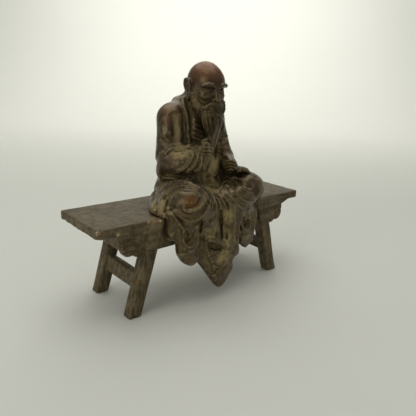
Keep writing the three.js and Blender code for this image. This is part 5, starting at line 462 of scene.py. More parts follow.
    # skirt hem spread on the seat
    S("hem_1",[[-17.3,-2.2,47.8],[-21.2,-4.8,45.0],[-25.5,-9.2,43.3],[-27.4,-11.3,41.9]],0.88,1.12,0.25)
    S("hem_1g",[[-17.3,-0.3,47.8],[-21.2,-3.2,45.1],[-25.1,-7.4,43.3],[-27.4,-10.1,42.0]],-0.38,0.88,0.25)
    S("hem_2",[[-18.5,-5.4,46.9],[-22.3,-8.4,44.3],[-25.9,-12.2,42.9],[-27.7,-14.1,41.2]],0.88,1,0.25)
    S("hem_2g",[[-17.8,-3.7,47.3],[-21.8,-6.6,44.7],[-25.9,-10.9,43.0],[-27.7,-12.8,41.5]],-0.50,0.75,0.25)
    S("hem_3",[[-19.9,-8.3,45.6],[-23.9,-12.9,44.0],[-25.9,-14.7,42.3],[-27.3,-16.3,41.1]],0.88,1,0.25)
    S("hem_3g",[[-19.2,-6.7,46.2],[-22.9,-10.4,44.0],[-25.9,-13.3,42.8],[-27.5,-15.0,41.2]],-0.50,0.75,0.25)
    S("hem_4g",[[-20.9,-10.3,45.0],[-24.2,-14.6,43.6],[-25.4,-15.5,42.0],[-26.8,-17.4,41.1]],-0.50,0.75,0.25)
    S("side_valley",[[-16.2,4.4,48.4],[-13.9,8.2,51.9],[-19.0,0.1,59.9],[-17.5,1.7,65.4]],-0.44,1.38,0.25)
    # hanging folds, left lobe
    T("l_ridge",[[-25.2,-20.2,41.7],[-23.6,-20.9,39.0],[-22.0,-21.6,36.2],[-20.5,-21.1,32.6],[-20.5,-21.0,29.6],[-21.3,-20.8,27.0],[-21.0,-20.6,24.0]],[0.5,0.9,1.0,0.9,0.8,0.6,0.3],1.1,0)
    S("l_ridge_g",[[-24.1,-21.0,37.3],[-22.7,-21.1,34.3],[-22.3,-21.0,30.9],[-22.3,-20.1,27.6]],-0.88,1.43,0.25)
    S("l_step",[[-25.9,-18.6,31.1],[-25.3,-20.2,31.1],[-23.8,-20.6,30.4],[-22.5,-19.6,27.5]],-0.88,0.91,0.25)
    T("l_u",[[-20.5,-21.0,30.5],[-19.5,-21.1,28.2],[-17.7,-21.2,27.1],[-15.6,-21.3,27.7],[-13.8,-21.3,29.3],[-13.3,-21.5,32.1]],[0.5,0.8,0.9,0.8,0.7,0.4],0.8,0)
    T("l_u_hollow",[[-19.6,-21.6,33.4],[-17.9,-21.3,30.3],[-15.9,-21.4,31.1]],[0.9,1.6,1.0],0.7,1)
    S("l_lobe_low",[[-19.3,-21.3,25.1],[-18.0,-21.3,22.7],[-16.1,-21.4,23.5]],-0.38,2.08,0.25)
    T("gap",[[-15.7,-25.2,40.1],[-13.9,-23.5,36.6],[-11.7,-21.2,32.3]],[0.8,1.3,0.7],0.35,1)
    S("gap_low",[[-11.6,-21.3,31.3],[-10.2,-21.2,28.3],[-10.7,-21.3,25.8],[-12.6,-21.4,23.6],[-14.2,-21.4,21.5]],-1.88,1.04,0.25)
    S("l_side",[[-16.3,-24.0,37.2],[-14.2,-21.8,32.8]],0.62,1.04,0.25)
    # hanging folds, middle
    T("m_top",[[-11.3,-21.3,31.6],[-10.1,-21.3,32.3],[-8.8,-21.4,31.2],[-8.3,-21.1,28.3]],[0.4,0.8,0.9,0.7],0.8,0)
    T("m_lip",[[-8.8,-21.3,28.8],[-7.4,-22.3,28.4],[-4.4,-22.7,27.2],[-1.6,-22.8,25.5],[0.9,-22.4,23.1]],[0.7,1.4,1.7,1.5,0.6],0.9,0)
    T("m_mouth",[[-7.4,-21.6,25.3],[-4.7,-22.1,24.1],[-1.2,-22.3,22.7]],[0.9,1.7,1.0],0.5,1)
    S("m_mouth_rim",[[-8.3,-22.0,23.5],[-5.0,-22.5,21.8],[-0.5,-21.9,21.1]],0.44,1.17,0.25)
    T("m_edge",[[-8.8,-21.0,26.6],[-8.5,-21.6,23.6],[-7.4,-22.1,20.3],[-6.0,-22.2,16.8],[-4.9,-22.3,12.9],[-4.1,-22.2,9.3]],[0.6,0.8,0.9,0.9,0.8,0.5],0.9,0)
    S("m_edge_g",[[-9.8,-21.2,23.8],[-10.0,-21.9,20.4],[-8.4,-22.1,16.5],[-6.0,-22.1,11.7]],-1.12,1.56,0.25)
    S("m_v1",[[-6.9,-22.3,22.1],[-4.4,-22.5,19.0],[-1.2,-22.4,19.2],[0.9,-22.6,21.0]],-0.75,1.69,0.25)
    S("m_v2",[[-6.0,-22.4,17.8],[-3.4,-22.6,14.7],[-0.3,-22.6,15.7],[1.3,-22.6,18.4]],0.88,1.17,0.25)
    S("m_v2g",[[-4.6,-21.9,14.7],[-2.7,-22.6,12.1],[0.1,-22.6,13.5]],-0.88,1.43,0.25)
    S("m_right_edge",[[2.1,-22.5,20.5],[0.9,-22.6,18.0],[-0.0,-22.6,15.9],[0.7,-22.6,13.3]],0.75,1.04,0.25)
    S("m_low_r",[[4.1,-22.4,14.8],[1.4,-22.6,12.7],[-1.4,-22.6,9.6],[-3.0,-22.3,7.1]],0.62,1.04,0.25)
    S("m_low_rg",[[1.8,-22.5,15.9],[0.2,-22.6,12.5],[-2.0,-22.6,9.6]],-0.62,1.17,0.25)
    T("m_slit",[[-3.1,-22.7,39.6],[-2.1,-22.1,35.3],[-1.6,-22.1,31.2],[-0.9,-22.1,26.8]],[1.4,1.6,1.1,0.5],0.3,1)
    T("m_col_r",[[-4.8,-23.1,39.5],[-4.1,-22.3,35.3],[-3.2,-22.3,31.2],[-2.2,-22.4,27.6]],[0.5,0.7,0.7,0.5],0.8,0)
    S("m_diag_1",[[-7.1,-22.7,36.4],[-5.0,-22.5,32.0],[-3.0,-22.6,28.5]],-0.62,1.17,0.25)
    S("m_diag_2",[[-10.5,-24.2,38.3],[-7.3,-22.3,32.8],[-5.1,-22.5,28.9]],0.62,1.43,0.25)
    S("m_col_l",[[-13.3,-25.8,41.3],[-12.4,-24.3,37.8],[-10.1,-22.3,34.3]],0.62,1.3,0.25)
    S("m_col_lg",[[-13.3,-24.9,39.0],[-12.3,-23.1,35.4]],-0.62,1.17,0.25)
    T("m_narrow",[[-0.2,-22.4,32.8],[0.5,-22.4,28.6],[1.7,-21.7,24.5],[1.0,-22.4,22.1]],[0.4,0.7,0.8,0.5],0.6,0)
    S("m_valley_b",[[0.9,-22.6,36.2],[1.6,-22.6,30.7],[2.3,-22.4,25.0]],-1.5,0.78,0.25)
    T("m_broad",[[2.9,-22.6,42.1],[4.3,-21.9,36.7],[4.7,-21.6,31.2],[4.4,-21.7,25.7],[3.5,-21.7,21.3],[2.2,-21.8,17.4],[0.1,-21.9,15.1]],[1.2,2.1,2.4,2.3,1.9,1.3,0.6],1.8,0)
    S("m_r_valley",[[6.0,-23.1,40.3],[7.7,-22.1,33.9],[8.4,-21.8,28.2],[8.0,-21.9,24.1]],-2.38,1.3,0.25)
    S("m_rag_1",[[5.2,-22.3,22.3],[7.3,-22.0,21.7],[9.6,-21.6,20.3]],-0.75,0.78,0.25)
    S("m_rag_2",[[3.4,-22.4,19.4],[5.4,-22.2,19.6],[7.9,-21.9,18.9]],-0.75,0.78,0.25)
    S("m_rag_3",[[2.4,-22.5,16.9],[4.0,-22.4,16.3],[5.4,-22.3,15.1]],-0.62,0.65,0.25)
    # hanging folds, right lobe
    T("r_u",[[10.6,-21.4,33.2],[13.4,-19.8,29.4],[15.2,-20.0,27.6],[17.7,-19.8,28.3],[18.9,-19.7,31.2]],[0.4,0.8,0.9,0.8,0.4],0.7,0)
    T("r_u_h",[[13.1,-20.6,33.5],[15.1,-20.1,30.0],[16.8,-20.0,31.4]],[0.7,1.3,0.8],0.5,1)
    S("r_edge",[[10.7,-21.3,29.0],[13.1,-19.4,24.1],[14.5,-20.0,20.9]],0.62,1.04,0.25)
    S("r_g",[[18.5,-20.4,35.7],[19.8,-19.7,30.6],[19.3,-19.8,25.8]],-1,0.91,0.25)
    S("r_top_1",[[9.9,-22.0,38.5],[10.9,-21.9,35.6],[11.2,-21.2,32.6]],0.62,0.91,0.25)
    S("r_top_2",[[14.3,-21.5,38.1],[16.2,-20.7,34.8],[18.4,-19.9,31.3]],0.62,0.91,0.25)
    S("r_low_v",[[13.4,-19.7,26.1],[15.1,-20.1,23.2],[17.7,-20.0,24.8]],0.5,1.17,0.25)
    # broad volumes of the hanging cloth
    S("vol_left",[[-23.9,-20.9,34.5],[-22.5,-20.4,29.0],[-20.5,-21.2,24.5]],-0.85,2.53,0.25)
    S("vol_left_pouch",[[-18.6,-21.3,25.9],[-18.0,-21.3,22.2]],1.02,2.99,0.25)
    S("vol_mid_col",[[-9.2,-23.9,38.4],[-7.1,-22.3,33.3],[-6.4,-22.3,29.6]],1.36,2.3,0.25)
    S("vol_mid_low",[[-5.0,-22.5,21.2],[-4.3,-22.5,17.4]],0.85,2.53,0.25)
    S("vol_mid_left",[[-10.4,-21.8,20.5],[-7.7,-22.1,14.4]],-0.85,2.07,0.25)
    S("vol_tip",[[-4.6,-22.5,12.8],[-3.8,-22.2,8.3]],0.68,2.07,0.25)
    S("vol_right",[[14.9,-20.1,25.4],[14.8,-20.1,22.5]],0.85,2.07,0.25)
    S("vol_right_edge",[[5.6,-22.2,33.4],[6.2,-22.1,26.9]],-1.19,1.38,0.25)
    # right hand gathering the beard
    E("hand_r_palm",[-5.7,-14.4,64.4],[2.0,2.2,2.9],[0,12,0],0.8,0)
    T("finger_r1",[[-7.3,-16.0,67.0],[-6.5,-16.9,67.4],[-4.1,-16.2,66.6]],[0.8,0.8,0.6],0.3,0)
    T("finger_r2",[[-7.6,-16.4,65.8],[-6.5,-17.2,66.1],[-4.0,-16.4,65.3]],[0.8,0.8,0.6],0.3,0)
    T("finger_r3",[[-7.5,-16.4,64.6],[-6.3,-17.1,64.7],[-3.9,-16.3,63.9]],[0.8,0.8,0.6],0.3,0)
    T("finger_r4",[[-7.0,-16.0,63.2],[-5.9,-16.5,63.2],[-4.0,-15.9,62.6]],[0.72,0.7,0.55],0.3,0)
    T("thumb_r",[[-6.8,-14.8,66.3],[-6.2,-14.8,67.9],[-4.7,-15.0,68.7]],[0.95,0.85,0.6],0.4,0)
    # left hand on the knee
    E("hand_l_palm",[15.6,-12.0,53.7],[3.4,2.7,1.7],[0,8,-10],0.8)
    T("finger_l1",[[17.2,-13.8,53.7],[19.6,-14.8,53.0],[21.0,-15.0,51.8]],[0.8,0.75,0.6],0.35)
    T("finger_l2",[[17.6,-12.9,54.1],[20.4,-13.5,53.3],[22.0,-13.5,51.9]],[0.8,0.75,0.6],0.35)
    T("finger_l3",[[17.6,-11.7,54.2],[20.4,-12.0,53.4],[22.1,-11.9,52.0]],[0.8,0.75,0.6],0.35)
    T("finger_l4",[[17.3,-10.5,54.1],[19.8,-10.5,53.3],[21.2,-10.4,52.1]],[0.7,0.7,0.55],0.35)
    # beard falling in strands, the last lock drawn down to the right hand
    T("beard_main",[[0.2,-9.8,79.8],[0.4,-10.6,76.6],[0.2,-11.4,73.5],[-0.6,-12.2,70.7],[-1.0,-12.8,68.3]],[3.2,3.1,2.7,1.9,1.2],1.0,0)
    T("beard_back",[[3.3,-7.5,78.7],[3.5,-8.5,74.7],[1.7,-10.5,70.8]],[3.0,2.8,1.6],1.2,0)
    T("beard_fill",[[5.9,-6.5,78.2],[5.6,-8.0,74.9],[3.7,-9.8,71.4],[1.3,-11.8,67.6],[-0.1,-13.0,64.1]],[3.2,2.9,2.3,1.8,1.2],1.8,0)
    T("beard_tip",[[-1.4,-13.2,70.9],[-2.1,-14.3,67.8],[-2.4,-14.8,65.0],[-2.6,-14.8,62.7]],[1.4,1.25,1.15,0.75],0.5,0)
    T("beard_lock_1",[[-3.0,-10.2,79.2],[-3.8,-11.4,76.5],[-3.6,-12.2,73.3],[-2.5,-12.8,70.5]],[0.8,0.9,0.7,0.3],0.35,0)
    T("beard_lock_2",[[-3.2,-12.0,78.9],[-3.9,-13.2,75.9],[-3.2,-13.4,72.6],[-2.2,-13.6,69.3]],[0.9,0.9,0.75,0.35],0.35,0)
    T("beard_lock_3",[[-2.1,-12.8,79.0],[-2.6,-13.9,75.9],[-2.0,-14.0,72.6],[-1.8,-13.9,68.9]],[0.9,0.9,0.75,0.4],0.35,0)
    T("beard_lock_4",[[0.1,-12.4,78.9],[-0.5,-13.6,75.8],[-0.3,-13.7,72.5],[-0.8,-13.6,69.2]],[0.9,0.9,0.75,0.35],0.35,0)
    T("beard_lock_5",[[3.2,-11.0,78.8],[2.7,-12.0,76.1],[2.3,-12.6,73.1],[0.7,-13.0,69.9]],[0.8,0.85,0.7,0.3],0.35,0)
    # fine strands
    S("strand_1",[[-4.0,-11.3,78.5],[-4.5,-12.3,75.8],[-4.2,-13.4,73.1],[-3.0,-13.8,70.2]],-0.45,0.3,0.25)
    S("strand_2",[[-4.1,-12.4,79.0],[-4.7,-13.5,75.9],[-4.0,-13.7,72.7],[-3.1,-14.2,69.5]],-0.55,0.35,0.25)
    S("strand_3",[[-3.7,-13.0,78.6],[-4.2,-14.1,75.6],[-3.4,-14.1,72.3],[-3.0,-14.7,69.1]],-0.45,0.3,0.25)
    S("strand_4",[[-3.0,-13.1,79.0],[-3.5,-14.2,75.9],[-2.8,-14.2,72.7],[-2.9,-14.8,69.1]],-0.55,0.35,0.25)
    S("strand_5",[[-2.7,-13.8,78.7],[-3.0,-14.7,75.6],[-2.4,-14.6,72.3],[-2.8,-15.1,68.7]],-0.45,0.3,0.25)
    S("strand_6",[[-1.7,-13.6,79.0],[-2.2,-14.7,75.9],[-1.9,-14.8,72.7],[-2.4,-15.1,69.1]],-0.55,0.35,0.25)
    S("strand_7",[[-0.7,-13.6,78.6],[-0.9,-14.4,75.5],[-0.8,-14.3,72.2],[-2.1,-15.2,69.3]],-0.45,0.3,0.25)
    S("strand_8",[[0.2,-13.7,79.0],[-0.0,-14.4,75.8],[-0.2,-14.5,72.6],[-1.6,-15.1,69.7]],-0.55,0.35,0.25)
    S("strand_9",[[-3.0,-14.9,68.7],[-4.6,-16.9,66.3],[-5.0,-17.3,63.9]],-0.3,0.3,0.25)
    S("knuckle_1",[[-7.3,-17.0,66.6],[-6.3,-17.6,66.5]],-0.35,0.3,0.25)
    S("knuckle_2",[[-7.5,-17.3,65.3],[-6.3,-17.7,65.2]],-0.35,0.3,0.25)
    S("knuckle_3",[[-7.3,-17.1,64.0],[-5.7,-17.1,63.7]],-0.35,0.3,0.25)
    S("beard_side_1",[[8.1,-10.0,78.0],[6.7,-10.8,73.5],[4.1,-12.0,69.0]],-0.5,0.4,0.25)
    S("beard_side_2",[[8.9,-7.6,77.5],[7.7,-9.0,73.0],[4.3,-11.0,68.5]],-0.5,0.4,0.25)
    # chin roll and moustache, combed
    S("roll_1",[[-4.6,-9.2,81.3],[-3.2,-10.7,80.2],[-1.6,-12.6,79.9],[0.6,-13.1,80.7]],-0.4,0.35,0.25)
    S("roll_2",[[-4.5,-9.7,80.2],[-4.0,-12.3,79.2],[-2.0,-13.8,79.0],[0.9,-13.4,79.7]],-0.4,0.35,0.25)
    # back and left side: plain long folds
    S("back_1",[[-11.0,9.5,76.0],[-12.5,7.8,66.0],[-13.5,8.6,56.0],[-14.5,8.3,46.0]],-0.7,1.6,0.25)
    S("back_2",[[-6.0,10.2,78.0],[-6.8,12.1,66.0],[-8.0,12.6,56.0],[-9.5,11.9,44.0]],-0.7,1.5,0.25)
    S("back_3",[[1.0,11.8,79.0],[1.2,13.7,68.0],[1.6,14.1,57.0],[2.0,14.9,44.0]],-0.6,1.5,0.25)
    S("back_4",[[8.0,10.5,77.0],[9.0,12.0,66.0],[10.5,12.4,56.0],[12.0,12.2,44.0]],-0.7,1.5,0.25)
    S("back_5",[[-9.0,10.6,72.0],[-10.4,10.7,61.0],[-11.8,10.2,50.0]],0.6,1.4,0.25)
    S("back_6",[[-2.6,12.0,76.0],[-3.0,13.3,64.0],[-3.6,14.0,50.0]],0.6,1.5,0.25)
    S("back_7",[[5.0,11.9,76.0],[5.5,13.2,64.0],[6.6,13.9,50.0]],0.6,1.5,0.25)
    S("back_8",[[11.4,10.4,70.0],[12.6,10.8,60.0],[14.0,10.4,50.0]],0.6,1.3,0.25)
    S("collar_back",[[-7.5,6.4,82.3],[-2.0,9.0,84.0],[4.0,9.1,84.2],[9.5,7.0,82.0]],0.7,1.0,0.25)
    S("collar_back_g",[[-9.0,8.3,80.0],[-2.0,11.0,81.5],[5.0,10.7,81.6],[11.0,7.6,79.6]],-0.6,1.0,0.25)
    S("sash_back",[[-12.0,10.0,51.0],[-4.0,14.0,49.5],[6.0,14.1,49.8],[14.0,10.2,51.5]],-0.5,1.0,0.25)
    S("side_l_1",[[16.9,-1.0,74.0],[18.2,-3.0,66.0],[20.4,-4.5,58.0]],-0.6,1.2,0.25)
    S("side_l_2",[[17.0,3.5,74.0],[17.9,3.0,65.0],[18.5,2.6,56.0],[21.2,3.0,47.0]],-0.7,1.3,0.25)
    S("side_l_3",[[13.7,8.0,72.0],[14.7,7.8,62.0],[16.0,7.6,52.0],[17.8,8.0,44.0]],-0.6,1.3,0.25)
    S("side_l_elbow",[[16.9,-6.0,62.0],[21.0,-1.0,58.5],[18.4,3.0,57.0]],-0.6,0.9,0.25)
    S("side_l_skirt_1",[[27.4,-12.0,50.0],[26.3,-6.0,46.0],[23.9,0.0,43.5]],-0.6,1.1,0.25)
    S("side_l_skirt_2",[[30.1,-13.0,46.0],[27.4,-7.0,43.0],[25.1,-2.0,41.5]],-0.6,0.9,0.25)
    S("side_l_skirt_3",[[25.4,-9.0,50.5],[23.5,-3.0,47.0],[21.7,4.0,45.0]],0.6,1.1,0.25)
    S("side_r_1",[[-15.4,5.5,72.0],[-14.9,6.0,62.0],[-14.1,6.4,52.0],[-15.8,7.0,44.0]],-0.5,1.3,0.25)
    S("side_r_2",[[-11.3,9.0,70.0],[-11.8,9.8,60.0],[-11.5,10.4,50.0],[-10.8,10.8,43.0]],-0.5,1.2,0.25)
    CUT("bench_clear",[-70,-16.1,-5],[70,30,39.6],0.3)


# ---------------------------------------------------------------- seeded smooth noise, for the hand-worked unevenness
def lattice(seed, n=32):
    return np.random.default_rng(seed).random((n, n, n)).astype(F32) * 2 - 1


LAT = [lattice(11), lattice(23), lattice(37)]


def noise(X, Y, Z, size, which=0):
    G = LAT[which]
    n = G.shape[0]
    x, y, z = X / size + 3.7, Y / size + 1.9, Z / size + 5.3
    i, j, k = np.floor(x).astype(np.int32), np.floor(y).astype(np.int32), np.floor(z).astype(np.int32)
    fx, fy, fz = x - i, y - j, z - k
    fx, fy, fz = fx * fx * (3 - 2 * fx), fy * fy * (3 - 2 * fy), fz * fz * (3 - 2 * fz)
    i0, j0, k0, i1, j1, k1 = i % n, j % n, k % n, (i + 1) % n, (j + 1) % n, (k + 1) % n
    return (((G[i0, j0, k0] * (1 - fx) + G[i1, j0, k0] * fx) * (1 - fy) + (G[i0, j1, k0] * (1 - fx) + G[i1, j1, k0] * fx) * fy) * (1 - fz)
            + ((G[i0, j0, k1] * (1 - fx) + G[i1, j0, k1] * fx) * (1 - fy) + (G[i0, j1, k1] * (1 - fx) + G[i1, j1, k1] * fx) * fy) * fz)


# ---------------------------------------------------------------- from shapes to a mesh
def sample(model, lo, hi, h, extra=None, B=8, band=2.0):
    """field on a dense grid, worked out only in the blocks near the surface"""
    lo = np.array(lo, float)
    n = (np.ceil((np.array(hi, float) - lo) / (h * B)).astype(int)) * B
    nb = n // B
    bc = [lo[i] + h * (np.arange(nb[i]) * B + (B - 1) / 2) for i in range(3)]
    bx, by, bz = [g.ravel().astype(F32) for g in np.meshgrid(*bc, indexing='ij')]
    dc = np.full(len(bx), 50, F32)
    for f in model.f:
        if f[3] != 'd':
            dc = apply_shape(f, dc, bx, by, bz)
    ids = np.nonzero(np.abs(dc) < h * B * 0.87 + band)[0]
    OX, OY, OZ = [a.ravel().astype(F32) for a in np.meshgrid(*[h * (np.arange(B) - (B - 1) / 2)] * 3, indexing='ij')]
    D = np.full((len(ids), B ** 3), 50, F32)
    cx, cy, cz = bx[ids], by[ids], bz[ids]
    hb = h * B / 2
    for f in model.f:
        m = f[2] + (2.0 if f[3] == '+' else 0.3) + hb
        l, u = f[0] - m, f[1] + m
        sel = np.nonzero((cx > l[0]) & (cx < u[0]) & (cy > l[1]) & (cy < u[1]) & (cz > l[2]) & (cz < u[2]))[0]
        for s0 in range(0, len(sel), 256):
            q = sel[s0:s0 + 256]
            D[q] = apply_shape(f, D[q], cx[q, None] + OX, cy[q, None] + OY, cz[q, None] + OZ)
    if extra is not None:
        for s0 in range(0, len(ids), 512):
            q = slice(s0, s0 + 512)
            D[q] = extra(D[q], cx[q, None] + OX, cy[q, None] + OY, cz[q, None] + OZ)
    full = np.repeat(np.where(dc < 0, F32(-50), F32(50))[:, None], B ** 3, axis=1)
    full[ids] = D
    G = full.reshape(nb[0], nb[1], nb[2], B, B, B).transpose(0, 3, 1, 4, 2, 5).reshape(n[0], n[1], n[2])
    return np.ascontiguousarray(G), lo


def net(G, lo, h):
    """one vertex in each cell that the surface crosses, one four-sided face across each crossed grid edge"""
    nx, ny, nz = G.shape
    ins = G < 0
    s = np.zeros((nx - 1, ny - 1, nz - 1), np.uint8)
    for a in range(8):
        s += ins[a & 1:nx - 1 + (a & 1), (a >> 1) & 1:ny - 1 + ((a >> 1) & 1), a >> 2:nz - 1 + (a >> 2)]
    ci, cj, ck = np.nonzero((s > 0) & (s < 8))
    idx = np.full(s.shape, -1, np.int32)
    idx[ci, cj, ck] = np.arange(len(ci))
    acc, cnt = np.zeros((len(ci), 3)), np.zeros(len(ci))
    val = {(a & 1, (a >> 1) & 1, a >> 2): G[ci + (a & 1), cj + ((a >> 1) & 1), ck + (a >> 2)].astype(float) for a in range(8)}
    for a in val:
        for axis in range(3):
            if a[axis] == 0:
                b = list(a)
                b[axis] = 1
                va, vb = val[a], val[tuple(b)]
                m = (va < 0) != (vb < 0)
                t = np.where(m, va / np.where(m, va - vb, 1), 0)
                p = np.repeat(np.array(a, float)[None], len(ci), 0)
                p[:, axis] += t
                acc[m] += p[m]
                cnt[m] += 1
    V = np.array(lo) + h * (np.stack([ci, cj, ck], 1) + acc / cnt[:, None])
    quads = []
    for axis in range(3):
        s0, s1 = [slice(1, -1)] * 3, [slice(1, -1)] * 3
        s0[axis], s1[axis] = slice(0, -1), slice(1, None)
        A = ins[tuple(s0)]
        g = np.array(np.nonzero(A != ins[tuple(s1)]))
        first = A[tuple(g)]
        for q in range(3):
            if q != axis:
                g[q] += 1
        u, w = [(1, 2), (2, 0), (0, 1)][axis]

        def cell(du, dw):
            c = g.copy()
            c[u] -= du
            c[w] -= dw
            return idx[c[0], c[1], c[2]]
        Q = np.stack([cell(1, 1), cell(0, 1), cell(0, 0), cell(1, 0)], 1)
        Q[~first] = Q[~first][:, ::-1]
        quads.append(Q)
    Q = np.vstack(quads)
    Q = Q[(Q >= 0).all(1)]
    # the largest connected shell only
    lab = np.arange(len(V))
    Ed = np.vstack([Q[:, [0, 1]], Q[:, [1, 2]], Q[:, [2, 3]], Q[:, [3, 0]]])
    while True:
        m = np.minimum(lab[Ed[:, 0]], lab[Ed[:, 1]])
        new = lab.copy()
        np.minimum.at(new, Ed[:, 0], m)
        np.minimum.at(new, Ed[:, 1], m)
        new = new[new]
        if (new == lab).all():
            break
        lab = new
    u, c = np.unique(lab, return_counts=True)
    keep = lab == u[c.argmax()]
    return V[keep], (np.cumsum(keep) - 1)[Q[keep[Q].all(1)]]


def to_object(name, V, Q):
    me = bpy.data.meshes.new(name)
    me.vertices.add(len(V))
    me.vertices.foreach_set("co", ((V + SHIFT) / 1000.0).astype(F32).ravel())
    me.loops.add(Q.size)
    me.loops.foreach_set("vertex_index", Q.astype(np.int32).ravel())
    me.polygons.add(len(Q))
    me.polygons.foreach_set("loop_start", np.arange(0, Q.size, Q.shape[1], dtype=np.int32))
    me.polygons.foreach_set("loop_total", np.full(len(Q), Q.shape[1], np.int32))
    me.update(calc_edges=True)
    me.validate()
    o = bpy.data.objects.new(name, me)
    bpy.context.scene.collection.objects.link(o)
    return o


def thin(o, most):
    """fewer triangles, fewest where the surface is plain"""
    tri = sum(len(p.vertices) - 2 for p in o.data.polygons) if len(o.data.polygons) < 5000 else len(o.data.loops) - 2 * len(o.data.polygons)
    if tri > most:
        bpy.context.view_layer.objects.active = o
        o.select_set(True)
        m = o.modifiers.new("thin", 'DECIMATE')
        m.ratio = most / tri
        m.use_collapse_triangulate = True
        bpy.ops.object.modifier_apply(modifier=m.name)
        o.select_set(False)
    return o


def mesh_arrays(me):
    V = np.empty(len(me.vertices) * 3, F32)
    me.vertices.foreach_get("co", V)
    N = np.empty(len(me.vertices) * 3, F32)
    me.vertices.foreach_get("normal", N)
    Ed = np.empty(len(me.edges) * 2, np.int32)
    me.edges.foreach_get("vertices", Ed)
    return V.reshape(-1, 3), N.reshape(-1, 3), Ed.reshape(-1, 2)


def smooth_values(x, Ed, rounds):
    n = len(x)
    deg = np.bincount(Ed.ravel(), minlength=n).astype(F32)
    for _ in range(rounds):
        if x.ndim == 1:
            s = np.bincount(Ed[:, 0], x[Ed[:, 1]], n) + np.bincount(Ed[:, 1], x[Ed[:, 0]], n)
            x = 0.5 * x + 0.5 * s / np.maximum(deg, 1)
        else:
            s = np.stack([np.bincount(Ed[:, 0], x[Ed[:, 1], a], n) + np.bincount(Ed[:, 1], x[Ed[:, 0], a], n) for a in range(x.shape[1])], 1)
            x = 0.5 * x + 0.5 * s / np.maximum(deg, 1)[:, None]
    return x


def grid_value(G, lo, h, P):
    u = (P - lo) / h
    c = np.clip(np.floor(u).astype(int), 0, np.array(G.shape) - 2)
    f = np.clip(u - c, 0, 1)
    r = 0
    for a in range(8):
        d = np.array([a & 1, (a >> 1) & 1, a >> 2])
        w = np.where(d, f, 1 - f).prod(1)
        r = r + w * G[c[:, 0] + d[0], c[:, 1] + d[1], c[:, 2] + d[2]]
    return r


def add_attributes(o, fields):
    """how each place lies, 0 to 1: ridge and groove at the scale of the folds, dome and cup at a broader one, shut in by its neighbours"""
    me = o.data
    V, N, Ed = mesh_arrays(me)
    Vm = V.astype(float) * 1000.0 - SHIFT
    el = float(np.mean(np.linalg.norm(Vm[Ed[:, 0]] - Vm[Ed[:, 1]], axis=1)))
    curv = []
    for size in (0.55, 1.6):
        rounds = int(max(2, (size / el) ** 2 * 3))
        Vs = smooth_values(Vm, Ed, min(rounds, 90))
        curv.append(((Vs - Vm) * N).sum(1))          # above zero in a hollow
    shut = np.zeros(len(V))
    for s in (1.0, 2.2, 4.5):
        near = np.full(len(V), 50.0)
        for G, lo, h in fields:
            near = np.minimum(near, grid_value(G, lo, h, Vm + N * s))
        shut += np.clip(1 - near / s, 0, 1) / 3
    top = [np.percentile(np.abs(c), 95) for c in curv]
    fine, broad = np.clip(curv[0] / top[0], -1, 1), np.clip(curv[1] / top[1], -1, 1)
    for name, val in (("ridge", np.maximum(-fine, 0)), ("groove", np.maximum(fine, 0)), ("dome", np.maximum(-broad, 0)),
                      ("cup", np.maximum(broad, 0)), ("shut", smooth_values(shut, Ed, 2))):
        a = me.attributes.new(name, 'FLOAT', 'POINT')
        a.data.foreach_set("value", val.astype(F32))


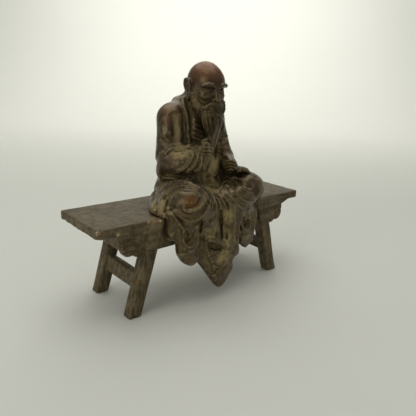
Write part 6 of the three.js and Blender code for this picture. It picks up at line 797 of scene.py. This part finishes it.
# ---------------------------------------------------------------- bench
def bench_shapes():
    L, W, TOP, TH = 55.0, 15.75, 39.3, 3.6
    under = TOP - TH

    def solid_box(lo, hi, r, k, twist=None):
        lo, hi = np.array(lo, float), np.array(hi, float)
        M.add(lo, hi, k, '+', lambda X, Y, Z: box_distance(X, Y, Z, (lo + hi) / 2, (hi - lo) / 2, r))

    solid_box([-L, -W, under], [L, W, TOP], 0.45, 0.3)
    for sy in (-1, 1):
        yo, yi = sy * W, sy * (W - 2.9)
        y0, y1 = min(yo, yi), max(yo, yi)
        # rail with slanted ends

        def rail(X, Y, Z, y0=y0, y1=y1):
            b = box_distance(X, Y, Z, np.array([0, (y0 + y1) / 2, under - 0.7]), np.array([48.6, (y1 - y0) / 2, 1.1]), 0.35)
            slant = (np.abs(X) - 48.5) * 0.37 - (Z - under) * 0.93
            return np.maximum(b, slant)
        M.add([-48.6, y0, under - 1.8], [48.6, y1, under + 0.4], 0.35, '+', rail)
        ya, yb = sy * (W - 0.9), sy * (W - 2.9)
        solid_box([-32, min(ya, yb), 26.2], [32, max(ya, yb), 34.6], 0.3, 0.4)
        # cloud-shaped brackets outside the legs
        yc0, yc1 = sy * (W - 0.5), sy * (W - 3.1)
        ym, hy = (yc0 + yc1) / 2, abs(yc1 - yc0) / 2
        for sx in (-1, 1):
            def bracket(X, Y, Z, sx=sx, ym=ym, hy=hy):
                x = X * sx
                a = np.sqrt((x - 41.4) ** 2 + (Z - 29.7) ** 2) - 3.5
                b = np.sqrt((x - 37.6) ** 2 + (Z - 28.3) ** 2) - 3.0
                c = np.maximum(np.abs(x - 39.2) - 5.7, np.abs(Z - 33.2) - 1.8)
                d = np.maximum(np.abs(x - 36.0) - 3.0, np.abs(Z - 30.8) - 3.6)
                p = soft_min(soft_min(a, b, 0.5), soft_min(c, d, 0.4), 0.5) + 0.35
                q = np.abs(Y - ym) - hy + 0.35
                return np.sqrt(np.maximum(p, 0) ** 2 + np.maximum(q, 0) ** 2) + np.minimum(np.maximum(p, q), 0) - 0.35
            lo = [min(sx * 33, sx * 45), ym - hy, 25.2]
            hi = [max(sx * 33, sx * 45), ym + hy, 35]
            M.add(lo, hi, 0.3, '+', bracket)
            # carved scroll on the bracket's face
            yf = sy * (W - 0.45)
            spiral = []
            for j in range(12):
                a, r = 2.6 - j * 0.62, 2.75 * (1 - 0.075 * j)
                spiral.append([sx * (40.9 + r * math.cos(a)), yf, 29.9 + r * math.sin(a)])
            S("scroll", spiral, -0.55, 0.33, 0.12, 22)
            S("scroll_rim", [[sx * 36.2, yf, 26.4], [sx * 37.6, yf, 28.6], [sx * 36.4, yf, 31.0], [sx * 37.4, yf, 33.4]], -0.5, 0.35, 0.15)
            S("scroll_leaf", [[sx * 38.6, yf, 26.2], [sx * 38.4, yf, 27.6], [sx * 37.2, yf, 29.3]], -0.45, 0.32, 0.2)
            S("scroll_leaf2", [[sx * 43.9, yf, 33.6], [sx * 41.5, yf, 33.9], [sx * 38.8, yf, 33.2]], -0.45, 0.35, 0.2)
            # leg, leaning inward, eased corners

            def leg(X, Y, Z, sx=sx, sy=sy):
                x = (X * sx - (39.9 - 0.2875 * Z)) * 0.961
                y = Y * sy - 13.75
                g = 1 + 0.08 * Z / 38.9
                bow = 0.06 * np.sin(Z * 0.23 + sx * 1.3 + sy)
                qx, qy = np.abs(x + bow) - 2.75 * g + 1.0, np.abs(y + bow) - 2.75 * g + 1.0
                p = np.sqrt(np.maximum(qx, 0) ** 2 + np.maximum(qy, 0) ** 2) + np.minimum(np.maximum(qx, qy), 0) - 1.0 + 0.35
                z = np.abs(Z - 19.45) - 19.45 + 0.35
                return np.sqrt(np.maximum(p, 0) ** 2 + np.maximum(z, 0) ** 2) + np.minimum(np.maximum(p, z), 0) - 0.35
            xs = sorted([sx * 43.2, sx * 25.2])
            ys = sorted([sy * 10.8, sy * 16.9])
            M.add([xs[0], ys[0], 0], [xs[1], ys[1], 38.9], 0.35, '+', leg)
    for sx in (-1, 1):
        solid_box([sx * 44 - 1.2, -14.3, 29.2], [sx * 44 + 1.2, 14.3, 36.1], 0.35, 0.35)

        def stretcher(X, Y, Z, sx=sx):
            x = X * sx - (39.9 - 0.2875 * Z)
            lift = 0.55 * (np.abs(Y) / 11.0) ** 4
            return box_distance(x, Y, Z, np.array([0, 0, 13.7]), np.array([1.5, 13.0, 3.1]), 0.45) - 0.0 * lift
        xs = sorted([sx * 33, sx * 40])
        M.add([xs[0], -13, 10.4], [xs[1], 13, 17.0], 1.0, '+', stretcher)


def bench_finish(D, X, Y, Z):
    """wood-like streaks along each member, unevenness from the wax"""
    flat = (Z > 33.5)
    along = noise(X * 0.06, Y, Z * 1.0, 0.85, 0) * 0.6 + noise(X * 0.05, Y, Z, 1.7, 1) * 0.7 + noise(X * 0.12, Y, Z, 0.5, 2) * 0.35
    sx = np.sign(X)
    ax = X * sx + 0.2875 * Z
    up = noise(ax, Y, Z * 0.07, 0.9, 1) * 0.6 + noise(ax, Y, Z * 0.1, 1.6, 2) * 0.5
    streak = np.where(flat, along, np.where((np.abs(Z - 13.7) < 3.2) & (np.abs(Y) < 11), noise(X, Y * 0.08, Z, 0.9, 0), up))
    lumps = noise(X, Y, Z, 3.4, 1) * 0.07 + noise(X, Y, Z, 8.0, 2) * 0.08
    return (D + 0.085 * streak + lumps * 0.8).astype(F32)


def bench_cuts():
    """dents and chips, at the corners and along the edges"""
    for c, r in (([-54.6, -15.9, 39.4], [1.5, 1.1, 0.8]), ([-55.1, -15.5, 36.2], [1.2, 1.4, 1.2]), ([-44.0, -16.1, 39.6], [1.3, 0.7, 0.6]),
                 ([-33.5, -16.0, 39.7], [1.0, 0.6, 0.5]), ([-55.2, 4.0, 39.5], [0.7, 2.2, 0.6]), ([-55.2, 12.4, 36.0], [0.8, 1.6, 0.7]),
                 ([51.5, -16.0, 39.6], [1.6, 0.7, 0.6]), ([55.2, -9.0, 39.5], [0.7, 2.0, 0.6]), ([38.5, 16.0, 39.6], [2.1, 0.7, 0.6]),
                 ([-20.0, 16.1, 39.6], [1.6, 0.7, 0.5]), ([55.0, 15.4, 36.4], [1.1, 1.2, 1.0]), ([-38.2, -17.0, 20.4], [0.6, 0.7, 1.4]),
                 ([-42.6, -16.3, 5.5], [0.6, 0.7, 1.2]), ([42.5, -16.2, 9.5], [0.6, 0.7, 1.6]), ([36.9, 16.4, 14.0], [0.6, 0.6, 1.5]),
                 ([41.0, 16.6, 1.0], [1.2, 0.8, 0.9]), ([-40.5, -16.7, 0.6], [1.0, 0.7, 0.7])):
        E("chip", c, r, (0, 0, 0), 0.5, 1)


def figure_finish(D, X, Y, Z):
    """slight unevenness of the wax and the casting"""
    return (D + 0.05 * noise(X, Y, Z, 2.6, 0) + 0.06 * noise(X, Y, Z, 6.5, 1) + 0.018 * noise(X, Y, Z, 0.9, 2)).astype(F32)


# ---------------------------------------------------------------- materials
def node(nt, kind, **kw):
    n = nt.nodes.new(kind)
    for k, v in kw.items():
        if k == "inputs":
            for i, val in v.items():
                n.inputs[i].default_value = val
        else:
            setattr(n, k, v)
    return n


def ramp(nt, src, stops, interp='LINEAR'):
    r = nt.nodes.new("ShaderNodeValToRGB")
    r.color_ramp.interpolation = interp
    el = r.color_ramp.elements
    while len(el) < len(stops):
        el.new(0.5)
    for e, (pos, col) in zip(el, stops):
        e.position = pos
        e.color = (*col, 1) if len(col) == 3 else col
    nt.links.new(src, r.inputs[0])
    return r.outputs[0]


def math_node(nt, op, a, b=None, clamp=False):
    m = nt.nodes.new("ShaderNodeMath")
    m.operation = op
    m.use_clamp = clamp
    for i, v in enumerate((a, b)):
        if v is None:
            continue
        if isinstance(v, (int, float)):
            m.inputs[i].default_value = v
        else:
            nt.links.new(v, m.inputs[i])
    return m.outputs[0]


def mix(nt, fac, a, b, kind='MIX'):
    m = nt.nodes.new("ShaderNodeMix")
    m.data_type = 'RGBA'
    m.blend_type = kind
    m.clamp_factor = True
    for sock, v in ((m.inputs[0], fac), (m.inputs[6], a), (m.inputs[7], b)):
        if isinstance(v, (int, float)):
            sock.default_value = v
        elif isinstance(v, tuple):
            sock.default_value = (*v, 1)
        else:
            nt.links.new(v, sock)
    return m.outputs[2]


def smoothstep(nt, src, a, b):
    m = nt.nodes.new("ShaderNodeMapRange")
    m.interpolation_type = 'SMOOTHSTEP'
    m.inputs["From Min"].default_value = a
    m.inputs["From Max"].default_value = b
    nt.links.new(src, m.inputs["Value"])
    return m.outputs["Result"]


def attribute(nt, name):
    a = nt.nodes.new("ShaderNodeAttribute")
    a.attribute_type = 'GEOMETRY'
    a.attribute_name = name
    return a.outputs["Fac"]


def noise_node(nt, vec, scale, detail=4.0, rough=0.55, distortion=0.0):
    n = nt.nodes.new("ShaderNodeTexNoise")
    n.inputs["Scale"].default_value = scale
    n.inputs["Detail"].default_value = detail
    n.inputs["Roughness"].default_value = rough
    n.inputs["Distortion"].default_value = distortion
    nt.links.new(vec, n.inputs["Vector"])
    return n.outputs["Fac"]


def near_point(nt, pos, p, r_in, r_out):
    """1 within r_in of the point p (mm, in the shapes' own layout), 0 beyond r_out"""
    q = (np.array(p, float) + SHIFT) / 1000.0
    d = nt.nodes.new("ShaderNodeVectorMath")
    d.operation = 'DISTANCE'
    d.inputs[1].default_value = tuple(q)
    nt.links.new(pos, d.inputs[0])
    return smoothstep(nt, d.outputs["Value"], r_out / 1000.0, r_in / 1000.0)


def new_material(name):
    mat = bpy.data.materials.new(name)
    mat.use_nodes = True
    nt = mat.node_tree
    nt.nodes.clear()
    out = nt.nodes.new("ShaderNodeOutputMaterial")
    sh = nt.nodes.new("ShaderNodeBsdfPrincipled")
    nt.links.new(sh.outputs[0], out.inputs[0])
    tc = nt.nodes.new("ShaderNodeTexCoord")
    return mat, nt, sh, tc.outputs["Object"]


# where the khaki dust lies thickest (place, reach, strength): belly, robe front, broad hanging fold, sleeve,
# skirt on the seat, jaw, lap, left lapel
KHAKI_PLACES = (([5.1, -7.9, 56.8], 8.0, 1.0), ([2.6, -9.8, 52.0], 7.0, 1.0), ([-11.9, -2.8, 72.3], 6.0, 0.55),
                ([2.7, -23.5, 37.5], 6.5, 1.0), ([2.7, -23.4, 26.6], 7.0, 1.0), ([0.8, -23.1, 18.7], 6.0, 0.9),
                ([-14.0, -9.0, 62.8], 5.5, 0.9), ([-25.5, -10.7, 43.5], 9.0, 0.8), ([-5.9, -7.5, 82.6], 4.5, 0.55),
                ([-2.5, -16.0, 47.5], 6.0, 0.9), ([-7.0, -23.5, 31.8], 6.0, 0.8), ([12.0, -9.0, 66.0], 5.0, 0.5), ([-5.4, -14.0, 80.5], 3.2, 0.6))
# where it has stayed dark and smooth: outer arm, both knees, the left thigh, the drawn-out beard
RUBBED_PLACES = (([-16.8, 0.9, 71.3], 9.0), ([-18.4, 1.5, 60.9], 10.0), ([-20.3, -20.9, 49.8], 6.0), ([-19.0, -24.0, 44.0], 5.0),
                 ([18.6, -17.9, 49.5], 9.0), ([25.0, -12.0, 47.0], 8.0),
                 ([-2.9, -14.5, 73.5], 5.0))


def figure_material():
    mat, nt, sh, pos = new_material("figure_bronze")
    L = nt.links
    ridge, groove, dome, cup, shut = [attribute(nt, n) for n in ("ridge", "groove", "dome", "cup", "shut")]
    big = noise_node(nt, pos, 90, 5, 0.6, 0.3)
    mid = noise_node(nt, pos, 330, 5, 0.6)
    fine = noise_node(nt, pos, 1400, 4, 0.6)
    # patina: dark chocolate to a warmer brown
    base = mix(nt, smoothstep(nt, big, 0.35, 0.68), (0.017, 0.011, 0.006), (0.038, 0.024, 0.011))
    base = mix(nt, math_node(nt, 'MULTIPLY', smoothstep(nt, mid, 0.5, 0.75), 0.4), base, (0.054, 0.037, 0.016))
    # rubbed reddish copper on the crown, amber on the right knee; the warm patch on the shoulder's top is partly rubbed
    # copper, partly a painted highlight
    crown = math_node(nt, 'MULTIPLY', near_point(nt, pos, [1.5, -8.0, 98.5], 2.0, 12.0), smoothstep(nt, big, 0.2, 0.5))
    base = mix(nt, math_node(nt, 'MULTIPLY', crown, 0.9), base, (0.175, 0.050, 0.015))
    # partly rubbed copper, partly a painted highlight on the shoulder's top
    shoulder_copper_and_highlight = math_node(nt, 'MULTIPLY', near_point(nt, pos, [-14.5, -1.5, 78.0], 0.5, 7.0), smoothstep(nt, mid, 0.35, 0.6))
    base = mix(nt, math_node(nt, 'MULTIPLY', shoulder_copper_and_highlight, 0.6), base, (0.20, 0.090, 0.045))
    amber = near_point(nt, pos, [-19.6, -24.3, 47.0], 0.6, 4.5)
    base = mix(nt, math_node(nt, 'MULTIPLY', amber, 0.85), base, (0.120, 0.044, 0.005))
    # khaki dust: a soft veil over the flat and hollow cloth; the thin lighter line along the folds' crests is a painted
    # highlight
    n1 = math_node(nt, 'MULTIPLY', math_node(nt, 'SUBTRACT', mid, 0.5), 0.9)
    n2 = math_node(nt, 'MULTIPLY', math_node(nt, 'SUBTRACT', fine, 0.5), 0.8)
    low = nt.nodes.new("ShaderNodeSeparateXYZ")
    L.new(pos, low.inputs[0])
    front = None
    for p, r, s in KHAKI_PLACES:
        g = math_node(nt, 'MULTIPLY', near_point(nt, pos, p, r * 0.3, r), s)
        front = g if front is None else math_node(nt, 'MAXIMUM', front, g)
    lie = math_node(nt, 'SUBTRACT', math_node(nt, 'MULTIPLY', cup, 0.45), math_node(nt, 'MULTIPLY', dome, 1.0))
    lie = math_node(nt, 'ADD', lie, math_node(nt, 'MULTIPLY', shut, 0.35))
    lie = math_node(nt, 'ADD', lie, math_node(nt, 'MULTIPLY', math_node(nt, 'SUBTRACT', big, 0.5), 0.9))
    lie = math_node(nt, 'ADD', lie, math_node(nt, 'MULTIPLY', front, 0.72))
    rubbed = None
    for p, r in RUBBED_PLACES:
        g = near_point(nt, pos, p, r * 0.3, r)
        rubbed = g if rubbed is None else math_node(nt, 'MAXIMUM', rubbed, g)
    lie = math_node(nt, 'SUBTRACT', lie, math_node(nt, 'MULTIPLY', rubbed, 0.60))
    lie = smoothstep(nt, math_node(nt, 'ADD', math_node(nt, 'ADD', lie, n1), n2), -0.20, 0.95)
    # painted highlight: a lighter line along the fold crests, strongest low on the cloth
    painted_crest_highlight = smoothstep(nt, math_node(nt, 'ADD', ridge, n2), 0.30, 0.95)
    painted_crest_highlight = math_node(nt, 'MULTIPLY', painted_crest_highlight, math_node(nt, 'ADD', math_node(nt, 'MULTIPLY', smoothstep(nt, low.outputs["Z"], 0.075, 0.060), 0.32), 0.28))
    # khaki cover: the dust veil together with the painted crest highlight; it also roughens and dulls these places
    khaki_cover = math_node(nt, 'MAXIMUM', lie, painted_crest_highlight)
    khaki_cover = math_node(nt, 'MULTIPLY', khaki_cover, math_node(nt, 'ADD', math_node(nt, 'MULTIPLY', smoothstep(nt, low.outputs["Z"], 0.089, 0.083), 0.82), 0.18))
    dust_and_crest_highlight_color = mix(nt, smoothstep(nt, mid, 0.38, 0.62), (0.380, 0.298, 0.132), (0.225, 0.182, 0.078))
    # the crests take the lighter colour of the painted highlight
    dust_and_crest_highlight_color = mix(nt, math_node(nt, 'MULTIPLY', painted_crest_highlight, 0.7), dust_and_crest_highlight_color, (0.360, 0.290, 0.140))
    dust_and_crest_highlight_color = mix(nt, math_node(nt, 'MULTIPLY', front, 0.6), dust_and_crest_highlight_color, (0.490, 0.390, 0.185))
    base = mix(nt, math_node(nt, 'MULTIPLY', khaki_cover, 0.85), base, dust_and_crest_highlight_color)
    # dark and light speckle of the worn skin
    grain = noise_node(nt, pos, 640, 4, 0.7)
    base = mix(nt, math_node(nt, 'MULTIPLY', smoothstep(nt, grain, 0.53, 0.66), 0.55), base, (0.016, 0.011, 0.006))
    base = mix(nt, math_node(nt, 'MULTIPLY', math_node(nt, 'MULTIPLY', smoothstep(nt, grain, 0.46, 0.34), 0.42), khaki_cover), base, (0.400, 0.320, 0.155))
    # painted shade: the grooves and shut-in places are darkened
    deep_painted_shade = math_node(nt, 'ADD', math_node(nt, 'MULTIPLY', groove, 0.5), math_node(nt, 'MULTIPLY', shut, 1.0))
    deep_painted_shade = smoothstep(nt, deep_painted_shade, 0.32, 1.0)
    base = mix(nt, math_node(nt, 'MULTIPLY', deep_painted_shade, 0.78), base, (0.027, 0.021, 0.011))
    tip = math_node(nt, 'MULTIPLY', near_point(nt, pos, [-1.6, -21.0, 5.8], 0.3, 1.3), smoothstep(nt, fine, 0.4, 0.55))
    hem = math_node(nt, 'MULTIPLY', near_point(nt, pos, [-26.4, -10.4, 41.8], 0.4, 1.7), smoothstep(nt, fine, 0.4, 0.55))
    base = mix(nt, math_node(nt, 'MAXIMUM', tip, hem), base, (0.42, 0.27, 0.16))
    rough = near_point(nt, pos, [-26.5, -15.5, 40.3], 0.8, 4.2)
    rough = math_node(nt, 'MULTIPLY', rough, smoothstep(nt, fine, 0.40, 0.56))
    base = mix(nt, math_node(nt, 'MULTIPLY', rough, 0.7), base, (0.270, 0.180, 0.090))
    L.new(base, sh.inputs["Base Color"])
    sh.inputs["Metallic"].default_value = 0.0
    # the beard reflects less than the polished cloth
    hair = math_node(nt, 'MAXIMUM', near_point(nt, pos, [-2.0, -13.5, 74.0], 2.0, 9.0), near_point(nt, pos, [3.0, -12.5, 77.0], 2.0, 8.0))
    r = math_node(nt, 'ADD', math_node(nt, 'MULTIPLY', khaki_cover, 0.45), math_node(nt, 'MULTIPLY', mid, 0.26))
    r = math_node(nt, 'ADD', r, math_node(nt, 'MULTIPLY', hair, 0.25))
    r = math_node(nt, 'ADD', r, 0.15, clamp=True)
    L.new(r, sh.inputs["Roughness"])
    gloss = math_node(nt, 'SUBTRACT', 1.0, math_node(nt, 'MULTIPLY', khaki_cover, 0.95))
    # less reflection in the painted shade of the grooves and shut-in places
    gloss = math_node(nt, 'MULTIPLY', gloss, math_node(nt, 'SUBTRACT', 1.0, math_node(nt, 'MULTIPLY', deep_painted_shade, 0.8)))
    gloss = math_node(nt, 'MULTIPLY', gloss, math_node(nt, 'SUBTRACT', 1.0, math_node(nt, 'MULTIPLY', math_node(nt, 'MAXIMUM', crown, amber), 0.45)))
    gloss = math_node(nt, 'MULTIPLY', gloss, math_node(nt, 'SUBTRACT', 1.0, math_node(nt, 'MULTIPLY', hair, 0.75)))
    L.new(gloss, sh.inputs["Specular IOR Level"])
    sh.inputs["Specular Tint"].default_value = (1.0, 0.76, 0.48, 1)
    b = nt.nodes.new("ShaderNodeBump")
    b.inputs["Strength"].default_value = 0.5
    b.inputs["Distance"].default_value = 0.0004
    hgt = math_node(nt, 'ADD', math_node(nt, 'MULTIPLY', mid, 0.6), math_node(nt, 'MULTIPLY', fine, 0.4))
    L.new(hgt, b.inputs["Height"])
    L.new(b.outputs[0], sh.inputs["Normal"])
    return mat


def bench_material():
    mat, nt, sh, pos = new_material("bench_bronze")
    L = nt.links
    ridge, groove, dome, cup, shut = [attribute(nt, n) for n in ("ridge", "groove", "dome", "cup", "shut")]
    stretch = nt.nodes.new("ShaderNodeMapping")
    stretch.inputs["Scale"].default_value = (0.09, 1.0, 0.6)
    L.new(pos, stretch.inputs["Vector"])
    along = noise_node(nt, stretch.outputs[0], 1100, 5, 0.65)
    upright = nt.nodes.new("ShaderNodeMapping")
    upright.inputs["Scale"].default_value = (1.0, 1.0, 0.09)
    L.new(pos, upright.inputs["Vector"])
    up = nt.nodes.new("ShaderNodeSeparateXYZ")
    L.new(pos, up.inputs[0])
    legs = smoothstep(nt, up.outputs["Z"], 0.0300, 0.0235)
    streak = math_node(nt, 'ADD', math_node(nt, 'MULTIPLY', noise_node(nt, upright.outputs[0], 900, 5, 0.65), legs),
                       math_node(nt, 'MULTIPLY', along, math_node(nt, 'SUBTRACT', 1.0, legs)))
    big = noise_node(nt, pos, 70, 5, 0.6, 0.4)
    mid = noise_node(nt, pos, 420, 5, 0.6)
    fine = noise_node(nt, pos, 1700, 4, 0.6)
    base = mix(nt, smoothstep(nt, big, 0.38, 0.62), (0.048, 0.036, 0.017), (0.125, 0.100, 0.050))
    base = mix(nt, math_node(nt, 'MULTIPLY', smoothstep(nt, streak, 0.44, 0.62), 0.75), base, (0.180, 0.143, 0.078))
    base = mix(nt, math_node(nt, 'MULTIPLY', smoothstep(nt, mid, 0.48, 0.62), 0.55), base, (0.040, 0.028, 0.013))
    lie = math_node(nt, 'ADD', math_node(nt, 'MULTIPLY', cup, 0.6), math_node(nt, 'MULTIPLY', shut, 0.5))
    khaki_cover = smoothstep(nt, math_node(nt, 'ADD', lie, math_node(nt, 'MULTIPLY', math_node(nt, 'SUBTRACT', mid, 0.5), 0.6)), 0.25, 0.8)
    base = mix(nt, math_node(nt, 'MULTIPLY', khaki_cover, 0.7), base, (0.125, 0.105, 0.055))
    # painted shade: darker where the surface is shut in by its neighbours
    base = mix(nt, math_node(nt, 'MULTIPLY', smoothstep(nt, shut, 0.5, 0.85), 0.6), base, (0.022, 0.018, 0.010))
    rub = math_node(nt, 'MULTIPLY', smoothstep(nt, ridge, 0.45, 1.0), smoothstep(nt, fine, 0.45, 0.62))
    base = mix(nt, math_node(nt, 'MULTIPLY', rub, 0.6), base, (0.26, 0.19, 0.105))
    base = mix(nt, math_node(nt, 'MULTIPLY', smoothstep(nt, streak, 0.50, 0.38), math_node(nt, 'ADD', math_node(nt, 'MULTIPLY', legs, 0.45), 0.15)), base, (0.028, 0.021, 0.011))
    # painted shade: the seat's top face is made darker, against the strong overhead light
    base = mix(nt, math_node(nt, 'MULTIPLY', smoothstep(nt, up.outputs["Z"], 0.0386, 0.0392), 0.42), base, (0.030, 0.024, 0.014))
    grain = noise_node(nt, pos, 560, 4, 0.7)
    base = mix(nt, math_node(nt, 'MULTIPLY', smoothstep(nt, grain, 0.53, 0.66), 0.45), base, (0.026, 0.019, 0.010))
    tan = near_point(nt, pos, [-29.5, -15.5, 38.5], 1.2, 5.5)
    tan = math_node(nt, 'MULTIPLY', tan, smoothstep(nt, math_node(nt, 'ADD', math_node(nt, 'MULTIPLY', mid, 0.5), math_node(nt, 'MULTIPLY', fine, 0.5)), 0.42, 0.58))
    base = mix(nt, math_node(nt, 'MULTIPLY', tan, 0.8), base, (0.24, 0.165, 0.080))
    tan = near_point(nt, pos, [37.7, -15.7, 29.2], 1.0, 4.0)
    tan = math_node(nt, 'MULTIPLY', tan, smoothstep(nt, fine, 0.46, 0.58))
    base = mix(nt, math_node(nt, 'MULTIPLY', tan, 0.7), base, (0.26, 0.185, 0.095))
    rust = math_node(nt, 'MULTIPLY', near_point(nt, pos, [-38.4, -15.2, 15.3], 0.3, 1.3), smoothstep(nt, fine, 0.35, 0.55))
    base = mix(nt, math_node(nt, 'MULTIPLY', rust, 0.8), base, (0.22, 0.085, 0.022))
    for p, r in (([-54.5, -15.6, 38.6], 1.3), ([-46.6, -15.9, 36.6], 1.0), ([-33.3, -15.9, 39.0], 0.9), ([-28.4, -16.5, 38.6], 0.9)):
        spot = math_node(nt, 'MULTIPLY', near_point(nt, pos, p, r * 0.25, r), smoothstep(nt, fine, 0.4, 0.55))
        base = mix(nt, spot, base, (0.55, 0.42, 0.24))
    L.new(base, sh.inputs["Base Color"])
    sh.inputs["Metallic"].default_value = 0.0
    r = math_node(nt, 'ADD', math_node(nt, 'MULTIPLY', khaki_cover, 0.2), math_node(nt, 'MULTIPLY', mid, 0.3))
    r = math_node(nt, 'ADD', r, 0.42, clamp=True)
    L.new(r, sh.inputs["Roughness"])
    sh.inputs["Specular IOR Level"].default_value = 0.5
    sh.inputs["Specular Tint"].default_value = (1.0, 0.80, 0.56, 1)
    b = nt.nodes.new("ShaderNodeBump")
    b.inputs["Strength"].default_value = 0.5
    b.inputs["Distance"].default_value = 0.0003
    hgt = math_node(nt, 'ADD', math_node(nt, 'MULTIPLY', streak, 0.6), math_node(nt, 'MULTIPLY', fine, 0.4))
    L.new(hgt, b.inputs["Height"])
    L.new(b.outputs[0], sh.inputs["Normal"])
    return mat


# ---------------------------------------------------------------- make the pieces
def make_figure():
    global M
    M = Model()
    figure_shapes()
    G, lo = sample(M, [-31, -32, 0], [37, 22, 104], H_FIGURE, figure_finish)
    V, Q = net(G, lo, H_FIGURE)
    o = thin(to_object("figure_cast", V, Q), MOST_TRIANGLES)
    return o, (G, lo, H_FIGURE)


def make_bench():
    global M
    M = Model()
    bench_shapes()
    bench_cuts()
    G, lo = sample(M, [-57, -19, -2], [57, 19, 42], H_BENCH, bench_finish)
    V, Q = net(G, lo, H_BENCH)
    V[:, 2] = np.maximum(V[:, 2], 0.0)
    o = thin(to_object("bench_cast", V, Q), MOST_TRIANGLES)
    return o, (G, lo, H_BENCH)


figure, field_f = make_figure()
bench, field_b = make_bench()
for o in (figure, bench):
    add_attributes(o, (field_f, field_b))
    o.data.polygons.foreach_set("use_smooth", np.ones(len(o.data.polygons), bool))
figure.data.materials.append(figure_material())
bench.data.materials.append(bench_material())
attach(figure, "root")
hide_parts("figure")
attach(bench, "root")
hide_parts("bench")


# ---------------------------------------------------------------- floor, light and camera
def make_stage():
    me = bpy.data.meshes.new("floor")
    n, rows = 24, []
    depth = 0.55
    for i in range(n + 1):
        if i < 8:
            rows.append((-0.8 + (0.8 + depth) * i / 8, 0.0))
        else:
            a = (i - 8) / (n - 8) * math.pi / 2
            rows.append((depth + 0.5 * math.sin(a), 0.5 - 0.5 * math.cos(a)))
    rows.append((depth + 0.5, 2.0))
    az = math.radians(-40.52)
    right, back = np.array([math.cos(az), math.sin(az)]), np.array([-math.sin(az), math.cos(az)])
    V, F = [], []
    for d, z in rows:
        for s in (-1.6, 1.6):
            p = right * s + back * d
            V.append((p[0], p[1], z - 0.00003))      # a hair under the feet
    for i in range(len(rows) - 1):
        F.append((2 * i, 2 * i + 1, 2 * i + 3, 2 * i + 2))
    me.from_pydata(V, [], F)
    me.polygons.foreach_set("use_smooth", np.ones(len(F), bool))
    o = bpy.data.objects.new("floor", me)
    bpy.context.scene.collection.objects.link(o)
    mat, nt, sh, pos = new_material("pale_paper")
    f = noise_node(nt, pos, 6, 3, 0.5)
    nt.links.new(mix(nt, f, (0.645, 0.655, 0.605), (0.675, 0.685, 0.635)), sh.inputs["Base Color"])
    sh.inputs["Roughness"].default_value = 0.75
    sh.inputs["Specular IOR Level"].default_value = 0.25
    me.materials.append(mat)
    return o


def area_light(name, loc, target, size, power, color=(1, 1, 1), size_y=None):
    ld = bpy.data.lights.new(name, 'AREA')
    ld.energy = power
    ld.color = color
    ld.size = size
    if size_y:
        ld.shape = 'RECTANGLE'
        ld.size_y = size_y
    lo = bpy.data.objects.new(name, ld)
    lo.location = loc
    lo.rotation_euler = (Vector(target) - Vector(loc)).to_track_quat('-Z', 'Y').to_euler()
    bpy.context.scene.collection.objects.link(lo)
    return lo


make_stage()
RIGHT = Vector((math.cos(math.radians(-40.52)), math.sin(math.radians(-40.52)), 0))
AWAY = Vector((-RIGHT.y, RIGHT.x, 0))                # from the camera toward the backdrop
area_light("top_softbox", RIGHT * -0.06 + AWAY * 0.15 + Vector((0, 0, 0.62)), (0, 0, 0.03), 0.70, 2.15, (1.0, 0.99, 0.955), 0.70)
area_light("front_fill", RIGHT * -0.42 + AWAY * -0.5 + Vector((0, 0, 0.32)), (0, 0, 0.04), 0.4, 0.85, (1.0, 0.985, 0.955), 0.4)
area_light("back_wash", AWAY * 0.66 + Vector((0, 0, 0.66)), AWAY * 1.05 + Vector((0, 0, 0.36)), 0.8, 5.2, (1.0, 0.99, 0.95), 0.6)

# even surroundings, brighter overhead than at the horizon
world = bpy.data.worlds.new("studio")
bpy.context.scene.world = world
world.use_nodes = True
wn = world.node_tree
bg = wn.nodes["Background"]
wtc = wn.nodes.new("ShaderNodeTexCoord")
wsep = wn.nodes.new("ShaderNodeSeparateXYZ")
wn.links.new(wtc.outputs["Generated"], wsep.inputs[0])
wn.links.new(ramp(wn, math_node(wn, 'ADD', math_node(wn, 'MULTIPLY', wsep.outputs["Z"], 0.5), 0.5),
                  [(0.0, (0.15, 0.15, 0.142)), (0.5, (0.16, 0.16, 0.152)), (0.75, (0.28, 0.278, 0.264)), (1.0, (0.50, 0.495, 0.472))]), bg.inputs[0])
bg.inputs[1].default_value = 1.0

# camera, worked out from the bench's own corners and feet
CAM_AZ, CAM_EL, CAM_ROLL = math.radians(-40.5211), math.radians(16.6917), math.radians(2.0253)
back = np.array([math.sin(CAM_AZ) * math.cos(CAM_EL), -math.cos(CAM_AZ) * math.cos(CAM_EL), math.sin(CAM_EL)])
fw = -back
rt = np.cross(fw, [0, 0, 1.0])
rt /= np.linalg.norm(rt)
up = np.cross(rt, fw)
r2 = rt * math.cos(CAM_ROLL) + up * math.sin(CAM_ROLL)
u2 = -rt * math.sin(CAM_ROLL) + up * math.cos(CAM_ROLL)
cam_pos = (np.array([-123.710, -156.380, 95.104]) + SHIFT) / 1000.0
cd = bpy.data.cameras.new("camera")
cd.sensor_width = 36.0
cd.lens = 455.2675 / 416.0 * 36.0
cd.clip_start = 0.01
cd.clip_end = 20.0
cam = bpy.data.objects.new("camera", cd)
m = Matrix.Identity(4)
for i in range(3):
    m[i][0], m[i][1], m[i][2], m[i][3] = r2[i], u2[i], back[i], cam_pos[i]
cam.matrix_world = m
bpy.context.scene.collection.objects.link(cam)
bpy.context.scene.camera = cam
bpy.context.scene.view_settings.view_transform = 'Standard'
bpy.context.scene.view_settings.look = 'None'
